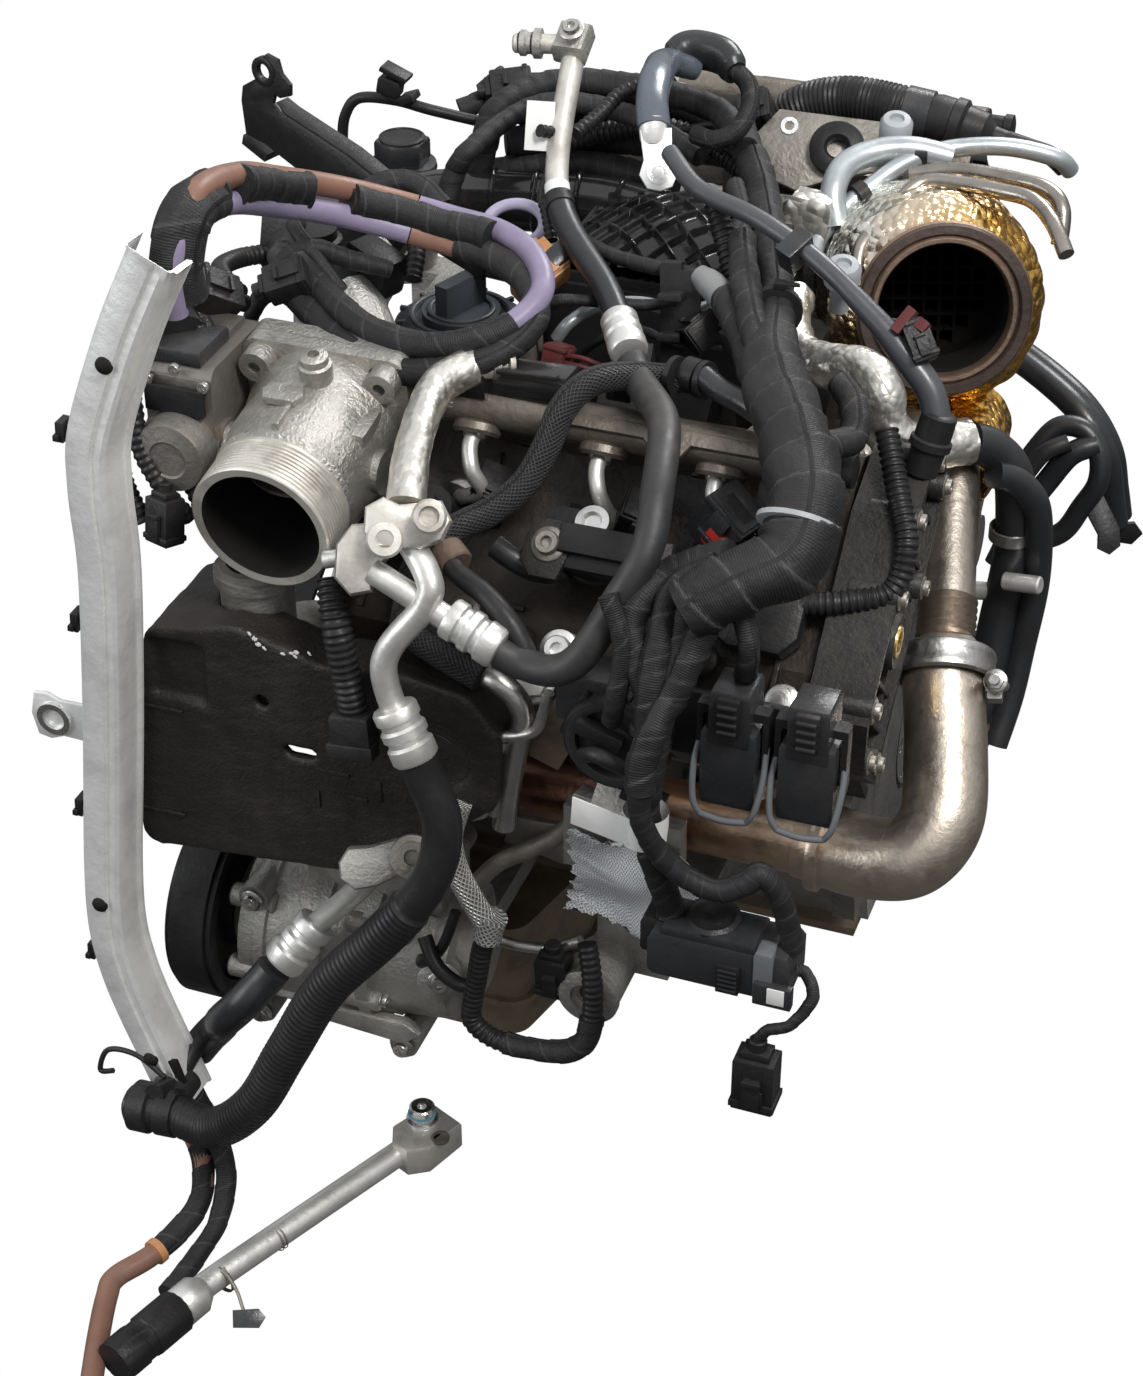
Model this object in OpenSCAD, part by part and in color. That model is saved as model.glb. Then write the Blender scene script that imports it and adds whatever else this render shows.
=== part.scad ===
// V6 turbodiesel car engine, dressed with its intake, exhaust, lines and wiring.
// Frame: origin on the crankshaft axis at the gearbox face, +X to the gearbox,
// +Y away from the exhaust manifold side that carries the lines, +Z up.

/* [Cylinder block] */
// Length of the crankcase along the crankshaft
block_length = 320; // [300:1:360]
// Distance from the crankshaft axis to the head face
deck_height = 200; // [190:1:215]
// Spacing of the cylinders along one bank
bore_spacing = 90; // [86:1:94]
// How far the far bank sits ahead of the near bank
bank_offset = 18; // [14:1:22]
// Width of each bank's head face
deck_width = 150; // [136:1:156]
// Radius of the main journals
journal_r = 32; // [28:1:36]
// Radial running clearance of every shaft
running_gap = 0.05; // [0.02:0.01:0.08]
// Gap between pieces that move past each other
moving_gap = 0.3; // [0.3:0.05:0.6]

/* [Heads and covers] */
// Height of a cylinder head
head_height = 100; // [90:1:110]
// Width of a cylinder head
head_width = 176; // [168:1:180]
// Height of a rocker cover
cover_height = 45; // [38:1:50]
// How far a head stands past the rear of the crankcase
head_overhang = 0; // [-4:1:4]

/* [Sump] */
// Depth of the upper sump casting
upper_sump_depth = 35; // [30:1:40]
// Height of the bottom of the pan, below the crankshaft
pan_bottom = 200; // [185:1:215]

/* [Belt drive] */
// From the front face of the crankcase to the middle of the belt
belt_gap = 36; // [34:1:40]
// Width of the belt
belt_width = 22; // [18:1:24]
// Thickness of the belt
belt_thickness = 4.5; // [3.5:0.5:5]
// Radius of the crankshaft pulley
crank_pulley_r = 78; // [70:1:82]
// Radius of the compressor pulley
compressor_pulley_r = 58; // [52:1:60]
// Radius of the alternator pulley
alternator_pulley_r = 29; // [26:1:32]
// Radius of the tensioner pulley
tensioner_pulley_r = 34; // [30:1:38]

/* [Intake] */
// Inner radius of the throttle
throttle_r = 33; // [30:0.5:34]
// Length of the throttle casting
throttle_length = 102; // [96:1:108]
// Radius of the ribbed intake duct
duct_r = 16; // [13:1:17]
// Height of the lattice ribs on the manifold
rib_height = 5; // [3:1:7]

/* [Exhaust] */
// Radius of the exhaust manifold pipe
manifold_r = 20; // [17:1:21]
// Radius of the converter body
converter_r = 60; // [54:1:62]
// Length of the converter body
converter_length = 100; // [90:1:105]
// Outer radius of the converter outlet flange
outlet_flange_r = 46; // [43:1:50]
// Inner radius of the converter outlet
outlet_r = 37; // [34:1:39]

/* [Lines] */
// Radius of the silver air conditioning pipes
ac_pipe_r = 7; // [5:0.5:8]
// Radius of the air conditioning hoses
ac_hose_r = 11; // [9:0.5:12]
// Radius of one taped battery cable
cable_r = 7; // [5:0.5:8]

/* [Hidden] */

// Levels of the stack of castings, measured from the crankshaft
head_top = deck_height + head_height;
cover_top = head_top + cover_height;
head_front = -block_length + 40;
belt_x = -block_length - belt_gap;
// How far the pieces at the front move when the crankcase is made longer
front_move = head_front + 280;
sump_top = -70;
sump_split = sump_top - upper_sump_depth;
rear_bore_x = -40;
bore_xs = [for (i = [2:-1:0]) rear_bore_x - i * bore_spacing];

// Belt drive centres, seen along the crankshaft
compressor_yz = [-270, -40];
alternator_yz = [215, -12];
tensioner_yz = [-70, 118];
pulley_flange = 2;
pulley_front = belt_x - belt_width / 2 - 3.9;
nose_r = 24;

// Throttle: centre of its flange and the downward tilt of its mouth
throttle_at = [front_move - 283, -235, 289];
throttle_tilt = 9;
flap_distance = 42;
flap_shaft_r = 4;
mouth_depth = 20;

// Coolant stub, filter cap and filler cap
stub_r = 20;
filter_at = [-268, -95, 0];
filter_seat = 268;
filter_r = 36;
filler_at = [front_move - 362, 42, 0];
filler_seat = 300;

// Converter outlet: centre of the flange face and where it points
outlet_at = [6, -52, 312];
outlet_turn = 20;
outlet_lift = 15;
neck_depth = 30;

// Left sides of the two lever plugs
lever_xs = [-36, 4];

// Hand-chosen routes of the pipes, hoses and cables
elbow_route = [[4.2, -267.3, 93.3], [30, -267.3, 93.3], [74, -285, 100], [50, -192, 172]];
riser_route = [[50, -192, 172], [38, -138, 207], [18, -78, 243], [-38, -62, 224], [-68, -58, 214], [-68, -39.2, 214]];
duct_start = [front_move - 342, -78, 292];
duct_along = [-16, 72, -8];
duct_route = [duct_start + duct_along * 0.004, duct_start + duct_along * 0.15, duct_start + duct_along * 0.3,
  [front_move - 332, 2, 300], [-252, 27, 302], [-212, 32, 300], [-186, 28, 296], [-177, 18, 292], [-177, 10, 292], [-177, 2.3, 292]];
ac_top_route = [[-226, -20, 418], [-210, -90, 365], [-155, -160, 345], [-130, -200, 336]];
ac_low_route = [[-142, -360, 244], [-214, -350, 280]];
insulated_route = [[-206, -236, 330], [-216, -258, 326], [-211, -300, 316], [-203, -330, 300]];
pipe_b_route = [[-203, -338, 292], [-183, -352, 276], [-182, -358, 262], [-203, -366, 225], [-184, -372, 176]];
pipe_c_route = [[-236, -292, 38], [-262, -322, 16], [-286, -344, -14]];
hose_a_route = [[-125.1, -207.7, 334.2], [-116.5, -221.6, 331], [-90, -262, 333], [-76, -312, 328], [-72, -340, 308],
  [-84, -354, 280], [-98, -362, 253], [-112, -363, 242], [-129, -360.2, 240.2]];
hose_b_route = [[-180, -373, 168], [-170, -375, 140], [-175, -380, 105], [-200, -386, 65], [-235, -391, 20],
  [-260, -396, -30], [-282, -400, -75], [-312, -395, -108], [-341, -388.5, -112]];
hose_c_route = [[-294.3, -351.6, -24.4], [-305, -361.5, -38], [-320, -358, -58], [-330, -345, -76],
  [-341, -340, -92], [-350, -339.8, -106]];
cable_route = [[-316, -332.9, 404], [-316, -332.9, 424], [-314, -318, 446], [-316, -270, 436], [-318, -214, 410],
  [-304, -174, 390], [-278, -154, 377], [-250, -148, 370], [-220, -152, 368], [-195, -168, 365],
  [-182, -190, 362], [-190, -210, 359], [-210, -224, 358], [-236, -228, 358], [-262, -222, 358],
  [-284, -212, 356], [-304, -202, 354], [-322, -196, 352]];
cable_step = [0, -10.6, -10.6];
harness_route = [[-150, 60, 352], [-120, 0, 350], [-82, -88, 352], [-55, -160, 352], [-35, -225, 352],
  [-10, -272, 345], [0, -308, 334], [-2, -336, 316], [-25, -352, 305], [-45, -362, 292]];
branch_route = [[-45, -362, 292], [-56, -368, 272], [-60, -376, 245], [-58, -382, 210], [-54, -384, 170],
  [-43, -382, 140], [-42, -382, 128], [-42, -382, 118.3]];
branch_b_route = [[-36, -370, 296], [-22, -378, 280], [-14, -380, 268], [-15, -358, 266], [-19, -339, 254],
  [-20, -337, 240], [-20, -337, 226.4]];
foil_route = [[-77, -58, 302.3], [-61, -85, 302.3], [-40, -108, 302], [-16, -122, 298], [4, -124, 290],
  [14, -122, 276], [36, -104, 262]];
coolant_route = [[36.6, -103.5, 261.6], [47, -95, 255], [58, -88, 240], [62, -84, 218], [63, -80, 180], [60, -84, 140],
  [58, -94, 110], [54, -108, 84]];
pair_route = [[-17, 138, 196], [-8, 138, 196], [14, 130, 196], [48, 104, 192], [72, 88, 182], [88, 84, 160], [94, 88, 132],
  [98, 92, 110]];
pair_step = [0, 16.6, -4];
corrugated_route = [[-150, 136, 324.2], [-134, 140, 325], [-112, 152, 336], [-86, 166, 342], [-60, 180, 338],
  [-34, 186, 328]];
hanging_route = [[26.8, -384, 104], [31, -384, 104], [37, -391, 95], [28, -398, 80], [17, -399, 74], [12, -399, 66],
  [12, -399, 58]];
floor_brown_route = [[-357, -362, -122.9], [-347.5, -362, -152], [-338.5, -368, -172], [-334, -388, -188],
  [-343, -425, -192.7], [-356, -451, -192.7], [-354, -466, -192.7], [-344, -495, -192.7], [-331, -528, -192.7],
  [-316, -566, -192.7]];
floor_taped_route = [[-342.8, -362, -118.1], [-333, -362, -145], [-322, -370, -172], [-318, -392, -190],
  [-319, -415, -193.5], [-320, -435, -193.5], [-322.2, -451.6, -193.5]];

function unit(v) = v / norm(v);
function last(list) = list[len(list) - 1];

// A point on a smooth curve through the list, t counted in points
function clamp_index(i, n) = max(0, min(n - 1, i));
function spline(p, t) = let(i = min(floor(t), len(p) - 2), f = t - i, n = len(p),
  a = p[clamp_index(i - 1, n)], b = p[i], c = p[i + 1], d = p[clamp_index(i + 2, n)])
  0.5 * (2 * b + (c - a) * f + (2 * a - 5 * b + 4 * c - d) * f * f + (3 * b - a - 3 * c + d) * f * f * f);

// Unit vector square to t that stays as near to v as it can
function carry(v, t) = unit(v - t * (v * t));

// One tube swept along a route: rings of points and the faces between them
module tube(route, r, sides = 8, steps = 2) {
  count = (len(route) - 1) * steps;
  line = [for (k = [0:count]) spline(route, k / steps)];
  along = [for (k = [0:count]) unit(line[min(k + 1, count)] - line[max(k - 1, 0)])];
  across = [for (k = 0, v = carry(abs(along[0].z) > 0.9 ? [1, 0, 0] : [0, 0, 1], along[0]); k <= count;
    k = k + 1, v = k <= count ? carry(v, along[k]) : v) v];
  points = [for (k = [0:count]) for (j = [0:sides - 1]) let(a = 360 * j / sides)
    line[k] + r * (cos(a) * across[k] + sin(a) * cross(along[k], across[k]))];
  walls = [for (k = [0:count - 1]) for (j = [0:sides - 1])
    [k * sides + j, (k + 1) * sides + j, (k + 1) * sides + (j + 1) % sides, k * sides + (j + 1) % sides]];
  start = [for (j = [0:sides - 1]) j];
  finish = [for (j = [sides - 1:-1:0]) count * sides + j];
  polyhedron(points, concat([start, finish], walls));
}

// A straight round bar between two points
module rod(a, b, r, r2 = undef) {
  d = b - a;
  translate(a) rotate([0, acos(d.z / norm(d)), atan2(d.y, d.x)])
    cylinder(h = norm(d), r1 = r, r2 = is_undef(r2) ? r : r2, $fn = 48);
}

// Corner of a bent pipe cut back to two softer corners, each half the turn
function soft_corner(p, a, b, bend) = let(turn = acos(max(-1, min(1, a * b))),
  cut = bend * (tan(turn / 2) - tan(turn / 4))) [p - a * cut, p + b * cut];
function soft_route(route, bend) = let(n = len(route)) [for (i = [0:n - 1])
  each i == 0 || i == n - 1 ? [route[i]] : soft_corner(route[i], unit(route[i] - route[i - 1]),
  unit(route[i + 1] - route[i]), bend)];

// A bent metal pipe: straight bars joined by balls a hair larger than the bars
module bent_pipe(route, r, bend) {
  path = soft_route(route, bend);
  for (i = [0:len(path) - 2]) rod(path[i], path[i + 1], r);
  for (i = [1:len(path) - 2]) translate(path[i]) sphere(r + 0.15, $fn = 48);
}

// Outline in the plane across the crankshaft, carried from x0 to x1
module across_crank(x0, x1) {
  translate([x0, 0, 0]) rotate([90, 0, 90]) linear_extrude(x1 - x0) children();
}

// A bar along the crankshaft at y, z
module along_x(x0, x1, yz, r, r2 = undef) {
  translate([x0, yz.x, yz.y]) rotate([0, 90, 0])
    cylinder(h = x1 - x0, r1 = r, r2 = is_undef(r2) ? r : r2, $fn = 64);
}

// Local frames of the two banks: y runs to the intake side, z up the cylinders
module near_bank() {
  rotate([45, 0, 0]) children();
}
module far_bank() {
  translate([-bank_offset, 0, 0]) mirror([0, 1, 0]) rotate([45, 0, 0]) children();
}

// Frame of the throttle: z runs out of the mouth, x along the crankshaft
module throttle_frame() {
  translate(throttle_at) rotate([90 + throttle_tilt, 0, 0]) children();
}

// Frame of the converter: z runs out of the outlet
module outlet_frame() {
  translate(outlet_at) rotate([0, 0, outlet_turn]) rotate([90 - outlet_lift, 0, 0]) children();
}

module block_half() {
  s = sin(45);
  w = deck_width / 2;
  polygon([[0, -70], [-100, -70], [-118, 0], [-s * (w + deck_height), s * (deck_height - w)],
    [s * (w - deck_height), s * (deck_height + w)], [-25, 120], [0, 120]]);
}

module block_outline() {
  block_half();
  mirror([1, 0]) block_half();
}

// Gearbox flange: the block outline with the ears that carry the gearbox bolts
module flange_outline() {
  block_outline();
  for (side = [-1, 1]) {
    polygon([[0, -70], [side * 136, -66], [side * 146, -20], [side * 176, 20], [side * 150, 110], [0, 100]]);
    translate([side * 166, 30]) circle(20, $fn = 48);
  }
}

module cylinder_block() {
  color("#6d6c68") difference() {
    union() {
      across_crank(-block_length, -14) block_outline();
      across_crank(-14, 0) flange_outline();
      for (x = [-290:45:-60]) across_crank(x, x + 7)
        polygon([[-98, -66], [-128, -58], [-140, -14], [-140, 14], [-112, 4]]);
      for (x = [-300:85:-40]) along_x(x, x + 18, [-132, 20], 9);
    }
    along_x(-block_length - 1, 1, [0, 0], journal_r + running_gap);
    along_x(-12, 1, [0, 0], 50);
    for (y = [-118, 118]) for (z = [-40, 130]) along_x(-26, 1, [y, z], 5.5);
    across_crank(-block_length - 1, -block_length + 24) polygon([[-30, 60], [30, 60], [20, 100], [-20, 100]]);
  }
}

module upper_sump() {
  color("#84827c") {
    across_crank(-block_length + 2, -2)
      polygon([[-98, sump_top], [98, sump_top], [86, sump_split], [-86, sump_split]]);
    translate([-235, -214, -94]) cube([18, 130, 16]);
  }
}

// Outline of the deep front bowl, kicked out below the compressor
module bowl_outline() {
  offset(r = 16, $fn = 32) polygon([[-326, -152], [-222, -152], [-206, -84], [-206, 84], [-300, 84], [-326, 60]]);
}

module oil_pan() {
  bowl_top = sump_split - 6;
  color("#8a7a5f") {
    translate([-block_length + 2, -98, bowl_top]) cube([block_length - 10, 196, 6]);
    translate([0, 0, -pan_bottom]) linear_extrude(pan_bottom + bowl_top) bowl_outline();
    translate([0, 0, -pan_bottom + 26]) linear_extrude(5) offset(delta = 4) bowl_outline();
    translate([-200, -76, sump_split - 24]) cube([182, 152, 20]);
    translate([-206, 20, -pan_bottom + 44]) rotate([0, 90, 0]) cylinder(h = 26, r = 11, $fn = 48);
  }
}

module head_profile() {
  w = head_width / 2;
  polygon([[-w, deck_height], [w, deck_height], [w, head_top - 18], [w - 6, head_top], [-w + 6, head_top],
    [-w, head_top - 22]]);
}

module head_body() {
  w = head_width / 2;
  difference() {
    union() {
      across_crank(head_front, head_overhang) head_profile();
      for (x = bore_xs) translate([x, -w, deck_height + 55]) rotate([90, 0, 0])
        cylinder(h = 4, r = 21, $fn = 48);
    }
    for (x = bore_xs) translate([x + 12, w + 1, deck_height + 40]) rotate([90, 0, 0])
      cylinder(h = 30, r = 13, $fn = 48);
    for (x = [head_front + 30:62:head_overhang - 20]) translate([x, -w - 1, deck_height + 12])
      cube([34, 7, 22]);
  }
}

module head_left() {
  color("#7f7c75") near_bank() head_body();
}

module head_right() {
  color("#7f7c75") far_bank() head_body();
}

// Rocker cover: camshaft humps along both sides, wells for the injectors, bolt bosses on the rim
module cover_body() {
  w = head_width / 2 - 6;
  low = cover_top - 23;
  difference() {
    union() {
      across_crank(head_front + 2, -235) polygon([[-w, head_top], [w, head_top], [w, head_top + 12],
        [w - 16, low], [-w + 20, low], [-w, head_top + 10]]);
      across_crank(-235, head_overhang - 2) polygon([[-w, head_top], [w, head_top], [w, head_top + 16],
        [w - 10, cover_top - 6], [w - 22, cover_top], [w - 38, cover_top], [22, cover_top - 4],
        [-22, cover_top - 4], [-w + 34, cover_top], [-w + 12, cover_top - 6], [-w, head_top + 14]]);
      for (x = [-225:54:-8]) for (side = [-1, 1]) translate([x, side * (w - 7), head_top])
        cylinder(h = 26, r = 8, $fn = 40);
    }
    for (x = bore_xs) translate([x, -4, head_top - 1]) cylinder(h = cover_height + 2, r = 15, $fn = 48);
    for (x = [-202:90:-20]) translate([x, -w - 1, head_top + 6]) cube([44, 6, 12]);
  }
}

module rocker_cover_left() {
  color("#4a443d") near_bank() cover_body();
}

module rocker_cover_right() {
  color("#4a443d") far_bank() cover_body();
}

// Front cover: carries the tensioner, the alternator and the compressor, and the oil filler neck
module front_cover() {
  face = -block_length;
  color("#8b8a86") difference() {
    union() {
      across_crank(face - 14, face) polygon([[-100, -104], [100, -104], [150, 10], [190, 84], [150, 140],
        [84, 190], [50, 240], [-50, 240], [-84, 190], [-190, 84], [-130, 10]]);
      across_crank(face - 14, face) polygon([[-102, -100], [-118, 8], [-214, 12], [-214, -97]]);
      across_crank(face - 14, face) polygon([[100, -60], [153, -28], [153, 6], [120, 30]]);
      across_crank(face - 14, face + 20) polygon([[140, -24], [153, -24], [153, 0], [140, 0]]);
      along_x(belt_x + belt_width / 2 + 3.9, face, tensioner_yz, 20);
      along_x(belt_x - 17, face - 2, tensioner_yz, 8);
      along_x(belt_x - 19, pulley_front, tensioner_yz, 13);
      translate([filler_at.x, filler_at.y, 232]) cylinder(h = filler_seat - 232, r = 20, $fn = 64);
      translate([face - 34, filler_at.y - 12, 205]) cube([26, 24, 34]);
    }
    along_x(face - 30, face + 1, [0, 0], nose_r + 4);
    translate([filler_at.x, filler_at.y, filler_seat - 34]) cylinder(h = 36, r = 14, $fn = 64);
  }
}

module chain_outline() {
  side = head_width / 2;
  polygon([[-side - 2, 292], [side - 4, 284], [side, 330], [40, 352], [-70, 352], [-side - 4, 330]]);
}

// Rear chain cover of the near bank, with its boxed ribs and the brass insert
module chain_cover() {
  face = head_overhang;
  side = head_width / 2;
  color("#2b2a29") near_bank() difference() {
    union() {
      across_crank(face, face + 10) polygon([[-side - 2, 226], [-56, 214], [-30, 284], [side - 4, 284], [side, 330],
        [40, 352], [-70, 352], [-side - 4, 330]]);
      difference() {
        across_crank(face + 10, face + 34) chain_outline();
        across_crank(face + 11, face + 35) offset(delta = -4) chain_outline();
      }
      across_crank(face + 10, face + 20) polygon([[-side - 2, 226], [-side + 4, 226], [-74, 292], [-80, 292]]);
      across_crank(face + 10, face + 30) polygon([[-60, 300], [86, 318], [86, 323], [-60, 305]]);
      across_crank(face + 10, face + 34) translate([-18, 322]) circle(13, $fn = 48);
      across_crank(face + 10, face + 22) translate([-70, 262]) circle(12, $fn = 48);
    }
    along_x(face + 20, face + 36, [-18, 322], 6);
    along_x(face + 14, face + 36, [-70, 262], 5);
  }
}

// Plenum in the V with a crossed lattice of ribs on its lid and a runner to each port
module intake_manifold() {
  x0 = -222;
  x1 = -88;
  y0 = -92;
  y1 = 2;
  low = 258;
  top = 312;
  color("#1d1e20") {
      translate([x0, y0, low]) linear_extrude(top - low) offset(r = 10, $fn = 32)
        translate([10, 10]) square([x1 - x0 - 20, y1 - y0 - 20]);
      translate([x1 - 12, y0, low]) cube([42, 44, 34]);
      intersection() {
        translate([x0 + 4, y0 + 4, top]) cube([x1 - x0 - 8, y1 - y0 - 8, rib_height]);
        for (k = [-5:12]) for (slope = [-1, 1]) translate([x0 + 18 * k + (slope > 0 ? 0 : 54), y0, top])
          rotate([0, 0, slope > 0 ? 58 : 122]) translate([0, -1.2, 0]) cube([130, 2.4, rib_height]);
      }
      difference() {
        translate([x0 + 3, y0 + 3, top]) cube([x1 - x0 - 6, y1 - y0 - 6, rib_height + 1]);
        translate([x0 + 6, y0 + 6, top - 1]) cube([x1 - x0 - 12, y1 - y0 - 12, rib_height + 3]);
      }
      near_bank() for (x = [-203, -128, -62]) translate([x - 15, head_width / 2, deck_height + 26])
        cube([30, 46, 28]);
      far_bank() translate([-212, head_width / 2, deck_height + 24]) cube([190, 14, 32]);
      for (x = [-140, -112]) across_crank(x - 15, x + 15) polygon([[97, 224], [118, 245], [60, 298], [-4, 306],
        [-4, 268], [40, 266]]);
  }
}

module intake_duct() {
  color("#17181a") {
    tube(duct_route, duct_r, 20, 4);
    for (i = [3:4]) for (k = [0.1:0.2:0.95]) rod(spline(duct_route, i + k), spline(duct_route, i + k + 0.04),
      duct_r + 3);
  }
}

module intake_elbow() {
  color("#a39d93") difference() {
    union() {
      d = unit(duct_along);
      tube([for (k = [4, 13, 22]) throttle_at + [0, k * cos(throttle_tilt), k * sin(throttle_tilt)],
        each [[front_move - 296, -184, 297], [front_move - 320, -148, 299]], for (k = [32, 16, 0.3]) duct_start - d * k], 27, 24, 4);
      throttle_frame() translate([-38, -38, -10]) linear_extrude(9.7) offset(r = 9, $fn = 32) square(76);
      translate([front_move - 334, -146, 300]) cylinder(h = 38, r = 12, $fn = 48);
      translate([front_move - 334, -146, 332]) cylinder(h = 6, r = 15, $fn = 48);
    }
    throttle_frame() translate([0, 0, -34]) cylinder(h = 40, r = throttle_r - 9, $fn = 64);
    throttle_frame() for (x = [-36, 36]) for (y = [-36, 36]) translate([x, y, -12]) cylinder(h = 20, r = 3.5, $fn = 32);
  }
}

// Throttle: turned spigot, swelling casting, square flange, cross bore for the flap shaft
module throttle_body() {
  r = throttle_r;
  l = throttle_length;
  color("#aaa59b") difference() {
    union() {
      throttle_frame() rotate_extrude($fn = 96) polygon([[r, 0], [r + 12, 0], [r + 12, 20], [r + 9, 34],
        [r + 9, 50], [r + 7, l - 30], [r + 3, l - 24], [r + 3, l - 20], [r + 5, l - 18], [r + 5, l - 14],
        [r + 3.4, l - 13], [r + 3.4, l - 8], [r + 5, l - 7], [r + 5, l - 2], [r + 3, l], [r, l]]);
      throttle_frame() difference() {
        translate([-38, -38, 0]) linear_extrude(9) offset(r = 9, $fn = 32) square(76);
        translate([0, 0, -1]) cylinder(h = 12, r = r, $fn = 96);
      }
      throttle_frame() for (side = [-1, 1]) translate([side * (r + 1), 0, flap_distance]) rotate([0, side * 90, 0])
        cylinder(h = 11, r = 12, $fn = 48);
      throttle_frame() for (x = [-36, 36]) translate([x, 36, 0]) cylinder(h = 20, r = 9, $fn = 48);
    }
    throttle_frame() cylinder(h = l + 1, r = r, $fn = 96);
    throttle_frame() translate([0, 0, l - mouth_depth]) cylinder(h = mouth_depth + 1, r = r + 1, $fn = 96);
    throttle_frame() translate([-r - 14, 0, flap_distance]) rotate([0, 90, 0])
      cylinder(h = 2 * r + 18, r = flap_shaft_r + running_gap, $fn = 48);
    throttle_frame() for (x = [-36, 36]) for (y = [-36, 36]) translate([x, y, -1]) cylinder(h = 24, r = 3.5, $fn = 32);
  }
}

// Actuator box with its domed motor cover on the left of the throttle
module throttle_actuator() {
  color("#3a3d42") difference() {
    union() {
      translate([front_move - 370, -288, 262]) rotate([90, 0, 90]) linear_extrude(39.5) offset(r = 8, $fn = 32)
        translate([8, 8]) square([52, 52]);
      translate([front_move - 374, -256, 296]) rotate([0, 90, 0]) cylinder(h = 8, r = 20, $fn = 48);
      translate([front_move - 362, -270, 326]) cube([24, 40, 8]);
      throttle_frame() translate([-throttle_r - 19, 0, flap_distance]) rotate([0, 90, 0])
        cylinder(h = 7, r = 14, $fn = 48);
    }
    throttle_frame() translate([-throttle_r - 30, 0, flap_distance]) rotate([0, 90, 0])
      cylinder(h = 20, r = flap_shaft_r + 1, $fn = 48);
  }
}

module throttle_flap() {
  color("#8d8a80") throttle_frame() translate([0, 0, flap_distance]) {
    translate([-throttle_r - 24, 0, 0]) rotate([0, 90, 0]) cylinder(h = 2 * throttle_r + 26, r = flap_shaft_r, $fn = 48);
    rotate([90, 0, 0]) translate([0, 0, -1]) cylinder(h = 2, r = throttle_r - 0.6, $fn = 96);
  }
}

function rail_port(x) = [x, 22.5, 386.5];

module rail_body() {
  rod([-215, 54, 376], [-22, 54, 376], 10);
  for (x = [-200, -122, -44]) {
    rod([x, 54, 376], [x, 24, 386], 6);
    rod([x, 30, 384], rail_port(x), 8);
  }
  for (x = [-185, -60]) translate([x, 46, cover_top]) cube([16, 12, 26]);
  rod([-222, 54, 376], [-210, 54, 376], 7);
  rod([-26, 54, 376], [-8, 54, 376], 8);
}

module fuel_rails() {
  color("#5b5148") near_bank() rail_body();
  color("#5b5148") far_bank() rail_body();
}

module injector_body() {
  cylinder(h = 52, r = 10, $fn = 40);
  translate([0, 0, 52]) cylinder(h = 16, r = 13, $fn = 40);
  translate([-22, -12, 56]) cube([18, 24, 22]);
  translate([0, 0, 66]) cylinder(h = 12, r = 7, $fn = 40);
}

module injectors() {
  for (x = bore_xs) {
    color("#30302f") near_bank() translate([x, -4, head_top]) injector_body();
    color("#30302f") far_bank() translate([x, -4, head_top]) injector_body();
  }
}

module injector_pipe(x, port_x) {
  start = rail_port(port_x) + [0, -0.7, 0.2];
  tube([start, start + [0, -7, 2.3], [(x + port_x) / 2, 4, 402], [x, -4, 398], [x, -4, head_top + 86],
    [x, -4, head_top + 78.2]], 3.2, 6, 3);
}

module injector_pipes() {
  for (i = [0:2]) {
    color("#b9b6ae") near_bank() injector_pipe(bore_xs[i], [-200, -122, -44][i]);
    color("#b9b6ae") far_bank() injector_pipe(bore_xs[i], [-200, -122, -44][i]);
  }
}

// Near exhaust manifold: a log pipe, three branches and their flanges
module exhaust_manifold() {
  q = -head_width / 2 - 35;
  h = deck_height + 55;
  color("#6b4f45") near_bank() {
    rod([-240, q, h], [4, q, h], manifold_r - 1);
    translate([-240, q, h]) sphere(manifold_r - 1, $fn = 48);
    for (x = bore_xs) {
      rod([x, q, h], [x, -head_width / 2 - 8, h], 16);
      translate([x - 28, -head_width / 2 - 10, h - 22]) cube([56, 5.8, 44]);
    }
  }
}

module exhaust_elbow() {
  color("#8d8173") {
    d = unit(elbow_route[3] - elbow_route[2]);
    soft = soft_route(elbow_route, 40);
    tube([for (k = [0, 8, 16]) soft[0] + [k, 0, 0], soft[2], soft[3], soft[4],
      for (k = [36, 18, 0.4]) soft[5] - d * k], manifold_r, 24, 4);
    rod(elbow_route[3] - d * 5, elbow_route[3] - d * 0.2, manifold_r + 5);
    rod(elbow_route[0], elbow_route[0] + [6, 0, 0], manifold_r + 4);
  }
}

// Clamp ring that draws the two flared flanges together
module v_band_clamp() {
  d = unit(elbow_route[3] - elbow_route[2]);
  c = elbow_route[3];
  color("#a8a49a") {
    difference() {
      rod(c - d * 8, c + d * 8, manifold_r + 8);
      rod(c - d * 9, c + d * 9, manifold_r + 5.2);
    }
    rod(c + [manifold_r + 10.6, -8, -6], c + [manifold_r + 10.6, 10, 8], 4);
  }
}

module riser_pipe() {
  d = unit(riser_route[1] - riser_route[0]);
  e = unit(elbow_route[3] - elbow_route[2]);
  color("#9a8f82") {
    bent_pipe(concat([riser_route[0] + e * 4], [for (i = [1:5]) riser_route[i]]), 14, 8);
    rod(riser_route[0] + e * 0.2, riser_route[0] + e * 5, manifold_r + 5);
    for (k = [12:4:28]) rod(riser_route[0] + d * k, riser_route[0] + d * (k + 1.6), 17);
  }
}

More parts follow.
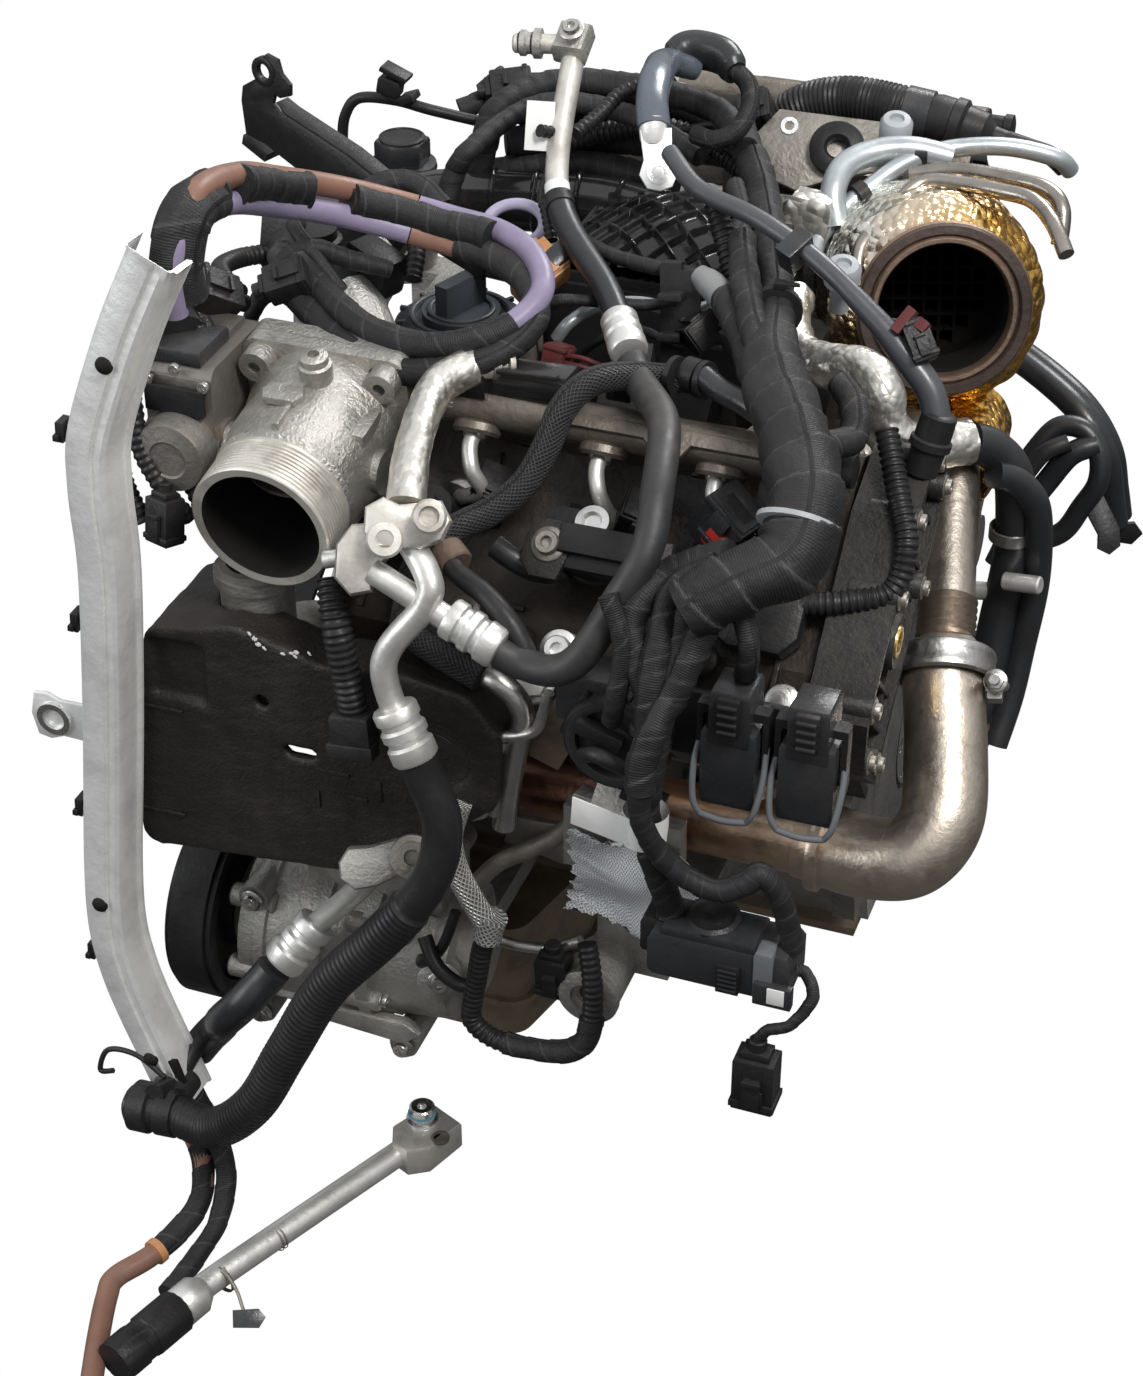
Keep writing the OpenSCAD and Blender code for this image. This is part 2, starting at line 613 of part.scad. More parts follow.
// Turbocharger low in the V: turbine volute, bearing housing and compressor volute
module turbocharger() {
  c = [0, 214];
  color("#7b7268") {
    along_x(-82, -50, c, 30);
    translate([-68, 0, 214]) rotate([0, 90, 0]) rotate_extrude($fn = 64) translate([26, 0]) circle(13, $fn = 40);
    along_x(-112, -80, c, 20);
    along_x(-152, -110, c, 32);
    translate([-130, 0, 214]) rotate([0, 90, 0]) rotate_extrude($fn = 64) translate([26, 0]) circle(13, $fn = 40);
    along_x(-170, -150, c, 22);
    rod([-130, 26, 214], [-180, 26, 214], 12);
    translate([-112, -12, 120]) cube([24, 24, 80]);
  }
}

// Insulated converter: outlet neck, swelling body, domed back, feed from the turbine
module catalytic_converter() {
  l = converter_length;
  r = converter_r;
  color("#c9a13c") difference() {
    union() {
      outlet_frame() rotate_extrude($fn = 72) polygon([[0, -l - 12], [r * 0.55, -l - 10], [r - 8, -l + 2],
        [r, -l + 16], [r, -36], [r - 4, -22], [outlet_flange_r, -8], [outlet_flange_r + 2, -6],
        [outlet_flange_r + 2, 0], [0, 0]]);
      rod([-44, 6, 218], [-14, 22, 272], 19);
    }
    outlet_frame() translate([0, 0, -neck_depth - 1]) cylinder(h = neck_depth + 2, r = outlet_r, $fn = 72);
    outlet_frame() translate([0, 0, -l + 14]) cylinder(h = l - 14 - neck_depth, r = outlet_r + 2, $fn = 72);
    along_x(-84, -49.7, [0, 214], 30.3);
    translate([-68, 0, 214]) rotate([0, 90, 0]) rotate_extrude($fn = 64) translate([26, 0]) circle(13.3, $fn = 40);
  }
}

// Honeycomb brick: a round plug with a square grid of open cells
module catalyst_brick() {
  r = outlet_r + 1.7;
  cell = 9;
  color("#4c443c") outlet_frame() translate([0, 0, -converter_length + 14]) difference() {
    cylinder(h = 30, r = r, $fn = 72);
    for (i = [-3:3]) for (j = [-3:3]) if (norm([i, j]) * cell < r - 8)
      translate([i * cell - 3.6, j * cell - 3.6, 6]) cube([7.2, 7.2, 30]);
  }
}

// Outline of the foam cover, seen from the side it faces
module foam_outline() {
  offset(r = 12, $fn = 32) offset(delta = -12)
    polygon([[-368, 52], [-214, 66], [-200, 92], [-152, 130], [-148, 176], [-166, 200], [-214, 206],
      [-250, 200], [-300, 214], [-352, 200], [-372, 150]]);
}

module extrude_y(y0, y1) {
  translate([0, y1, 0]) rotate([90, 0, 0]) linear_extrude(y1 - y0) children();
}

// Sound foam over the front corner: an open-backed shell with pockets and holes
module foam_cover() {
  face = -345;
  wall = 8;
  color("#241f1b") translate([front_move, 0, 0]) difference() {
    union() {
      extrude_y(face, -314) foam_outline();
      extrude_y(-315, -272) intersection() {
        foam_outline();
        translate([-380, 40]) square([88, 190]);
      }
    }
    extrude_y(face + wall, -260) offset(delta = -wall) foam_outline();
    extrude_y(-313.5, -260) translate([-292 - wall, 60]) square([160, 160]);
    extrude_y(face - 1, face + 4) translate([-352, 158]) square([34, 38]);
    extrude_y(face - 1, face + wall + 1) translate([-274, 136]) square([18, 7]);
    translate([-286, face - 1, 168]) rotate([-90, 0, 0]) cylinder(h = wall + 2, r = 4, $fn = 32);
    translate([-303, -306, 190]) cylinder(h = 40, r = stub_r + 0.2, $fn = 64);
    translate([-186, face - 1, 158]) rotate([-90, 0, 0]) cylinder(h = 3, r = 22, $fn = 64);
  }
}

module coolant_stub() {
  color("#77736c") translate([front_move, 0, 0]) difference() {
    union() {
      bent_pipe([[-303, -306, 232], [-303, -306, 160], [-308, -238, 140], [-280, -238, 140]], stub_r, 5);
      translate([-303, -306, 222]) cylinder(h = 6, r = stub_r + 3, $fn = 64);
    }
    translate([-303, -306, 190]) cylinder(h = 50, r = stub_r - 4, $fn = 64);
  }
}

// Belt path around the four pulleys, grown by a distance
module belt_path(grow) {
  hull() {
    circle(crank_pulley_r + grow, $fn = 96);
    translate(compressor_yz) circle(compressor_pulley_r + grow, $fn = 96);
    translate(alternator_yz) circle(alternator_pulley_r + grow, $fn = 64);
    translate(tensioner_yz) circle(tensioner_pulley_r + grow, $fn = 64);
  }
}

module accessory_belt() {
  color("#1b1b1c") across_crank(belt_x - belt_width / 2, belt_x + belt_width / 2) difference() {
    belt_path(moving_gap + 0.1 + belt_thickness);
    belt_path(moving_gap + 0.1);
  }
}

// Grooved pulley rim between two flanges, with a dished web
module pulley(r, hub_r, web) {
  w = belt_width / 2 + 0.6;
  groove = [for (k = [0:5]) each [[r, -w + 2.2 + k * 3.4], [r - 1.8, -w + 3.6 + k * 3.4], [r, -w + 5 + k * 3.4]]];
  difference() {
    rotate_extrude($fn = 96) polygon(concat([[hub_r, -w - 3], [r + pulley_flange, -w - 3], [r + pulley_flange, -w],
      [r, -w]], groove, [[r, w], [r + pulley_flange, w], [r + pulley_flange, w + 3], [hub_r, w + 3]]));
    if (web > 0) for (z = [-w - 4, w - 5]) translate([0, 0, z]) difference() {
      cylinder(h = 9, r = r - 7, $fn = 96);
      translate([0, 0, -1]) cylinder(h = 11, r = web, $fn = 64);
    }
  }
}

module at_belt(yz) {
  translate([belt_x, yz.x, yz.y]) rotate([0, 90, 0]) children();
}

module crank_pulley() {
  color("#26272a") at_belt([0, 0]) pulley(crank_pulley_r, nose_r, 44);
}

module compressor_pulley() {
  color("#1a1a1b") at_belt(compressor_yz) pulley(compressor_pulley_r, 9 + running_gap, 30);
}

module tensioner_pulley() {
  color("#202122") at_belt(tensioner_yz) pulley(tensioner_pulley_r, 8 + running_gap, 16);
}

module alternator_pulley() {
  color("#3c3d40") at_belt(alternator_yz) pulley(alternator_pulley_r, 8 + running_gap, 0);
}

// Crankshaft: journals through the block, rear flange with the drive bolt circle, front nose
module crankshaft() {
  color("#8f8f8c") difference() {
    union() {
      along_x(-block_length + 0.5, -11.6, [0, 0], journal_r);
      along_x(-11.7, 0, [0, 0], 46);
      along_x(belt_x - 20, -block_length + 4, [0, 0], nose_r);
      along_x(belt_x - 26, belt_x - 19, [0, 0], 20);
    }
    along_x(-30, 1, [0, 0], 11);
    for (k = [0:7]) rotate([45 * k, 0, 0]) along_x(-11.2, 1, [38, 0], 5);
  }
}

// Compressor: pump body, rear head, port block, mounting ears and the pulley's shaft
module ac_compressor() {
  y = compressor_yz.x;
  z = compressor_yz.y;
  front = belt_x + 16;
  color("#b5afa4") difference() {
    union() {
      along_x(front, front + 12, compressor_yz, 30, 46);
      along_x(front + 12, front + 96, compressor_yz, 50);
      along_x(front + 88, front + 96, compressor_yz, 53);
      along_x(front + 96, front + 140, compressor_yz, 47, 42);
      along_x(front + 140, front + 150, compressor_yz, 28);
      translate([front + 48, y - 22, z + 40]) cube([84, 44, 24]);
      for (x = [front + 22, front + 114]) for (dz = [-46, 40]) translate([x, y, z + dz]) rotate([-90, 0, 0]) {
        cylinder(h = 56, r = 9, $fn = 40);
        mirror([0, 0, 1]) cylinder(h = 44, r = 9, $fn = 40);
      }
      along_x(belt_x - 17, front + 4, compressor_yz, 9);
      along_x(belt_x - 19, pulley_front, compressor_yz, 15);
    }
    for (x = [front + 22, front + 114]) for (dz = [-46, 40]) translate([x, y - 45, z + dz]) rotate([-90, 0, 0])
      cylinder(h = 14, r = 4.5, $fn = 32);
  }
}

module alternator() {
  front = belt_x + 16;
  color("#8e8d88") difference() {
    union() {
      along_x(front, front + 14, alternator_yz, 26, 56);
      along_x(front + 14, front + 118, alternator_yz, 60);
      along_x(front + 118, front + 134, alternator_yz, 54, 40);
      along_x(belt_x - 17, front + 4, alternator_yz, 8);
      along_x(belt_x - 19, pulley_front, alternator_yz, 13);
      for (s = [-1, 1]) translate([front + 40, alternator_yz.x + s * 62, alternator_yz.y]) rotate([0, 90, 0])
        cylinder(h = 40, r = 11, $fn = 40);
    }
    for (a = [0:30:330]) rotate([0, 0, 0]) translate([front + 6, alternator_yz.x, alternator_yz.y]) rotate([a, 0, 0])
      translate([0, 34, -4]) cube([18, 18, 8]);
  }
}

// Filter housing beside the near head, with the seat that the cap turns on
module oil_filter_housing() {
  x = filter_at.x;
  y = filter_at.y;
  color("#4e4a45") difference() {
    union() {
      translate([x, y, 150]) cylinder(h = filter_seat - 150, r = filter_r - 1, $fn = 72);
      translate([x, y, filter_seat - 10]) cylinder(h = 10, r = filter_r + 5, $fn = 72);
    }
    near_bank() translate([-400, -100, 100])
      cube([500, 100 + max(head_width, deck_width) / 2 + 0.3, 300]);
    translate([x, y, filter_seat - 24]) cylinder(h = 30, r = filter_r - 9, $fn = 72);
    translate([-400, -200, 149]) cube([600, 220, 35]);
  }
}

// Round filter cap with its grip bar; its spigot turns in the housing
module filter_cap() {
  color("#2f3338") translate([filter_at.x, filter_at.y, filter_seat + 0.3]) difference() {
    union() {
      rotate_extrude($fn = 72) polygon([[0, -16], [filter_r - 9.06, -16], [filter_r - 9.06, 0],
        [filter_r + 3, 0], [filter_r + 3, 9], [filter_r - 5, 15], [filter_r - 9, 15], [filter_r - 9, 12], [0, 12]]);
      cylinder(h = 18, r = 23, $fn = 64);
      rotate([0, 0, 70]) translate([-17, -4.5, 12]) cube([34, 9, 26]);
    }
    translate([-13, -13, 16]) cylinder(h = 3, r = 3, $fn = 32);
  }
}

// Hexagonal oil filler cap: flat lid, hex skirt and a spigot in the neck
module filler_cap() {
  color("#3b4048") translate([filler_at.x, filler_at.y, filler_seat + 0.3]) {
    translate([0, 0, -14]) cylinder(h = 15, r = 14 - running_gap, $fn = 64);
    cylinder(h = 20, r = 25, $fn = 6);
    translate([0, 0, 20]) cylinder(h = 3, r1 = 21.5, r2 = 19.5, $fn = 48);
  }
}

// Centre line of the pressed channel that carries the battery cables
channel_line = [[-313, 435], [-334, 392], [-358, 330], [-361, 296], [-360, 250], [-368, 160], [-384, 14],
  [-378, -38], [-350, -120]];
channel_width = 26;

function channel_side(s) = [for (i = [0:len(channel_line) - 1]) let(n = len(channel_line) - 1,
  d = unit(channel_line[min(i + 1, n)] - channel_line[max(i - 1, 0)]))
  channel_line[i] + s * [-d.y, d.x] * channel_width / 2];

module channel_outline() {
  polygon(concat(channel_side(1), [for (i = [len(channel_line) - 1:-1:0]) channel_side(-1)[i]]));
}

// Pressed aluminium channel, open at the back, with its side tab and the lower strap
module cable_channel() {
  color("#b7b5b0") difference() {
    union() {
      extrude_y(-374, -352) channel_outline();
      extrude_y(-354, -351) offset(delta = 2.5) channel_outline();
      extrude_y(-356, -353) difference() {
        hull() {
          translate([-374, 122]) square([4, 36]);
          translate([-408, 136]) circle(12, $fn = 48);
        }
        translate([-408, 136]) circle(6.5, $fn = 48);
      }
    }
    extrude_y(-372.5, -350) offset(delta = -1.6) channel_outline();
    extrude_y(-375, -374.2) offset(delta = -9) channel_outline();
  }
}

// Black steel arm: a bent flat bar with a lobed tip, a step and a slotted lug
module support_arm() {
  color("#2d2d2f") difference() {
    union() {
      rod_plate([-222, -80, 324], [-392, -26, 368], 22, 12);
      translate([-226, -88, 296]) cube([4, 30, 44]);
      translate([-424, -44, 366]) rotate([90, 0, 0]) linear_extrude(4) offset(r = 4, $fn = 24)
        polygon([[0, 0], [26, 0], [30, 16], [20, 22], [20, 34], [6, 34], [2, 20]]);
      translate([-418, -46, 336]) cube([22, 4, 28]);
      translate([-412, -48, 358]) cube([24, 24, 12]);
    }
    translate([-411, -52, 391]) rotate([-90, 0, 0]) cylinder(h = 12, r = 4.5, $fn = 32);
    translate([-411, -50, 344]) cube([8, 12, 12]);
  }
}

// A flat bar between two points, w deep and t thick
module rod_plate(a, b, w, t) {
  d = b - a;
  translate(a) rotate([0, -asin(d.z / norm(d)), atan2(d.y, d.x)]) translate([0, -t / 2, -w / 2])
    cube([norm(d), t, w]);
}

module coolant_hoses() {
  color("#1c1d20") {
    tube(coolant_route, 11, 10);
    tube(pair_route, 8, 8);
    translate(pair_step) tube(pair_route, 8, 8);
    tube(corrugated_route, 10, 10);
  }
}

module rear_bracket() {
  color("#8c8a84") difference() {
    union() {
      translate([-172, 104, 306]) cube([96, 58, 8]);
      translate([-172, 104, 282]) cube([8, 58, 26]);
      translate([-182, 118, 306]) cylinder(h = 8, r = 16, $fn = 48);
    }
    translate([-182, 118, 300]) cylinder(h = 20, r = 7, $fn = 48);
  }
}

// Steel and aluminium pipes round the converter, with their service caps
module rear_pipes() {
  color("#c2bfb8") {
    tube([[-86, 70, 296], [-90, 72, 322], [-78, 92, 345], [-56, 112, 352], [-20, 128, 352], [2, 138, 348]], 8, 10);
    tube([[-86, 60, 296], [-80, 61, 330], [-62, 68, 358], [-34, 78, 367], [18, 92, 363], [44, 110, 337],
      [56, 122, 300]], 4.5, 8);
    tube([[-92.5, -14, 322], [-92.5, -14, 330], [-92, 12, 340], [-60, 60, 372], [-20, 74, 378], [24, 84, 374],
      [60, 108, 340]], 4.5, 8);
    rod([-90, 16, 342], [-86, 66, 310], 4);
    rod([-92.5, -14, 318.1], [-92.5, -14, 336], 7);
  }
}

module foil_pipe() {
  color("#d4d4d2") tube(foil_route, 10, 10);
}

// Two-bolt pipe block: a round boss, a lug and the pipe socket
module pipe_block(r = 16) {
  difference() {
    union() {
      cylinder(h = 22, r = r, $fn = 48);
      translate([-8, -r - 12, 0]) cube([16, r + 12, 22]);
      translate([0, -r - 12, 0]) cylinder(h = 22, r = 8, $fn = 40);
    }
    translate([0, -r - 12, -1]) cylinder(h = 24, r = 4, $fn = 32);
    translate([0, 0, 14]) cylinder(h = 9, r = r - 7, $fn = 40);
  }
}

// Rolled ferrule between a pipe and its hose
module ferrule(a, b, r) {
  d = unit(b - a);
  l = norm(b - a);
  rod(a, b, r);
  for (k = [0.12, 0.42, 0.72]) rod(a + d * l * k, a + d * (l * k + 3.5), r + 1.8);
}

module ac_line_upper() {
  p = ac_top_route;
  color("#c9c8c4") {
    bent_pipe(p, ac_pipe_r, 30);
    translate(p[0] + [-10, -12, -4]) cube([22, 24, 26]);
    translate(p[0] + [-30, 0, 9]) rotate([0, 90, 0]) cylinder(h = 22, r = 8, $fn = 40);
    d = unit(p[3] - p[2]);
    ferrule(p[3] - d * 22, p[3] + d * 8, 10);
  }
}

module ac_lines_lower() {
  low = ac_low_route;
  d = unit(low[0] - low[1]);
  color("#cdccc8") {
    rod(low[0] - d * 6, low[1], ac_pipe_r);
    ferrule(low[0] - d * 20, low[0] + d * 8, 11);
    translate([-222, -336, 280]) rotate([90, 0, 0]) pipe_block(17);
  }
  color("#cdccc8") {
    bent_pipe(insulated_route, 9, 16);
    bent_pipe(pipe_b_route, ac_pipe_r, 12);
    translate([-212, -342, 276]) cube([22, 18, 30]);
    e = unit(pipe_b_route[4] - pipe_b_route[3]);
    ferrule(pipe_b_route[4] - e * 26, pipe_b_route[4], 12);
  }
  color("#cdccc8") {
    bent_pipe(pipe_c_route, 7, 16);
    translate([-232, -276, 24.2]) rotate([0, 0, 140]) pipe_block(15);
    f = unit(pipe_c_route[2] - pipe_c_route[1]);
    ferrule(pipe_c_route[2] - f * 14, pipe_c_route[2] + f * 14, 12);
  }
}

module ac_hoses() {
  color("#202225") {
    tube(hose_a_route, ac_hose_r - 2, 10);
    tube(hose_b_route, ac_hose_r + 1, 10);
    tube(hose_c_route, ac_hose_r, 10);
    rod([-338, -388.4, -112], [-370, -388.4, -114], 14);
  }
}

module wiring_harness() {
  color("#1f1f21") {
    tube(harness_route, 15, 10);
    tube(branch_route, 7, 8);
    tube(branch_b_route, 6, 8);
  }
}

// The two taped battery cables, side by side over the whole run
module battery_cables() {
  color("#3a3436") {
    tube(cable_route, cable_r, 8);
    translate(cable_step) tube(cable_route, cable_r, 8);
  }
}

// Round shroud, the two lever plugs' housings and the flat control plug
module harness_connectors() {
  color("#1b1b1c") {
    translate([-84, -352, 196]) rotate([-90, 0, 0]) difference() {
      union() {
        cylinder(h = 23, r = 26, $fn = 64);
        translate([-18, 20, 4]) cube([36, 14, 18]);
      }
      translate([0, 0, -1]) cylinder(h = 12, r = 20, $fn = 64);
    }
    for (x = lever_xs) translate([x, -362, 178]) difference() {
      cube([30, 32, 48]);
      translate([5, -1, 6]) cube([20, 8, 36]);
      translate([-1, 11, 24]) rotate([0, 90, 0]) cylinder(h = 32, r = 2.05, $fn = 32);
    }
    translate([-110, -330, 126]) cube([146, 5, 88]);
    translate([-110, -330, 126]) cube([50, 16, 5]);
    translate([-50, -396, 88]) difference() {
      cube([76, 30, 30]);
      translate([8, -1, 6]) cube([54, 6, 18]);
    }
  }
}

// Locking lever of one plug: two side arms on a pin and a cross bar
module lever(x) {
  translate([x, -351, 202]) {
    for (side = [-3.4, 30.4]) translate([side, 0, 0]) {
      translate([0, -4, -4]) cube([3, 8, 33]);
    }
    translate([-3.4, -4, 28]) cube([36.8, 8, 5]);
    translate([-3, 0, 0]) rotate([0, 90, 0]) cylinder(h = 36, r = 2, $fn = 32);
  }
}

module connector_lever_front() {
  color("#2b2c2e") lever(lever_xs[0]);
}

module connector_lever_rear() {
  color("#2b2c2e") lever(lever_xs[1]);
}

module hanging_plug() {
  color("#1d1e20") translate([0, -410, 22]) difference() {
    cube([24, 22, 35.8]);
    translate([4, -1, 5]) cube([16, 5, 20]);
    translate([5, 5, -1]) cube([14, 12, 12]);
  }
}

module hanging_lead() {
  color("#222224") tube(hanging_route, 3.5, 8);
}

module glass_mat() {
  color("#b9bab6") translate([-114, -326.2, 66]) cube([66, 4, 58]);
}

// Left engine mount: a cast bracket on the side of the block with a foot below
module engine_mount() {
  color("#86827b") difference() {
    union() {
      translate([-122, -322, 86]) cube([66, 10, 40]);
      translate([-116, -313, 70]) cube([54, 22, 26]);
      translate([-110, -300, 0]) cube([42, 24, 76]);
      translate([-114, -290, 0]) cube([50, 150, 14]);
      translate([-104, -330, 4]) rotate([-90, 0, 0]) cylinder(h = 32, r = 17, $fn = 48);
    }
    translate([-104, -331, 4]) rotate([-90, 0, 0]) cylinder(h = 31, r = 6, $fn = 48);
  }
}

// Loose line on the ground: drier, silver pipe and its end block
module drier_pipe() {
  a = [-318, -500, -186];
  b = [-302, -452, -186];
  c = [-230, -284, -189];
  body = unit(b - a);
  color("#cfcfcc") {
    rod(a, b, 14);
    rod(a - body * 4, a + body, 10);
    rod(b - body, b + body * 4, 11);
    rod(b, c, 8);
    translate([c.x, c.y, -200]) cylinder(h = 26, r = 13, $fn = 48);
    translate([c.x + 12, c.y - 8, -200]) cylinder(h = 18, r = 10, $fn = 48);
  }
}

module floor_cable_brown() {
  color("#a8693f") tube(floor_brown_route, 7.3, 8);
}

module floor_cable_taped() {
  color("#232325") tube(floor_taped_route, 6.5, 8);
}

cylinder_block();
upper_sump();
oil_pan();
head_left();
head_right();
rocker_cover_left();
rocker_cover_right();
front_cover();
chain_cover();
intake_manifold();
intake_duct();
intake_elbow();
throttle_body();
throttle_actuator();
fuel_rails();
injectors();
injector_pipes();
exhaust_manifold();
exhaust_elbow();
v_band_clamp();
riser_pipe();
turbocharger();
catalytic_converter();
catalyst_brick();
foam_cover();
coolant_stub();
accessory_belt();
ac_compressor();
alternator();
oil_filter_housing();
cable_channel();
support_arm();
coolant_hoses();
rear_bracket();
rear_pipes();
foil_pipe();
ac_line_upper();
ac_lines_lower();
ac_hoses();
wiring_harness();
battery_cables();
harness_connectors();
hanging_plug();
hanging_lead();
glass_mat();
engine_mount();
drier_pipe();
floor_cable_brown();
floor_cable_taped();
crankshaft();
crank_pulley();
compressor_pulley();
tensioner_pulley();
alternator_pulley();
throttle_flap();
filter_cap();
filler_cap();
connector_lever_front();
connector_lever_rear();
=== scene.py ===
import math

import bpy
import numpy as np
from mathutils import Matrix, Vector


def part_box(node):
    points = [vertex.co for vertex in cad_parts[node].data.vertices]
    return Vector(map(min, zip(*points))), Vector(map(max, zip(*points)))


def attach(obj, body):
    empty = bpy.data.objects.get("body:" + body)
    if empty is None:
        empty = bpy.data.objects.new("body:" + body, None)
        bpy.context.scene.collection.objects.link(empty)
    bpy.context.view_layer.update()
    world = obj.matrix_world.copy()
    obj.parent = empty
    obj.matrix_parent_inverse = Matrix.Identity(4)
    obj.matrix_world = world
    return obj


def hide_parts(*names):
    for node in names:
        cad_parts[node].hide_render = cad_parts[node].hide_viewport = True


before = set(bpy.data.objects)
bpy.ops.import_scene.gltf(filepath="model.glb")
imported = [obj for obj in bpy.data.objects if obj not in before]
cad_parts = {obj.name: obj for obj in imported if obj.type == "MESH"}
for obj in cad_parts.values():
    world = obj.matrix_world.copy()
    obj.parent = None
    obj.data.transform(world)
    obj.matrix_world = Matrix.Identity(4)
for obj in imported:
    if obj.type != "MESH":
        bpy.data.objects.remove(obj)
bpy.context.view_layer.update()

# ------------ camera
# Stands in front of the engine, towards its gearbox end, and looks down on it as a person beside it would.
# Long lens, everything sharp.
AZIMUTH, ELEVATION, DISTANCE = math.radians(20), math.radians(35), 1.605
TARGET = Vector((-0.180, -0.150, 0.075))
back = Vector(
    (math.sin(AZIMUTH) * math.cos(ELEVATION), -math.cos(AZIMUTH) * math.cos(ELEVATION), math.sin(ELEVATION))
)
camera = bpy.data.objects.new("camera", bpy.data.cameras.new("camera"))
camera.data.lens, camera.data.sensor_width = 70, 36
camera.location = TARGET + back * DISTANCE
camera.rotation_mode = "QUATERNION"
camera.rotation_quaternion = (-back).to_track_quat("-Z", "Y")
bpy.context.collection.objects.link(camera)
scene = bpy.context.scene
scene.camera = camera
scene.view_settings.view_transform = "Standard"
scene.view_settings.look = "None"

# ------------ hanging plug
# Small latching plug that hangs on the short lead: black moulded nylon, square, with a window in its latch
# and a rounded back. It is pushed onto the ends of the lead's wires.
MM = 0.001
UP, FRONT, BACK, RIGHT, LEFT = (0, 0, 1), (0, -1, 0), (0, 1, 0), (1, 0, 0), (-1, 0, 0)


class Nodes:
    """A small hand for one node tree: add nodes, set their inputs, link them."""

    def __init__(self, tree):
        self.tree = tree

    def add(self, kind, props=None, **inputs):
        """Adds a node with its properties and inputs."""
        node = self.tree.nodes.new(kind)
        for key, value in (props or {}).items():
            setattr(node, key, value)
        for key, value in inputs.items():
            self.put(node, key, value)
        return node

    def put(self, node, key, value):
        """Sets one input by its number (i0, i1) or its name; a socket is linked."""
        socket = node.inputs[int(key[1:]) if key[0] == "i" and key[1:].isdigit() else key.replace("_", " ")]
        if isinstance(value, bpy.types.NodeSocket):
            self.tree.links.new(value, socket)
        elif isinstance(value, (tuple, list)) and socket.type == "RGBA" and len(value) == 3:
            socket.default_value = (*value, 1)
        else:
            socket.default_value = value

    def math(self, op, a, b=0.0, clamp=False):
        """One arithmetic node; gives its result."""
        return self.add("ShaderNodeMath", {"operation": op, "use_clamp": clamp}, i0=a, i1=b).outputs[0]

    def mix(self, factor, a, b, blend="MIX"):
        """Blends colour a towards b by the factor."""
        node = self.add("ShaderNodeMix", {"data_type": "RGBA", "blend_type": blend})
        self.put(node, "i0", factor)
        self.put(node, "i6", a)
        self.put(node, "i7", b)
        return node.outputs[2]

    def ramp(self, value, low, high, a=0.0, b=1.0):
        """Maps value from the range low to high onto a to b, held at both ends."""
        return self.add(
            "ShaderNodeMapRange", {"clamp": True}, Value=value, From_Min=low, From_Max=high, To_Min=a,
            To_Max=b
        ).outputs[0]

    def noise(self, where, scale, detail=4.0, rough=0.55):
        """Fractal noise between 0 and 1 at the place given."""
        return self.add("ShaderNodeTexNoise", Vector=where, Scale=scale, Detail=detail,
            Roughness=rough).outputs["Fac"]


def shader_group(name, inputs, outputs, build):
    """A node group with inputs {name: (kind, default)} and outputs {name: kind}.

    build(nodes, inputs) adds its nodes and returns the outputs by name.
    """
    tree = bpy.data.node_groups.new(name, "ShaderNodeTree")
    for key, (kind, default) in inputs.items():
        socket = tree.interface.new_socket(key, in_out="INPUT", socket_type="NodeSocket" + kind)
        socket.default_value = (*default, 1) if kind == "Color" else default
    for key, kind in outputs.items():
        tree.interface.new_socket(key, in_out="OUTPUT", socket_type="NodeSocket" + kind)
    n = Nodes(tree)
    source, sink = n.add("NodeGroupInput"), n.add("NodeGroupOutput")
    for key, value in build(n, source.outputs).items():
        tree.links.new(value, sink.inputs[key])
    return tree


def build_grime(n, i):
    """Broad noise makes the colour lighter and darker; finer noise lays soil on it, and dust settles most on
    faces that look up. Roughness rises with the dust.
    """
    where = n.add("ShaderNodeTexCoord").outputs["Object"]
    up = n.add("ShaderNodeSeparateXYZ", Vector=n.add("ShaderNodeNewGeometry").outputs["Normal"]).outputs["Z"]
    broad = n.noise(where, 14.0, 5.0, 0.62)
    fine = n.noise(where, 95.0, 4.0, 0.7)
    settle = n.math("MULTIPLY", n.ramp(up, -0.3, 0.9, 0.25, 1.0), n.ramp(fine, 0.35, 0.75, 0.35, 1.0))
    dust = n.math("MULTIPLY", n.math("MULTIPLY", settle, n.ramp(broad, 0.34, 0.66)), i["Dust"])
    soil = n.math("MULTIPLY", n.ramp(n.noise(where, 31.0, 6.0, 0.66), 0.48, 0.7), i["Soil"])
    value = n.math("ADD", n.math("MULTIPLY", n.ramp(broad, 0.3, 0.7, -0.5, 0.5), i["Mottle"]), 1.0)
    shade = n.add("ShaderNodeCombineXYZ", X=value, Y=value, Z=value).outputs[0]
    color = n.mix(1.0, i["Color"], shade, "MULTIPLY")
    color = n.mix(soil, color, i["Soil color"])
    color = n.mix(dust, color, i["Dust color"])
    rough = n.math("ADD", i["Roughness"], n.math("MULTIPLY", n.math("ADD", dust, n.ramp(fine, 0.3, 0.7, -0.4,
        0.4)), 0.2), True)
    return {"Color": color, "Roughness": rough}


GRIME = shader_group(
    "grime",
    {
        "Color": ("Color", (0.5, 0.5, 0.5)),
        "Soil color": ("Color", (0.03, 0.025, 0.02)),
        "Dust color": ("Color", (0.32, 0.28, 0.23)),
        "Roughness": ("Float", 0.5),
        "Mottle": ("Float", 0.3),
        "Soil": ("Float", 0.3),
        "Dust": ("Float", 0.3),
    },
    {"Color": "Color", "Roughness": "Float"},
    build_grime,
)


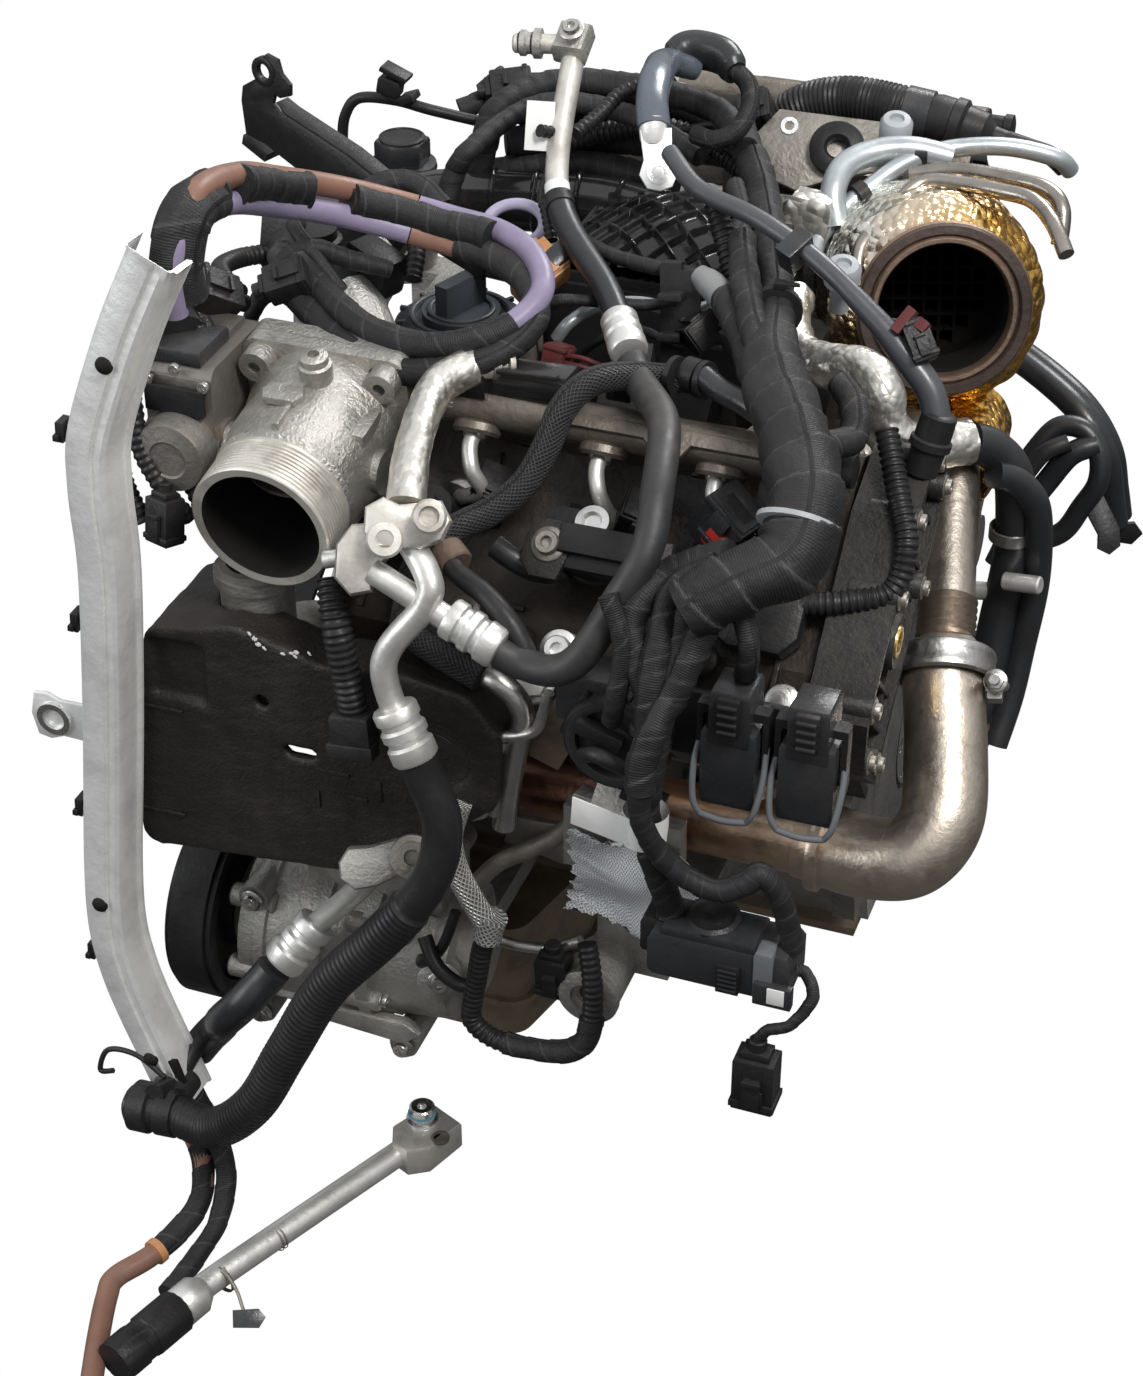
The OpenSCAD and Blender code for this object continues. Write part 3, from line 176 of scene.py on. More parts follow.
def build_relief(n, i):
    """Bump from fine sand-like noise plus broad shallow dents."""
    where = n.add("ShaderNodeTexCoord").outputs["Object"]
    sand = n.noise(where, i["Scale"], 3.0, 0.6)
    dents = n.noise(where, 22.0, 2.0, 0.5)
    height = n.math("ADD", sand, n.math("MULTIPLY", dents, i["Dents"]))
    bump = n.add("ShaderNodeBump", Strength=i["Strength"], Distance=0.0015, Height=height)
    return {"Normal": bump.outputs[0]}


RELIEF = shader_group(
    "relief",
    {"Scale": ("Float", 300.0), "Strength": ("Float", 0.3), "Dents": ("Float", 0.5)},
    {"Normal": "Vector"},
    build_relief,
)


def use(n, tree, **values):
    """Adds a node that stands for one group, with the inputs given."""
    node = n.add("ShaderNodeGroup", {"node_tree": tree})
    for key, value in values.items():
        n.put(node, key, value)
    return node


def material(name, color, metal=0.0, rough=0.5, dust=0.3, soil=0.3, mottle=0.3, bump=0.25, grain=300.0,
        **more):
    """A soiled surface: how metallic and rough it is, how much dust, soil and mottling it carries, how strong
    its bump is and how fine its grain. more may hold wrap, braid, heat or foil settings, a coat, shine,
    edge_color, dust_color or soil_color.
    """
    made = bpy.data.materials.new(name)
    made.use_nodes = True
    made.diffuse_color = (*color, 1)
    n = Nodes(made.node_tree)
    surface = made.node_tree.nodes["Principled BSDF"]
    normal = None
    base = color
    if "heat" in more:
        base = use(n, HEAT, **more["heat"]).outputs["Color"]
    if "foil" in more:
        foil = use(n, FOIL, **more["foil"])
        base, normal = foil.outputs["Color"], foil.outputs["Normal"]
    if "wrap" in more:
        wrap = use(n, WRAP, **more["wrap"])
        normal = wrap.outputs["Normal"]
        # Tape: the raised lip of each turn is lightened towards the edge colour, a painted highlight.
        base = n.mix(n.math("MULTIPLY", wrap.outputs["Edge"], 0.55), color,
            more.get("edge_color", (0.15, 0.15, 0.16)))
    if "braid" in more:
        braid = use(n, BRAID, **more["braid"])
        normal = braid.outputs["Normal"]
        # Braid: the grooves between strands fall to a third of the colour, partly the gaps showing what lies
        # under, partly painted shade.
        base = n.mix(braid.outputs["Height"], tuple(c * 0.35 for c in color), color)
    grime = use(n, GRIME, Color=base, Roughness=rough, Mottle=mottle, Soil=soil, Dust=dust)
    for key in ("Dust color", "Soil color"):
        if key.replace(" ", "_").lower() in more:
            n.put(grime, key, more[key.replace(" ", "_").lower()])
    if normal is None and bump > 0:
        normal = use(n, RELIEF, Scale=grain, Strength=bump).outputs["Normal"]
    n.put(surface, "Base Color", grime.outputs["Color"])
    n.put(surface, "Roughness", grime.outputs["Roughness"])
    n.put(surface, "Metallic", metal)
    n.put(surface, "Specular IOR Level", more.get("shine", 0.5 if metal > 0.4 else 0.3))
    n.put(surface, "Coat Weight", more.get("coat", 0.0))
    n.put(surface, "Coat Roughness", 0.12)
    if normal is not None:
        n.put(surface, "Normal", normal)
    return made


BLACK_PLASTIC = material("black plastic", (0.012, 0.012, 0.0135), rough=0.42, dust=0.09, soil=0.1,
    grain=420.0)


def unit(v):
    """The vector divided by its length."""
    v = np.asarray(v, float)
    return v / np.linalg.norm(v)


def basis(axis, hint=(0, 0, 1)):
    """Three unit vectors, the last along axis, the second as near to hint as it can be."""
    z = unit(axis)
    h = np.asarray(hint, float)
    if abs(unit(h) @ z) > 0.98:
        h = np.array([1.0, 0, 0])
    y = unit(h - z * (h @ z))
    return np.cross(y, z), y, z


def curve(points, per=14):
    """Catmull-Rom line through the points: the same curve as the solids' tubes."""
    p = np.asarray(points, float)
    q = np.vstack([p[:1], p, p[-1:]])
    t = np.linspace(0, 1, per, endpoint=False)[:, None]
    out = []
    for k in range(len(p) - 1):
        a, b, c, d = q[k], q[k + 1], q[k + 2], q[k + 3]
        out.append(0.5 * (2 * b + (c - a) * t + (2 * a - 5 * b + 4 * c - d) * t**2 + (3 * b - a - 3 * c + d)
            * t**3))
    return np.vstack([*out, p[-1:]])


def resample(line, step):
    """The same line with points at equal steps along it, and the length up to each."""
    gaps = np.linalg.norm(np.diff(line, axis=0), axis=1)
    s = np.concatenate([[0], np.cumsum(gaps)])
    at = np.linspace(0, s[-1], max(4, int(round(s[-1] / step)) + 1))
    return np.stack([np.interp(at, s, line[:, k]) for k in range(3)], 1), at


def frames(line):
    """Tangent and two normals at each point, carried along without twist."""
    t = np.gradient(line, axis=0)
    t /= np.linalg.norm(t, axis=1)[:, None]
    n = np.zeros_like(t)
    n[0] = basis(t[0])[1]
    for k in range(1, len(t)):
        v = n[k - 1] - t[k] * (n[k - 1] @ t[k])
        n[k] = v / np.linalg.norm(v)
    return t, n, np.cross(t, n)


def rings(pitch, depth, duty=0.5):
    """Radius factor of a corrugated tube."""
    return lambda s, a: 1 + depth * np.tanh(3 * (np.cos(2 * math.pi * s / pitch)
        - math.cos(math.pi * duty))) + 0 * a


class Piece:
    """Gathers parts of one physical piece and makes one object of them."""

    def __init__(self, name, slot, body="engine", replaces=()):
        self.name, self.slot, self.body, self.replaces = name, slot, body, replaces
        self.verts, self.faces, self.uvs, self.index, self.mats, self.count = [], [], [], [], [], 0

    def add(self, verts, faces, mat, uv=None):
        """Joins one more patch of faces to the piece; returns the piece."""
        verts = np.asarray(verts, float).reshape(-1, 3)
        if mat not in self.mats:
            self.mats.append(mat)
        self.verts.append(verts)
        self.faces += [[v + self.count for v in f] for f in faces]
        self.uvs.append(np.zeros((len(verts), 2)) if uv is None else uv)
        self.index += [self.mats.index(mat)] * len(faces)
        self.count += len(verts)
        return self

    def make(self, sharp=38):
        """Makes the mesh in metres with its surfaces, hangs it on its body and hides the solids it replaces.
        """
        mesh = bpy.data.meshes.new(self.name + "_v")
        mesh.from_pydata((np.vstack(self.verts) * MM).tolist(), [], self.faces)
        uvs = np.vstack(self.uvs)
        loops = np.zeros(len(mesh.loops), int)
        mesh.loops.foreach_get("vertex_index", loops)
        mesh.uv_layers.new(name="UVMap").data.foreach_set("uv", uvs[loops].ravel())
        for mat in self.mats:
            mesh.materials.append(mat)
        mesh.polygons.foreach_set("material_index", self.index)
        mesh.polygons.foreach_set("use_smooth", [True] * len(mesh.polygons))
        mesh.set_sharp_from_angle(angle=math.radians(sharp))
        obj = bpy.data.objects.new(self.name + "_v", mesh)
        bpy.context.collection.objects.link(obj)
        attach(obj, self.body)
        if self.replaces:
            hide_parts(*self.replaces)
        return obj

    def grid(self, p, mat, uv=None, loop=True, caps=True):
        """Quads over p[row, column]; columns close on themselves where loop is set, end rows are capped."""
        rows, cols = p.shape[:2]
        a = np.arange(rows * cols).reshape(rows, cols)
        right = np.roll(a, -1, 1) if loop else a[:, 1:]
        left = a if loop else a[:, :-1]
        quads = np.stack([left[:-1], right[:-1], right[1:], left[1:]], -1).reshape(-1, 4).tolist()
        if loop and caps:
            quads += [a[0][::-1].tolist(), a[-1].tolist()]
        return self.add(p.reshape(-1, 3), quads, mat, uv)

    def tube(self, route, radius, mat, sides=20, step=2.0, shape=None, smooth=True):
        """A tube along a route in mm. shape(s, a) multiplies the radius: s mm from the start, a in radians."""
        line = curve(route) if smooth else np.asarray(route, float)
        line, s = resample(line, step)
        t, n, b = frames(line)
        a = np.linspace(0, 2 * math.pi, sides, endpoint=False)
        r = radius * np.ones((len(s), sides)) if shape is None else radius * shape(s[:, None], a[None, :])
        r = np.broadcast_to(r, (len(s), sides))[..., None]
        p = line[:, None] + r * (np.cos(a)[None, :, None] * n[:, None] + np.sin(a)[None, :, None] * b[:,
            None])
        uv = np.stack(np.broadcast_arrays(a[None, :] / (2 * math.pi), s[:, None] * MM), -1).reshape(-1, 2)
        return self.grid(p, mat, uv)

    def lathe(self, profile, at, axis, mat, sides=48, hint=(0, 0, 1), wave=None, caps=True):
        """Turned shape: profile is (radius, height) pairs along axis from the point at."""
        x, y, z = basis(axis, hint)
        rz = np.asarray(profile, float)
        a = np.linspace(0, 2 * math.pi, sides, endpoint=False)
        radius = rz[:, :1] * np.ones((1, sides))
        if wave is not None:
            radius = radius * wave(rz[:, 1:2], a[None, :])
        p = (
            np.asarray(at, float)
            + radius[..., None] * (np.cos(a)[None, :, None] * x + np.sin(a)[None, :, None] * y)
            + rz[:, 1][:, None, None] * z
        )
        uv = np.stack(np.broadcast_arrays(a[None, :] / (2 * math.pi), rz[:, 1:2] * MM), -1).reshape(-1, 2)
        closed = np.allclose(rz[0], rz[-1])
        return self.grid(p, mat, uv, caps=caps and not closed)

    def prism(self, outline, low, high, at, axis, mat, edge=0.6, hint=(0, 0, 1)):
        """A plate with softened edges: outline in mm in the plane across axis, from low to high along it."""
        x, y, z = basis(axis, hint)
        o = np.asarray(outline, float)
        if np.sum(o[:, 0] * np.roll(o[:, 1], -1) - np.roll(o[:, 0], -1) * o[:, 1]) < 0:
            o = o[::-1]
        d = np.roll(o, -1, 0) - o
        d /= np.linalg.norm(d, axis=1)[:, None]
        inner = np.stack([-d[:, 1], d[:, 0]], 1)
        both = inner + np.roll(inner, 1, 0)
        both /= np.maximum(0.5, (both * inner).sum(1))[:, None]
        cut = edge * 0.3
        rings = [(edge, low), (cut, low + cut), (0, low + edge), (0, high - edge), (cut, high - cut),
            (edge, high)]
        p = np.stack([np.c_[o + both * i, np.full(len(o), h)] for i, h in rings])
        world = np.asarray(at, float) + p @ np.stack([x, y, z])
        return self.grid(world, mat)

    def box(self, center, size, mat, axis=(0, 0, 1), hint=(0, 1, 0), edge=0.8):
        """A block with softened edges; size is along the three directions of basis(axis, hint)."""
        w, h, l = (v / 2 for v in size)
        return self.prism([(-w, -h), (w, -h), (w, h), (-w, h)], -l, l, center, axis, mat,
            min(edge, w * 0.6, h * 0.6, l * 0.6), hint)

    def bar(self, a, b, radius, mat, sides=20, end=0.5):
        """A straight round bar with softened ends."""
        a, b = np.asarray(a, float), np.asarray(b, float)
        l = np.linalg.norm(b - a)
        e = min(end, radius * 0.4, l * 0.3)
        return self.lathe([(radius - e, 0), (radius, e), (radius, l - e), (radius - e, l)], a, b - a, mat,
            sides)

    def bolt(self, at, axis, size, mat, head="hex", washer=True, height=None):
        """A bolt head standing on the point at; size is the head's width in mm."""
        z = unit(axis)
        at = np.asarray(at, float)
        r, h = size / 2, height or size * 0.45
        if washer:
            self.lathe([(r * 1.35, -0.5), (r * 1.45, 0), (r * 1.45, size * 0.08), (r * 1.3, size * 0.14),
                (0.5, size * 0.15)], at, z, mat, 24)
        if head == "hex":
            a = np.linspace(0, 2 * math.pi, 6, endpoint=False) + 0.2
            self.prism(np.c_[np.cos(a), np.sin(a)] * r * 1.1, size * 0.1, h, at, z, mat, size * 0.06)
        else:
            self.lathe([(r, 0), (r, h - size * 0.08), (r * 0.9, h), (r * 0.5, h), (r * 0.42, h - size * 0.22),
                (0.3, h - size * 0.24)], at, z, mat, 18)
        return self


def plug(piece, at, axis, hint, size, mat=BLACK_PLASTIC, boot=True, tab=True):
    """A moulded plug: body, raised rim, locking tab with its slot, ribs and a cable boot at the back."""
    x, y, z = basis(axis, hint)
    w, h, l = size
    at = np.asarray(at, float)
    piece.box(at, (w, h, l), mat, axis, hint, 1.2)
    piece.box(at + z * l * 0.36, (w * 1.1, h * 1.12, l * 0.14), mat, axis, hint, 0.8)
    for k in (-0.3, 0, 0.3):
        piece.box(at + x * w * k - z * l * 0.12 - y * h * 0.03, (w * 0.08, h * 1.08, l * 0.5), mat, axis, hint,
            0.3)
    if tab:
        piece.box(at + y * h * 0.55 + z * l * 0.1, (w * 0.42, h * 0.22, l * 0.6), mat, axis, hint, 0.7)
        piece.box(at + y * h * 0.68 - z * l * 0.14, (w * 0.46, h * 0.12, l * 0.1), mat, axis, hint, 0.4)
    if boot:
        piece.box(at - z * l * 0.56, (w * 0.7, h * 0.7, l * 0.16), mat, axis, hint, 1.0)
        piece.bar(at - z * l * 0.6, at - z * l * 0.82, min(w, h) * 0.3, mat, 14)
    return piece


def finish(mat, *names):
    """Gives the solids so named one surface, and small bevels that catch the light along their edges."""
    for name in names:
        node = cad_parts[name]
        node.data.materials.clear()
        node.data.materials.append(mat)
        bevel = node.modifiers.new("edges", "BEVEL")
        bevel.width, bevel.segments, bevel.limit_method = 0.0009, 2, "ANGLE"
        bevel.angle_limit = math.radians(35)
        bevel.use_clamp_overlap, bevel.harden_normals = True, False


finish(BLACK_PLASTIC, "hanging_plug")
hang = Piece("hanging_plug", "black_plastic", replaces=("hanging_plug",))
plug(hang, (12, -399, 38.5), (0, 0, -1), FRONT, (22, 16, 34))
hang.box((12, -408, 33), (12, 1.4, 10), BLACK_PLASTIC, UP, FRONT, 0.5)
hang.box((12, -399, 24.4), (19, 14, 4), BLACK_PLASTIC, UP, FRONT, 1.0)
hang = hang.make()

# ------------ hanging lead
# Short lead under the control plug: four thin wires in fine cloth tape, stiff enough to keep its bow. It is
# crimped into the control plug above and the latching plug below.
def build_wrap(n, i):
    """Tape wound on a tube: height falls along each turn as the fraction of length over pitch, less the part
    of a turn round the tube, with creases and a fine weave added.
    """
    uv = n.add("ShaderNodeSeparateXYZ", Vector=n.add("ShaderNodeTexCoord").outputs["UV"])
    turn = n.math("SUBTRACT", n.math("DIVIDE", uv.outputs["Y"], i["Pitch"]), uv.outputs["X"])
    saw = n.math("FRACT", turn)
    # The lip of each turn; it lightens the colour there as a painted highlight.
    edge = n.ramp(saw, 0.0, 0.10, 1.0, 0.0)
    where = n.add("ShaderNodeTexCoord").outputs["Object"]
    crease = n.noise(where, 130.0, 4.0, 0.65)
    weave = n.math("SINE", n.math("MULTIPLY", uv.outputs["Y"], 5200.0))
    height = n.math("ADD", n.math("MULTIPLY", saw, -1.2), n.math("ADD", crease, n.math("MULTIPLY", weave,
        0.06)))
    bump = n.add("ShaderNodeBump", Strength=i["Strength"], Distance=0.0012, Height=height)
    return {"Edge": edge, "Normal": bump.outputs[0]}


WRAP = shader_group(
    "wrap", {"Pitch": ("Float", 0.012), "Strength": ("Float", 0.6)}, {"Edge": "Float", "Normal": "Vector"},
    build_wrap
)


# Both tapes take a lighter edge colour on the lip of each turn: a painted highlight.
TAPE = material("cloth tape", (0.014, 0.014, 0.0155), rough=0.58, dust=0.07, soil=0.06, mottle=0.45,
    wrap={"Pitch": 0.021, "Strength": 1.0}, edge_color=(0.075, 0.075, 0.08))
FINE_TAPE = material("fine tape", (0.015, 0.015, 0.017), rough=0.60, dust=0.07, soil=0.06,
    wrap={"Pitch": 0.010, "Strength": 0.6}, edge_color=(0.06, 0.06, 0.064))
BROWN_CABLE = material("brown cable", (0.215, 0.110, 0.078), rough=0.40, dust=0.2, soil=0.25, bump=0.1,
    grain=200.0)
WHITE_LABEL = material("white label", (0.72, 0.72, 0.70), rough=0.55, dust=0.12, soil=0.12, mottle=0.12,
    bump=0.05, grain=200.0)


def taped(pitch=20.0, depth=0.05, seed=0):
    """Radius factor of overlapping tape: a spiral step with slow swellings."""

    def factor(s, a):
        """One, less the step of the tape over each turn, plus three slow sine swellings."""
        turn = s / pitch - a / (2 * math.pi)
        step = (turn % 1.0) * depth
        swell = 0.035 * np.sin(s / 17.0 + seed) + 0.03 * np.sin(s / 7.3 + 2 * a + seed) + 0.015 * np.sin(3 * a
            + s / 11.0)
        return 1 - step + swell

    return factor


def length_of(route):
    """Length along the smooth route in metres, to the millimetre."""
    return round(float(resample(curve(route), 1.0)[1][-1]) * MM, 3)


finish(TAPE, "hanging_lead")
HANG_ROUTE = [[26.8, -384, 104], [31, -384, 104], [37, -391, 95], [28, -398, 80], [17, -399, 74],
    [12, -399, 66], [12, -399, 58]]
lead = Piece("hanging_lead", "tape", replaces=("hanging_lead",))
lead.tube(HANG_ROUTE, 3.3, FINE_TAPE, 14, 1.2, taped(9.0, 0.10, 1))
for k, tint in enumerate((BROWN_CABLE, BLACK_PLASTIC, WHITE_LABEL, BLACK_PLASTIC)):
    turn = math.pi / 2 * k
    off = np.array([math.cos(turn), math.sin(turn), 0]) * 2.0
    lead.tube([[12, -399, 68], np.array([12, -399, 64]) + off * 0.6, np.array([12, -399, 58.2]) + off], 1.1,
        tint, 8, 1.5)
lead = lead.make()
length_of(HANG_ROUTE)

# ------------ loose cables on the ground
# Two cables that leave the foot of the channel: one wound in black tape as far as the drier pipe, the other
# taped for its first stretch and then bare copper-brown. A rubber-like sheath keeps both fairly stiff.
ORANGE_PLASTIC = material("orange plastic", (0.52, 0.24, 0.10), rough=0.42, dust=0.2, soil=0.25, mottle=0.25,
    bump=0.15)


def part_of(route, start, end):
    """The stretch of the route's curve from start mm to end mm along it."""
    line, s = resample(curve(route), 1.0)
    return line[(s >= start) & (s <= end)]


def band(piece, at, axis, r, width=5.0, mat=BLACK_PLASTIC, tail=True, hint=(0, -1, 0)):
    """A cable tie: thin band, square head and cut tail."""
    ax = unit(axis)
    at = np.asarray(at, float)
    piece.lathe([(r, -width / 2), (r + 1.1, -width / 2 + 0.2), (r + 1.1, width / 2 - 0.2), (r, width / 2)], at,
        axis, mat, 28)
    if tail:
        x, y, z = basis(axis, hint)
        piece.box(at + y * (r + 2.2), (width * 1.3, 3.6, width * 1.2), mat, axis, hint, 0.5)
        piece.box(at + y * (r + 3.0) + x * 6, (9, 1.0, width * 0.8), mat, axis, hint, 0.3)
    return piece


finish(BROWN_CABLE, "floor_cable_brown")
finish(TAPE, "floor_cable_taped")
BROWN_ROUTE = [[-357, -362, -122.9], [-347.5, -362, -152], [-338.5, -368, -172], [-334, -388, -188],
    [-343, -425, -192.7]]
BROWN_ROUTE += [[-356, -451, -192.7], [-354, -466, -192.7], [-344, -495, -192.7], [-331, -528, -192.7],
    [-316, -566, -192.7]]
brown = Piece("floor_cable_brown", "cable_brown", replaces=("floor_cable_brown",))
brown_line = part_of(BROWN_ROUTE, 0, 400)
brown.tube(BROWN_ROUTE, 6.6, BROWN_CABLE, 18, 1.5)
brown.tube(part_of(BROWN_ROUTE, 0, 118), 7.2, TAPE, 20, 1.2, taped(17.0, 0.06, 2), smooth=False)
band(brown, brown_line[118], brown_line[120] - brown_line[118], 7.0, 5, ORANGE_PLASTIC, tail=False)
brown = brown.make()
length_of(BROWN_ROUTE)
TAPED_ROUTE = [[-342.8, -362, -118.1], [-333, -362, -145], [-322, -370, -172], [-318, -392, -190],
    [-319, -415, -193.5], [-320, -435, -193.5], [-322.2, -451.6, -193.5]]
taped_cable = Piece("floor_cable_taped", "tape", replaces=("floor_cable_taped",))
taped_cable.tube(TAPED_ROUTE, 6.4, TAPE, 20, 1.2, taped(15.0, 0.06, 5))
taped_cable = taped_cable.make()
length_of(TAPED_ROUTE)

# ------------ light and backdrop
# Plain soft studio light from three round lamps and a pale sky that is darker below. What the camera sees
# past the engine is plain white.
world = bpy.data.worlds.new("world")
scene.world = world
world.use_nodes = True
w = Nodes(world.node_tree)
world.node_tree.nodes.clear()
ray = w.add("ShaderNodeLightPath")
height = w.add("ShaderNodeSeparateXYZ", Vector=w.add("ShaderNodeTexCoord").outputs["Generated"]).outputs["Z"]
sky = w.mix(w.ramp(height, -0.2, 0.8), (0.10, 0.097, 0.093), (1.0, 1.02, 1.05))
plain = w.add("ShaderNodeBackground", Color=(1, 1, 1), Strength=1.0)
light = w.add("ShaderNodeBackground", Color=sky, Strength=0.85)
both = w.add("ShaderNodeMixShader", i0=ray.outputs["Is Camera Ray"], i1=light.outputs[0], i2=plain.outputs[0])
w.add("ShaderNodeOutputWorld", Surface=both.outputs[0])


def lamp(name, at, aim, size, power, color=(1, 1, 1)):
    """A round soft lamp that looks from at towards aim; size in metres across, power in watts."""
    obj = bpy.data.objects.new(name, bpy.data.lights.new(name, "AREA"))
    obj.data.shape, obj.data.size, obj.data.energy, obj.data.color = "DISK", size, power, color
    obj.location = at
    obj.rotation_mode = "QUATERNION"
    obj.rotation_quaternion = (Vector(aim) - Vector(at)).to_track_quat("-Z", "Y")
    obj.visible_camera = False
    bpy.context.collection.objects.link(obj)


lamp("key", at=(0.9, -1.0, 2.1), aim=(-0.15, -0.1, 0.1), size=0.7, power=42, color=(1.0, 0.98, 0.95))
lamp("fill", at=(-1.7, -1.4, 0.8), aim=(-0.15, -0.1, 0.1), size=1.2, power=14, color=(0.95, 0.98, 1.0))
lamp("rim", at=(0.2, 1.6, 1.6), aim=(-0.15, 0.0, 0.2), size=0.9, power=26)

# ------------ cylinder block, sump and heads
# Grey cast iron block with a light alloy frame and two alloy heads bolted to it, all sand-cast and oil-
# stained. The pan below is pressed steel, painted and gone brown.
CAST_GREY = material("cast grey", (0.17, 0.165, 0.155), metal=0.5, rough=0.62, dust=0.5, soil=0.5, mottle=0.5,
    bump=0.6, grain=260.0)
CAST_ALLOY = material("cast alloy", (0.42, 0.41, 0.385), metal=0.75, dust=0.35, soil=0.45, mottle=0.4,
    bump=0.55, grain=320.0)
TAN_STEEL = material("tan steel", (0.22, 0.17, 0.12), metal=0.6, soil=0.6, mottle=0.5, bump=0.3, grain=220.0)
finish(CAST_GREY, "cylinder_block")
finish(CAST_ALLOY, "upper_sump", "head_left", "head_right")
finish(TAN_STEEL, "oil_pan")

# ------------ front cover, filter housing and turbocharger
# The front cover closes the belt end and carries the belt's units: die-cast alloy, bolted all round. The
# filter housing and the turbocharger are darker castings that are bolted beside the near head and in the V.
DARK_ALLOY = material("dark alloy", (0.16, 0.15, 0.14), metal=0.55, rough=0.55, dust=0.4, soil=0.5, mottle=0.5,
    bump=0.5)
finish(CAST_ALLOY, "front_cover")
finish(DARK_ALLOY, "oil_filter_housing", "turbocharger")

# ------------ battery cables
# Two heavy leads, one terracotta and one violet, looped over the throttle and bound with black cloth tape.
# The tape leaves gaps where the colours show, and thin bands hold it.
VIOLET_CABLE = material("violet cable", (0.235, 0.200, 0.305), rough=0.38, dust=0.15, soil=0.2, mottle=0.25,
    bump=0.1, grain=200.0)
finish(TAPE, "battery_cables")
BATTERY = [[-316, -332.9, 404], [-316, -332.9, 424], [-314, -318, 446], [-316, -270, 436], [-318, -214, 410],
    [-304, -174, 390]]
BATTERY += [[-278, -154, 377], [-250, -148, 370], [-220, -152, 368], [-196, -166, 364], [-182, -190, 357],
    [-190, -212, 347]]
BATTERY += [[-210, -227, 340], [-236, -233, 336], [-262, -230, 338], [-284, -220, 342], [-304, -208, 348],
    [-322, -196, 352]]
STEP = np.array([0, -10.6, -10.6])
battery = Piece("battery_cables", "tape", replaces=("battery_cables",))
pair = [curve(BATTERY), curve(np.array(BATTERY) + STEP)]
full = float(resample(pair[0], 1.0)[1][-1])
for route, tints in ((0, (BROWN_CABLE, VIOLET_CABLE)), (1, (VIOLET_CABLE, BROWN_CABLE))):
    along = np.array(BATTERY) + STEP * route
    battery.tube(part_of(along, 0, full * 0.47), 6.5, tints[0], 18, 2, smooth=False)
    battery.tube(part_of(along, full * 0.47, full * 2), 6.5, tints[1], 18, 2, smooth=False)
for start, end, seed in ((0.0, 0.14, 1), (0.185, 0.335, 2), (0.40, 0.56, 3)):
    middle = part_of(np.array(BATTERY) + STEP / 2, start * full, end * full)
    flat = lambda s, a, k=seed: taped(19.0, 0.05, k)(s, a) * (1 + 0.62 * np.abs(np.cos(a - 0.75)) ** 2)
    battery.tube(middle, 8.6, TAPE, 28, 1.3, flat, smooth=False)
for route, start, end, seed in ((0, 0.72, 1.0, 4), (1, 0.52, 1.0, 5)):
    stretch = part_of(np.array(BATTERY) + STEP * route, start * full, end * full)
    battery.tube(stretch, 7.9, TAPE, 26, 1.3, taped(16.0, 0.05, seed), smooth=False)
for at in (0.14, 0.185, 0.335, 0.40):
    middle = part_of(np.array(BATTERY) + STEP / 2, at * full, at * full + 3)
    band(battery, middle[0], middle[-1] - middle[0], 8.5, 3.0, BLACK_PLASTIC, tail=False)
battery.make()

# ------------ wiring harness
# The main trunk and its branches are wound with wide black cloth tape by hand, layer over layer. The trunk
# swells where branches leave it and creases at its bends; ties hold it down.
LEVER_GREY = material("grey sleeve", (0.22, 0.225, 0.23), rough=0.45, dust=0.15, soil=0.2, mottle=0.2,
    bump=0.1)
LIGHT_PLASTIC = material("light plastic", (0.34, 0.36, 0.38), rough=0.45, dust=0.15, soil=0.2, mottle=0.2,
    bump=0.15)
finish(TAPE, "wiring_harness")
TRUNK = [[-150, 60, 352], [-120, 0, 350], [-86, -88, 352], [-62, -160, 352], [-45, -225, 352],
    [-20, -272, 345], [-3, -308, 334]]
TRUNK += [[-2, -336, 316], [-25, -352, 305], [-45, -362, 292]]
harness = Piece("wiring_harness", "tape", replaces=("wiring_harness",))


def trunk_shape(s, a):
    """Radius factor of the trunk: taped, growing smoothly past 225 mm, a little thinner near the end, with
    a group of creases about 400 mm along.
    """
    grow = np.clip((s - 225) / 130.0, 0, 1)
    swell = 0.70 + 0.62 * grow * grow * (3 - 2 * grow) - 0.22 * np.clip((s - 440) / 50.0, 0, 1)
    crease = 0.06 * np.maximum(0, np.sin(s / 4.6 + 1.4 * np.sin(a))) * np.exp(-(((s - 400) / 70.0) ** 2))
    return (taped(21.0, 0.085, 3)(s, a) + 0.02 * np.sin(a * 5 + s / 40)) * swell - crease


harness.tube(TRUNK, 14.6, TAPE, 44, 1.4, trunk_shape)
harness.tube([[-30, -338, 312], [-58, -336, 296], [-70, -350, 286], [-74, -358, 276], [-69, -364, 264],
    [-62, -368, 252], [-58, -370, 236]], 8.6, TAPE, 26, 1.2, taped(15.0, 0.09, 7))
harness.tube([[-34, -344, 310], [-53, -350, 296], [-56, -366, 274], [-56, -378, 250], [-56, -383, 216],
    [-54, -386, 176], [-47, -386, 146], [-42, -383, 126], [-42, -382, 117]], 7.6, TAPE, 24, 1.1,
    taped(14.0, 0.08, 4))
harness.tube([[-26, -350, 306], [-44, -356, 290], [-46, -370, 262], [-50, -382, 240], [-52, -388, 214],
    [-54, -388, 196]], 7.2, TAPE, 24, 1.1, taped(14.0, 0.08, 8))
crumpled = lambda s, a: taped(13.0, 0.09, 6)(s, a) + 0.10 * np.sin(s / 6.5 + 2.2
    * np.sin(a + s / 30)) * np.exp(-(((s - 60) / 45.0) ** 2))
harness.tube([[-24, -352, 300], [-36, -360, 284], [-40, -369, 268], [-46, -378, 252], [-51, -389, 238],
    [-54, -397, 222], [-53, -400, 208]], 8.0, TAPE, 26, 1.1, crumpled)
harness.tube([[-53, -400, 211], [-53, -401, 194], [-46, -398, 174], [-33, -394, 158], [-15, -392, 151],
    [-1, -390, 158], [6, -388, 164], [16, -386, 150], [24, -384, 118]], 6.2, FINE_TAPE, 20, 1.2,
    taped(13.0, 0.08, 9))
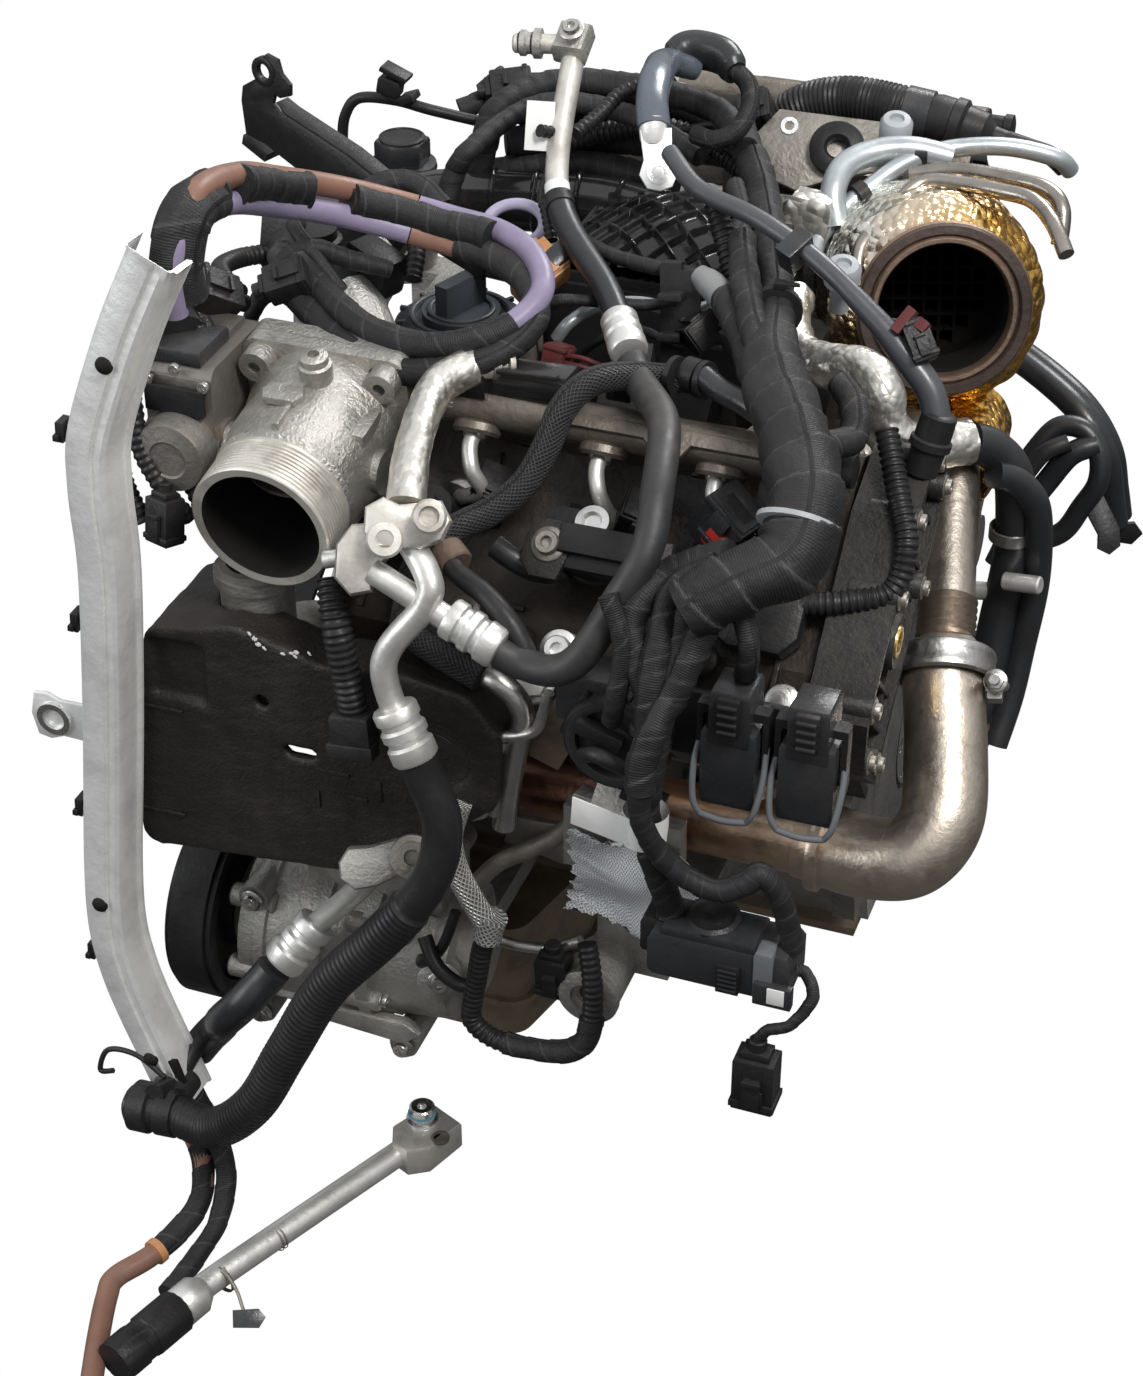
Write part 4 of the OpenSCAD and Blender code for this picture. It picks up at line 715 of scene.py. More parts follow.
harness.tube([[-20, -350, 290], [-14, -356, 274], [-16, -352, 258], [-20, -340, 244], [-20, -337, 228]], 5.8,
    TAPE, 20, 1.3, taped(12.0, 0.08, 10))
harness.tube([[-84, -362, 292], [-74, -368, 268], [-76, -372, 240], [-80, -366, 222]], 5.5, TAPE, 20, 1.3,
    taped(14.0, 0.08, 10))
harness.tube([[-96, -112, 366], [-84, -146, 362], [-66, -190, 358], [-46, -226, 352]], 8.2, TAPE, 24, 1.3,
    taped(18.0, 0.08, 11))
harness.tube([[-196, -104, 340], [-186, -110, 347], [-166, -124, 350], [-142, -131, 351], [-120, -134, 352],
    [-104, -141, 351]], 4.4, FINE_TAPE, 18, 1.4, taped(12.0, 0.08, 13))
harness.tube([[-112, -135, 352], [-104, -141, 351], [-94, -151, 350], [-84, -164, 349]], 8.0, LEVER_GREY, 24,
    1.6, lambda s, a: 1 - 0.22 * np.exp(-((s / 6.0) ** 2)))
harness.tube([[-92, -153, 350], [-84, -164, 349], [-72, -184, 346], [-60, -208, 342], [-50, -226, 340]], 9.0,
    TAPE, 26, 1.3, taped(15.0, 0.08, 14))
harness.tube([[-14, -205, 340], [-2, -222, 338], [2, -240, 330], [-8, -262, 336]], 7.6, TAPE, 22, 1.3,
    taped(15.0, 0.08, 12))
band(harness, (-62, -160, 352), (17, -65, 0), 13.0, 5, BLACK_PLASTIC, hint=(0.2, -0.4, 1))
band(harness, (-56, -381, 232), (0, -3, -20), 8.2, 4, BLACK_PLASTIC)
band(harness, (-2, -322, 326), (0, -20, -18), 19.6, 3, LIGHT_PLASTIC, tail=False)
harness.make()

# ------------ cable channel
# Pressed aluminium channel with a rolled lip on each side and a drilled tab; scratched and a little dull.
# Rivets and one bolt sit on its face, and small black clips on its edge.
MACHINED = material("machined alloy", (0.74, 0.74, 0.73), metal=1.0, rough=0.27, dust=0.1, soil=0.15,
    mottle=0.15, bump=0.12, grain=500.0)
BRIGHT_ALLOY = material("bright alloy", (0.72, 0.715, 0.70), metal=0.92, rough=0.38, dust=0.12, soil=0.22,
    mottle=0.22, grain=180.0)
CHANNEL_ALLOY = material("channel alloy", (0.84, 0.84, 0.825), metal=0.40, rough=0.42, dust=0.12, soil=0.22,
    mottle=0.22, grain=180.0)
DULL_STEEL = material("dull steel", (0.30, 0.28, 0.25), metal=0.8, dust=0.35, soil=0.5, mottle=0.4, bump=0.4,
    grain=240.0)
# Near-black painted shade, not a surface's own colour: it lines the throttle's bore and the converter's mouth,
# and covers the channel's rivets and a slot beside its bolt.
PAINTED_SHADE_INSIDE = material("painted shade inside", (0.006, 0.0055, 0.005), metal=0.1, rough=0.8, dust=0.03, soil=0.1,
    bump=0.3, grain=200.0)
finish(BRIGHT_ALLOY, "cable_channel")
CHANNEL = np.array([[-313, 435], [-334, 392], [-358, 330], [-361, 296], [-360, 250], [-368, 160], [-384, 14],
    [-378, -38], [-350, -120]])


def channel_sweep(piece):
    """Sweep of the profile (u across, v depth) along the smoothed line in the XZ plane.

    Points are c(s) + u n(s) + v BACK, n being the line's normal in its plane.
    """
    soft = np.vstack([CHANNEL[:1], (CHANNEL[:-1] * 0.78 + CHANNEL[1:] * 0.22),
        (CHANNEL[:-1] * 0.22 + CHANNEL[1:] * 0.78), CHANNEL[-1:]])
    soft = soft[np.argsort(-soft[:, 1])]
    line, s = resample(curve(np.c_[soft[:, 0], np.zeros(len(soft)), soft[:, 1]], 8), 4.0)
    t = np.gradient(line, axis=0)
    t /= np.linalg.norm(t, axis=1)[:, None]
    n = np.c_[-t[:, 2], np.zeros(len(t)), t[:, 0]]
    u = np.array([-14.6, -15.4, -15.3, -13.6, -12.9, -11.6, -9.0, 3.0, 4.2, 5.6, 9.2, 11.6, 12.9, 13.4, 15.2,
        15.4, 14.4, 12.2, 11.2, -11.2, -12.2])
    v = np.array([-351.4, -352.2, -353.6, -354.4, -357, -371.6, -373.8, -374.6, -373.2, -373.2, -374.6, -373.6,
        -370.6, -355, -354, -352.4, -351.4, -353.2, -370.6, -370.6, -353.2])
    p = line[:, None] + u[None, :, None] * n[:, None]
    p[..., 1] = v[None, :]
    cap = p[:1] - 3.0 * t[0]
    cap[..., 1] = -373.6 + 0.12 * (v + 373.6)
    p = np.concatenate([cap, p])
    s = np.concatenate([[-3.0], s])
    uv = np.stack(np.broadcast_arrays(np.linspace(0, 1, len(u))[None, :], s[:, None] * MM), -1).reshape(-1, 2)
    piece.grid(p, CHANNEL_ALLOY, uv)


channel = Piece("cable_channel", "bright_alloy", replaces=("cable_channel",))
channel_sweep(channel)
channel.prism([(-12, -14), (-4, -15.4), (4, -12), (46, -13), (46, 13), (4, 12), (-4, 15.4), (-12, 14),
    (-15, 0)][::-1], -1.5, 1.5, (-408, -354.5, 136), FRONT, CHANNEL_ALLOY, 0.9, hint=(0, 0, 1))
channel.lathe([(6.6, -1.8), (6.6, 2.6), (10.2, 2.6), (10.6, 1.4), (10.6, -1.8), (6.6, -1.8)],
    (-408, -355.6, 136), FRONT, MACHINED, 32)
# The rivet heads are coloured with the near-black painted shade.
for x, z in ((-341, 376), (-383, 24), (-362, -88)):
    channel.lathe([(0.3, 3.2), (3.0, 2.6), (4.6, 1.0), (4.8, -0.5)], (x, -374.4, z), FRONT, PAINTED_SHADE_INSIDE, 18)
for x, z in ((-358, 330), (-363.6, 214), (-375.8, 88), (-380.2, -18)):
    channel.box((x - 15.6, -366, z), (4.4, 9, 12), BLACK_PLASTIC, (0.06, 0, 1), BACK, 0.8)
    channel.box((x - 17.4, -370, z - 3), (3, 4, 4), BLACK_PLASTIC, (0.06, 0, 1), BACK, 0.6)
# Near-black patch beside the bolt: painted shade of a slot.
channel.box((-346, -373, -96), (7, 2.6, 22), PAINTED_SHADE_INSIDE, (-0.28, 0, 1), BACK, 0.6)
channel.bolt((-352, -374, -106), FRONT, 13, DULL_STEEL, "round")
channel.make()

# ------------ upper air conditioning line
# Drawn aluminium pipe with a bolted block and a filling port at its head, a labelled rubber part in the
# middle and a pressed ferrule at its end.
OBLIQUE = (0, -0.5, 0.86)
STAINED_ALLOY = material("stained alloy", (0.70, 0.675, 0.62), metal=0.65, rough=0.40, dust=0.1, soil=0.5,
    mottle=0.2, bump=0.2, grain=160.0, soil_color=(0.10, 0.06, 0.03))
PIPE_ALLOY = material("pipe alloy", (0.74, 0.735, 0.71), metal=0.75, rough=0.40, dust=0.12, mottle=0.2,
    bump=0.2, grain=150.0, soil_color=(0.16, 0.12, 0.08))
SATIN_STEEL = material("satin steel", (0.56, 0.55, 0.53), metal=1.0, rough=0.34, dust=0.15, soil=0.25,
    mottle=0.25, bump=0.2, grain=260.0)
RUBBER = material("rubber", (0.012, 0.012, 0.0135), rough=0.42, dust=0.08, soil=0.1, mottle=0.25, bump=0.15,
    grain=350.0)
SATIN_RUBBER = material("satin rubber", (0.016, 0.0175, 0.020), rough=0.34, dust=0.05, soil=0.1, mottle=0.2,
    bump=0.08, grain=250.0, shine=0.5)


def crimp(piece, at, axis, r, length=24.0, mat=PIPE_ALLOY):
    """A pressed ferrule: two squeezed grooves between plain collars."""
    l = length
    profile = [(r * 0.8, 0), (r * 1.0, 0.4), (r * 1.08, l * 0.05), (r * 1.08, l * 0.22), (r * 0.96, l * 0.26),
        (r * 0.96, l * 0.34)]
    profile += [(r * 1.1, l * 0.39), (r * 1.1, l * 0.52), (r * 0.97, l * 0.57), (r * 0.97, l * 0.64),
        (r * 1.12, l * 0.69)]
    profile += [(r * 1.12, l * 0.92), (r * 1.0, l * 0.98), (r * 0.8, l)]
    ax = unit(axis)
    return piece.lathe(profile, np.asarray(at, float) - ax * l / 2, axis, mat, 36)


finish(PIPE_ALLOY, "ac_line_upper")
TOP = [[-226, -20, 418], [-210, -90, 365], [-155, -160, 345], [-130, -200, 336]]
line_top = Piece("ac_line_upper", "pipe_alloy", replaces=("ac_line_upper",))
top_end = float(resample(curve(TOP), 1.0)[1][-1])
line_top.tube(part_of(TOP, 0, 104), 6.6, STAINED_ALLOY, 24, 1.6, smooth=False)
line_top.tube(part_of(TOP, 100, top_end - 14), 7.6, SATIN_RUBBER, 24, 2, smooth=False)
line_top.tube(part_of(TOP, 92, 101), 8.3, BLACK_PLASTIC, 24, 1, smooth=False)
ends = part_of(TOP, top_end - 30, top_end)
crimp(line_top, ends[len(ends) // 2] + (1, -2, 0), ends[-1] - ends[0], 9.4, 30)
line_top.tube(part_of(TOP, 84, 92), 7.2, WHITE_LABEL, 20, 1, smooth=False)
line_top.box((-231, -62, 391), (16, 1.0, 28), WHITE_LABEL, (-0.13, 0.54, 0.82), (0.28, -0.77, 0.57), 0.3)
line_top.box((-227, -18, 424), (19, 20, 17), CAST_ALLOY, OBLIQUE, (0, -1, -0.4), 3.5)
line_top.bar((-233, -22, 424), (-260, -27, 423), 5.6, STAINED_ALLOY, 24, 1.2)
for k in range(3):
    line_top.lathe([(5.4, -1.2), (6.7, 0), (5.4, 1.2)], (-249 - 3.6 * k, -24.8 - 0.6 * k, 423.4),
        (-1, -0.17, -0.03), RUBBER, 24, caps=False)
line_top.lathe([(5, 0), (8.6, 1), (8.6, 5), (6.2, 6), (6.2, 9), (7.4, 10), (7.4, 13), (5, 14)],
    (-243, -23.5, 423.6), (-1, -0.17, -0.03), CAST_ALLOY, 28)
line_top.bolt((-225, -26, 435), OBLIQUE, 10, SATIN_STEEL, "round")
line_top.make()

# ------------ lower air conditioning lines
# Bright drawn pipes bolted together through two lobed alloy blocks; ferrules are pressed on where hoses
# begin. The short one near the throttle wears a sleeve of crumpled foil.
def build_foil(n, i):
    """Crumpled foil: cell distances and ridged noise give the folds, and gold grows towards the gearbox
    end and the foot, with burnt spots.
    """
    where = n.add("ShaderNodeTexCoord").outputs["Object"]
    cells = n.add("ShaderNodeTexVoronoi", {"feature": "F1"}, Vector=where,
        Scale=i["Cell"]).outputs["Distance"]
    folds = n.add("ShaderNodeTexNoise", {"noise_type": "RIDGED_MULTIFRACTAL"}, Vector=where, Scale=42.0,
        Detail=4.0)
    height = n.math("ADD", n.math("MULTIPLY", cells, -0.9), n.math("MULTIPLY", folds.outputs["Fac"], 0.55))
    bump = n.add("ShaderNodeBump", Strength=i["Strength"], Distance=0.0025, Height=height)
    spot = n.add("ShaderNodeSeparateXYZ", Vector=where)
    lean = n.math("SUBTRACT", n.math("MULTIPLY", spot.outputs["X"], 9.0), n.math("MULTIPLY", spot.outputs["Z"],
        7.0))
    gold = n.ramp(n.math("ADD", lean, n.math("MULTIPLY", n.noise(where, 13.0, 4.0, 0.6), 1.5)), i["From"],
        i["To"])
    burn = n.ramp(n.noise(where, 26.0, 5.0, 0.7), 0.50, 0.68)
    warm = n.mix(burn, (0.72, 0.42, 0.10), (0.30, 0.12, 0.035))
    return {"Color": n.mix(gold, (0.70, 0.68, 0.62), warm), "Normal": bump.outputs[0]}


FOIL = shader_group(
    "foil",
    {
        "Cell": ("Float", 260.0),
        "Strength": ("Float", 0.7),
        "From": ("Float", -1.0),
        "To": ("Float", 0.0),
    },
    {"Color": "Color", "Normal": "Vector"},
    build_foil,
)


SILVER_FOIL = material("silver foil", (0.72, 0.72, 0.71), metal=0.95, rough=0.36, dust=0.05, soil=0.1,
    mottle=0.15, foil={"Cell": 200.0, "Strength": 0.26, "From": 9.0, "To": 10.0})
finish(PIPE_ALLOY, "ac_lines_lower")
FOIL_LEG = [[-206, -236, 330], [-216, -258, 326], [-211, -300, 316], [-203, -330, 300]]
LEG_LOW = [[-142, -360, 244], [-213, -352, 272]]
LEG_DOWN = [[-203, -338, 292], [-183, -352, 276], [-182, -358, 262], [-203, -366, 225], [-184, -372, 176]]
LEG_COMP = [[-222, -346, 74], [-232, -345, 58], [-246, -339, 38], [-258, -333, 22], [-268, -330, 9],
    [-277, -336, -3]]
lines = Piece("ac_lines_lower", "pipe_alloy", replaces=("ac_lines_lower",))
lines.tube(FOIL_LEG, 9.6, SILVER_FOIL, 30, 1.2, lambda s,
    a: 1 + 0.035 * np.abs(np.sin(s / 5.3 + 2 * np.sin(a))) + 0.05 * np.sin(a * 2 + s / 21))
lines.tube([[-194, -226, 329], [-201, -231, 330.5], [-210, -240, 330]], 8.2, PIPE_ALLOY, 24, 1.0)
lines.lathe([(6, 0), (8.4, 0.5), (8.6, 3.4), (6.4, 4.4), (6.4, 7), (8.2, 8), (8.2, 12), (6, 12.5)],
    (-186, -222, 328), (-0.8, -0.5, 0.1), DULL_STEEL, 28)
lines.tube(LEG_LOW, 6.6, PIPE_ALLOY, 24, 2)
lines.tube(LEG_DOWN, 7.0, PIPE_ALLOY, 24, 1.5)
lines.tube(LEG_COMP, 6.8, PIPE_ALLOY, 24, 2)
crimp(lines, (-156, -358, 251), np.subtract(LEG_LOW[0], LEG_LOW[1]), 10.2, 32)
crimp(lines, (-190, -371.5, 190), (0.5, -0.15, -1), 11.2, 32)
crimp(lines, (-278, -337, -4), (-0.5, -0.45, -0.7), 11.4, 34)
FACING, UPRIGHT = (0.28, -0.77, 0.57), (-0.2, 0.54, 0.82)
lines.prism([(-20, -5), (-13, -12), (8, -13), (19, -9), (24, 1), (19, 11), (8, 10), (-2, 9), (-10, 13),
    (-19, 8)], -9, 9, (-199, -342, 297), FACING, STAINED_ALLOY, 3.4, hint=UPRIGHT)
lines.prism([(-5, 17), (6, 18), (14, 11), (13, 0), (6, -8), (5, -17), (-6, -19), (-14, -10), (-13, 7)], -9, 8,
    (-221, -346, 274), FACING, STAINED_ALLOY, 3.6, hint=UPRIGHT)
lines.lathe([(9, -3), (9.6, 5), (8.4, 6.6), (4.6, 6.8), (3.8, 3), (0.4, 3)], (-205, -352, 292), FACING,
    STAINED_ALLOY, 32)
lines.lathe([(8.2, -3), (8.8, 9), (7.6, 10.4), (5.2, 10.6), (4.6, 7), (0.4, 7)], (-183, -346, 306), FACING,
    STAINED_ALLOY, 32)
lines.bar((-221, -346, 266), (-212, -346, 270), 8.6, STAINED_ALLOY, 26, 1.4)
lines.bar((-219, -335, 272), (-246, -340, 264), 4.6, PIPE_ALLOY, 20, 1)
LOBED = [(-25, -9), (-17, -15), (-5, -13), (5, -8), (17, -9), (25, -1), (25, 9), (17, 15), (5, 13), (-9, 9),
    (-21, 8), (-26, 0)]
lines.prism(LOBED, -34, 9, (-214, -350, 83), FACING, CAST_ALLOY, 3.6, hint=UPRIGHT)
lines.lathe([(12, 8), (12.6, 9), (12, 12), (8.6, 12.6), (8.4, 15), (4.4, 15.4), (4.2, 12), (0.4, 12)],
    (-200, -346, 88), FACING, DULL_STEEL, 32)
lines.make()

# ------------ air conditioning hoses
# Satin black rubber hoses of the same circuit, pressed into the ferrules. The long one runs in a ribbed
# protective sleeve to the ribbed cap by the channel's foot.
BLACK_STEEL = material("black steel", (0.018, 0.018, 0.020), metal=0.3, rough=0.40, dust=0.10, soil=0.12,
    bump=0.2, grain=260.0)
GREY_PLASTIC = material("slate plastic", (0.021, 0.0225, 0.0255), rough=0.30, dust=0.10, soil=0.15,
    mottle=0.25, bump=0.15, grain=400.0, shine=0.5)
HOSE_RUBBER = material("hose rubber", (0.021, 0.0215, 0.023), dust=0.16, soil=0.15, bump=0.12, grain=250.0,
    shine=0.45)
finish(RUBBER, "ac_hoses")
HOSE_A = [[-125.1, -207.7, 334.2], [-116.5, -221.6, 331], [-90, -262, 333], [-76, -312, 328], [-72, -340, 308],
    [-84, -354, 280]]
HOSE_A += [[-98, -362, 253], [-112, -363, 242], [-129, -360.2, 240.2], [-142, -360, 244]]
HOSE_B = [[-184, -372, 182], [-180, -373, 168], [-170, -375, 140], [-175, -380, 105], [-200, -386, 65],
    [-235, -391, 20]]
HOSE_B += [[-260, -396, -30], [-282, -400, -75], [-312, -395, -108], [-341, -388.5, -112]]
HOSE_C = [[-290, -348, -18], [-294.3, -351.6, -24.4], [-305, -361.5, -38], [-320, -358, -58],
    [-330, -345, -76], [-341, -340, -92], [-350, -339.8, -106]]


def sleeved(s, a):
    """The bare hose for 103 mm, then a sleeve 13 % thicker with a fine rib every 3.6 mm."""
    on = np.clip((s - 103) / 2.0, 0, 1)
    return 1 + on * (0.13 + 0.026 * np.sin(2 * math.pi * s / 3.6)) + 0.012 * np.sin(s / 30 + a)


hoses = Piece("ac_hoses", "rubber_black", replaces=("ac_hoses",))
hoses.tube(HOSE_A, 8.3, HOSE_RUBBER, 26, 2, lambda s, a: 1 + 0.02 * np.sin(s / 40))
hoses.tube(HOSE_B, 10.7, RUBBER, 28, 0.9, sleeved)
hoses.tube(HOSE_C, 10.6, SATIN_RUBBER, 26, 2)
hoses.tube([[-352, -392, -98], [-350, -372, -104], [-346, -352, -94], [-338, -342, -84]], 6.5, RUBBER, 20, 2)
hoses.lathe([(10, 0), (14.4, 1), (14.6, 12), (12.8, 13), (12.8, 17), (15.2, 18), (15.2, 29), (12.6, 31)],
    (-338, -388.4, -112), (-1, 0, -0.06), BLACK_PLASTIC, 36)
hoses.lathe([(2, -3), (9.4, -3), (11.6, -1), (12.4, 8), (12.4, 14)], (-369, -388.4, -113.8), (1, 0, 0.06),
    GREY_PLASTIC, 20, wave=lambda h, a: 1 + 0.03 * np.cos(5 * a))
hoses.tube([[-352, -378, -96], [-372, -374, -88], [-392, -372, -92], [-398, -374, -108], [-388, -376, -104]],
    1.7, BLACK_STEEL, 10, 1.2)
hoses.bar((-346, -362, -108), (-347, -386, -110), 9.5, BLACK_PLASTIC, 24, 1)
hoses.make()

# ------------ throttle and intake elbow
# Sand-cast alloy with ribs and small sensor ports; its spigot is turned, with grooves that grip a hose. Four
# bolts through their bosses hold the square flange to the elbow.
THROTTLE_ALLOY = material("throttle alloy", (0.50, 0.485, 0.45), metal=0.85, rough=0.44, dust=0.2, soil=0.35,
    mottle=0.35, bump=0.7, grain=420.0)
finish(THROTTLE_ALLOY, "throttle_body", "intake_elbow")
finish(DARK_ALLOY, "throttle_flap")
MOUTH_AXIS = np.array([0, -math.cos(math.radians(9)), -math.sin(math.radians(9))])
MOUTH_UP = np.array([0, -math.sin(math.radians(9)), math.cos(math.radians(9))])
THROTTLE = np.array([-283.0, -235, 289])


def throttle(x, y, z):
    """A point of the throttle's own frame: z runs out of the mouth."""
    return THROTTLE + np.array([x, 0, 0]) + MOUTH_UP * y + MOUTH_AXIS * z


spigot = Piece("throttle_spigot", "throttle_alloy")
groove = [(33.1, 101.9), (37.6, 102.4), (38.6, 101.6)]
for k in range(9):
    groove += [(38.7, 101.4 - 2.6 * k), (38.7, 100.2 - 2.6 * k), (37.9, 99.9 - 2.6 * k),
        (37.9, 99.2 - 2.6 * k)]
groove += [(38.9, 77.6), (38.9, 75.6), (36.0, 74.8), (36.0, 101.7), groove[0]]
spigot.lathe(groove, THROTTLE, MOUTH_AXIS, STAINED_ALLOY, 96)
# The spigot's bore is lined with the near-black painted shade.
spigot.lathe([(32.9, 101.4), (33.0, 102.0), (33.4, 101.6), (33.4, 34), (32.9, 34), (32.9, 101.4)], THROTTLE,
    MOUTH_AXIS, PAINTED_SHADE_INSIDE, 80)
for x in (-36, 36):
    for y in (-36, 36):
        at = throttle(x, y, 8.5)
        spigot.lathe([(9.6, -14), (9.9, -1), (9.2, 0), (4, 0.2)], at, MOUTH_AXIS, THROTTLE_ALLOY, 28)
        spigot.bolt(at, MOUTH_AXIS, 10.5, SATIN_STEEL, "round")
for angle in (35, 90, 145, 205, 335):
    a = math.radians(angle)
    d = MOUTH_UP * math.sin(a) + np.array([math.cos(a), 0, 0])
    spigot.prism([(-1.9, 0), (1.9, 0), (1.9, 62), (-1.9, 62)], 0, 7.5 if angle != 90 else 10.5,
        throttle(0, 0, 8) + d * 33.5, d, THROTTLE_ALLOY, 1.2, hint=MOUTH_AXIS)
spigot.lathe([(9, -8), (9, 4), (7.6, 5), (7.6, 9), (6.4, 10), (3.2, 10.4), (3, 6), (0.4, 6)],
    throttle(4, 47, 26), MOUTH_UP, THROTTLE_ALLOY, 28)
spigot.prism([(-9, -7), (9, -7), (12, 0), (9, 7), (-9, 7), (-12, 0)], 0, 5, throttle(-6, 41, 46), MOUTH_UP,
    THROTTLE_ALLOY, 1.4, hint=MOUTH_AXIS)
spigot.bolt(throttle(46, -14, 14), (1, 0, 0.1), 9, SATIN_STEEL, "round")
spigot.bar(throttle(38, -20, 34), throttle(52, -26, 40), 6.2, THROTTLE_ALLOY, 22, 1.2)
spigot.box(throttle(34, 22, 36), (11, 8, 26), THROTTLE_ALLOY, MOUTH_AXIS, (1, 0.6, 0), 2.2)
spigot.lathe([(13.5, -1), (15.2, 0), (15.2, 6), (12.5, 7), (12.2, 12), (4, 12.4)], (-334, -146, 337), UP,
    BLACK_PLASTIC, 30)
spigot.make()

# ------------ throttle drive
# Gear housing of the throttle in ribbed black plastic, screwed on, with a domed motor cover and a pale clip
# band. Its plug and two ribbed conduits stand beside it.
DULL_ALLOY = material("dull alloy", (0.20, 0.185, 0.17), metal=0.6, rough=0.48, dust=0.2, soil=0.4, mottle=0.4,
    bump=0.3, grain=240.0)
finish(DULL_ALLOY, "throttle_actuator")
drive = Piece("throttle_drive", "throttle_alloy")
drive.box((-350, -255, 296), (36, 62, 6), GREY_PLASTIC, (0, -1, 0.1), UP, 2)
drive.lathe([(21, 0), (21.5, 10), (20.4, 12), (20.4, 16), (19.4, 18), (11, 20), (10, 19), (4, 19)],
    (-350, -287, 284), FRONT, DARK_ALLOY, 44)
drive.lathe([(23.2, -6), (23.6, -5), (23.6, 0), (22, 1.2), (20, 1.2)], (-350, -287, 284), FRONT, TAN_STEEL,
    44)
for x, z in ((-366, 322), (-334, 322), (-366, 266), (-334, 266), (-350, 330)):
    drive.bolt((x, -289, z), FRONT, 6.5, SATIN_STEEL, "round", washer=False)
for k in range(5):
    drive.box((-371, -262 + 9 * k, 296), (2.4, 2.2, 54), GREY_PLASTIC, edge=0.6)
drive.box((-352, -268, 334), (30, 34, 10), GREY_PLASTIC, edge=2.5)
drive.box((-351, -291, 312), (34, 3, 16), BLACK_STEEL, UP, FRONT, 1)
plug(drive, (-366, -262, 344), (-0.6, -0.5, 0.4), UP, (20, 15, 26))
drive.tube([[-372, -270, 344], [-378, -286, 334], [-372, -298, 306], [-366, -304, 284], [-352, -306, 262],
    [-344, -300, 246]], 5.0, BLACK_PLASTIC, 16, 0.9, rings(4.2, 0.07))
drive.tube([[-346, -250, 337], [-359, -262, 331], [-362, -276, 305], [-354, -288, 282], [-336, -300, 258],
    [-322, -312, 244]], 5.4, BLACK_PLASTIC, 16, 0.9, rings(4.2, 0.07))
plug(drive, (-352, -312, 250), (0, -0.2, -1), (-0.4, -1, 0), (17, 13, 26))
drive.make()

# ------------ foam cover
# Moulded sound foam at the front corner: soft edges, a dusty, dented face and a ring pressed into it. It is
# pushed over the coolant stub; paint is chipped off round a worn spot.
FOAM = material("foam", (0.0125, 0.0105, 0.0092), rough=0.52, dust=0.10, soil=0.35, mottle=0.8, bump=0.55,
    grain=420.0, dust_color=(0.10, 0.072, 0.052), shine=0.45)


finish(FOAM, "foam_cover")
def ripple(p, size, seed, count=9):
    """Sum of sines in random directions, wavelength about size mm, from -1 to 1."""
    random = np.random.default_rng(seed)
    way = random.normal(size=(count, 3))
    way *= (2 * math.pi / size * random.uniform(0.6, 1.6, count) / np.linalg.norm(way, axis=1))[:, None]
    return np.sin(p @ way.T + random.uniform(0, 6.28, count)).sum(1) / math.sqrt(count) / 1.6


def soften(name, mat, voxel, rounds, rough, size):
    """The node's own solid remeshed in small cells, rounded off and made uneven: p + n (rough ripple(p))."""
    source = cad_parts[name]
    obj = bpy.data.objects.new(name + "_v", source.data.copy())
    bpy.context.collection.objects.link(obj)
    cells = obj.modifiers.new("cells", "REMESH")
    cells.mode, cells.voxel_size = "VOXEL", voxel * MM
    relax = obj.modifiers.new("relax", "SMOOTH")
    relax.factor, relax.iterations = 0.5, rounds
    mesh = bpy.data.meshes.new_from_object(obj.evaluated_get(bpy.context.evaluated_depsgraph_get()))
    obj.modifiers.clear()
    p, n = np.zeros(len(mesh.vertices) * 3), np.zeros(len(mesh.vertices) * 3)
    mesh.vertices.foreach_get("co", p)
    mesh.vertices.foreach_get("normal", n)
    p, n = p.reshape(-1, 3), n.reshape(-1, 3)
    p += n * ((ripple(p / MM, size, 3) + 0.4 * ripple(p / MM, size / 3, 4)) * rough * MM)[:, None]
    mesh.vertices.foreach_set("co", p.ravel())
    mesh.materials.clear()
    mesh.materials.append(mat)
    mesh.polygons.foreach_set("use_smooth", [True] * len(mesh.polygons))
    mesh.name = name + "_v"
    obj.data = mesh
    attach(obj, "engine")
    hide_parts(name)
    return obj


foam = soften("foam_cover", FOAM, voxel=1.9, rounds=6, rough=0.55, size=34)
chips = Piece("foam_marks", "foam")
for k in range(26):
    a = 2 * math.pi * k / 26 + 0.35 * math.sin(k * 5.1)
    spot = np.array([-271 + 18 * math.cos(a), -345.6, 213 + 8.5 * math.sin(a) + 1.6 * math.sin(k * 2.3)])
    if spot[2] < 212.5:
        chips.prism([(-1.6, -0.4), (0.2, -0.9), (1.5, -0.2), (0.7, 0.8), (-1.1, 0.6)], 0, 0.5,
            spot - (0, -0.2, 0), (0.1 * math.sin(k), -1, 0), WHITE_LABEL, 0.2,
            hint=(math.sin(k), 0, math.cos(k * 3.0)))
chips.lathe([(21.4, -0.6), (20.8, 1.0), (19.2, 1.2), (18.4, -0.6)], (-186, -342.6, 158), FRONT, FOAM, 48)
chips.lathe([(13.4, -0.6), (12.8, 0.8), (11.2, 0.8), (10.4, -0.6)], (-186, -342.6, 158), FRONT, FOAM, 40)
for x, z, w, h in ((-246, 132, 20, 3.2), (-232, 118, 12, 2.6), (-256, 112, 3, 12), (-219, 126, 3, 14),
        (-352, 150, 36, 2.4), (-352, 78, 26, 2.0)):
    chips.box((x, -345, z), (w, 1.6, h), FOAM, edge=0.7)
chips.make()

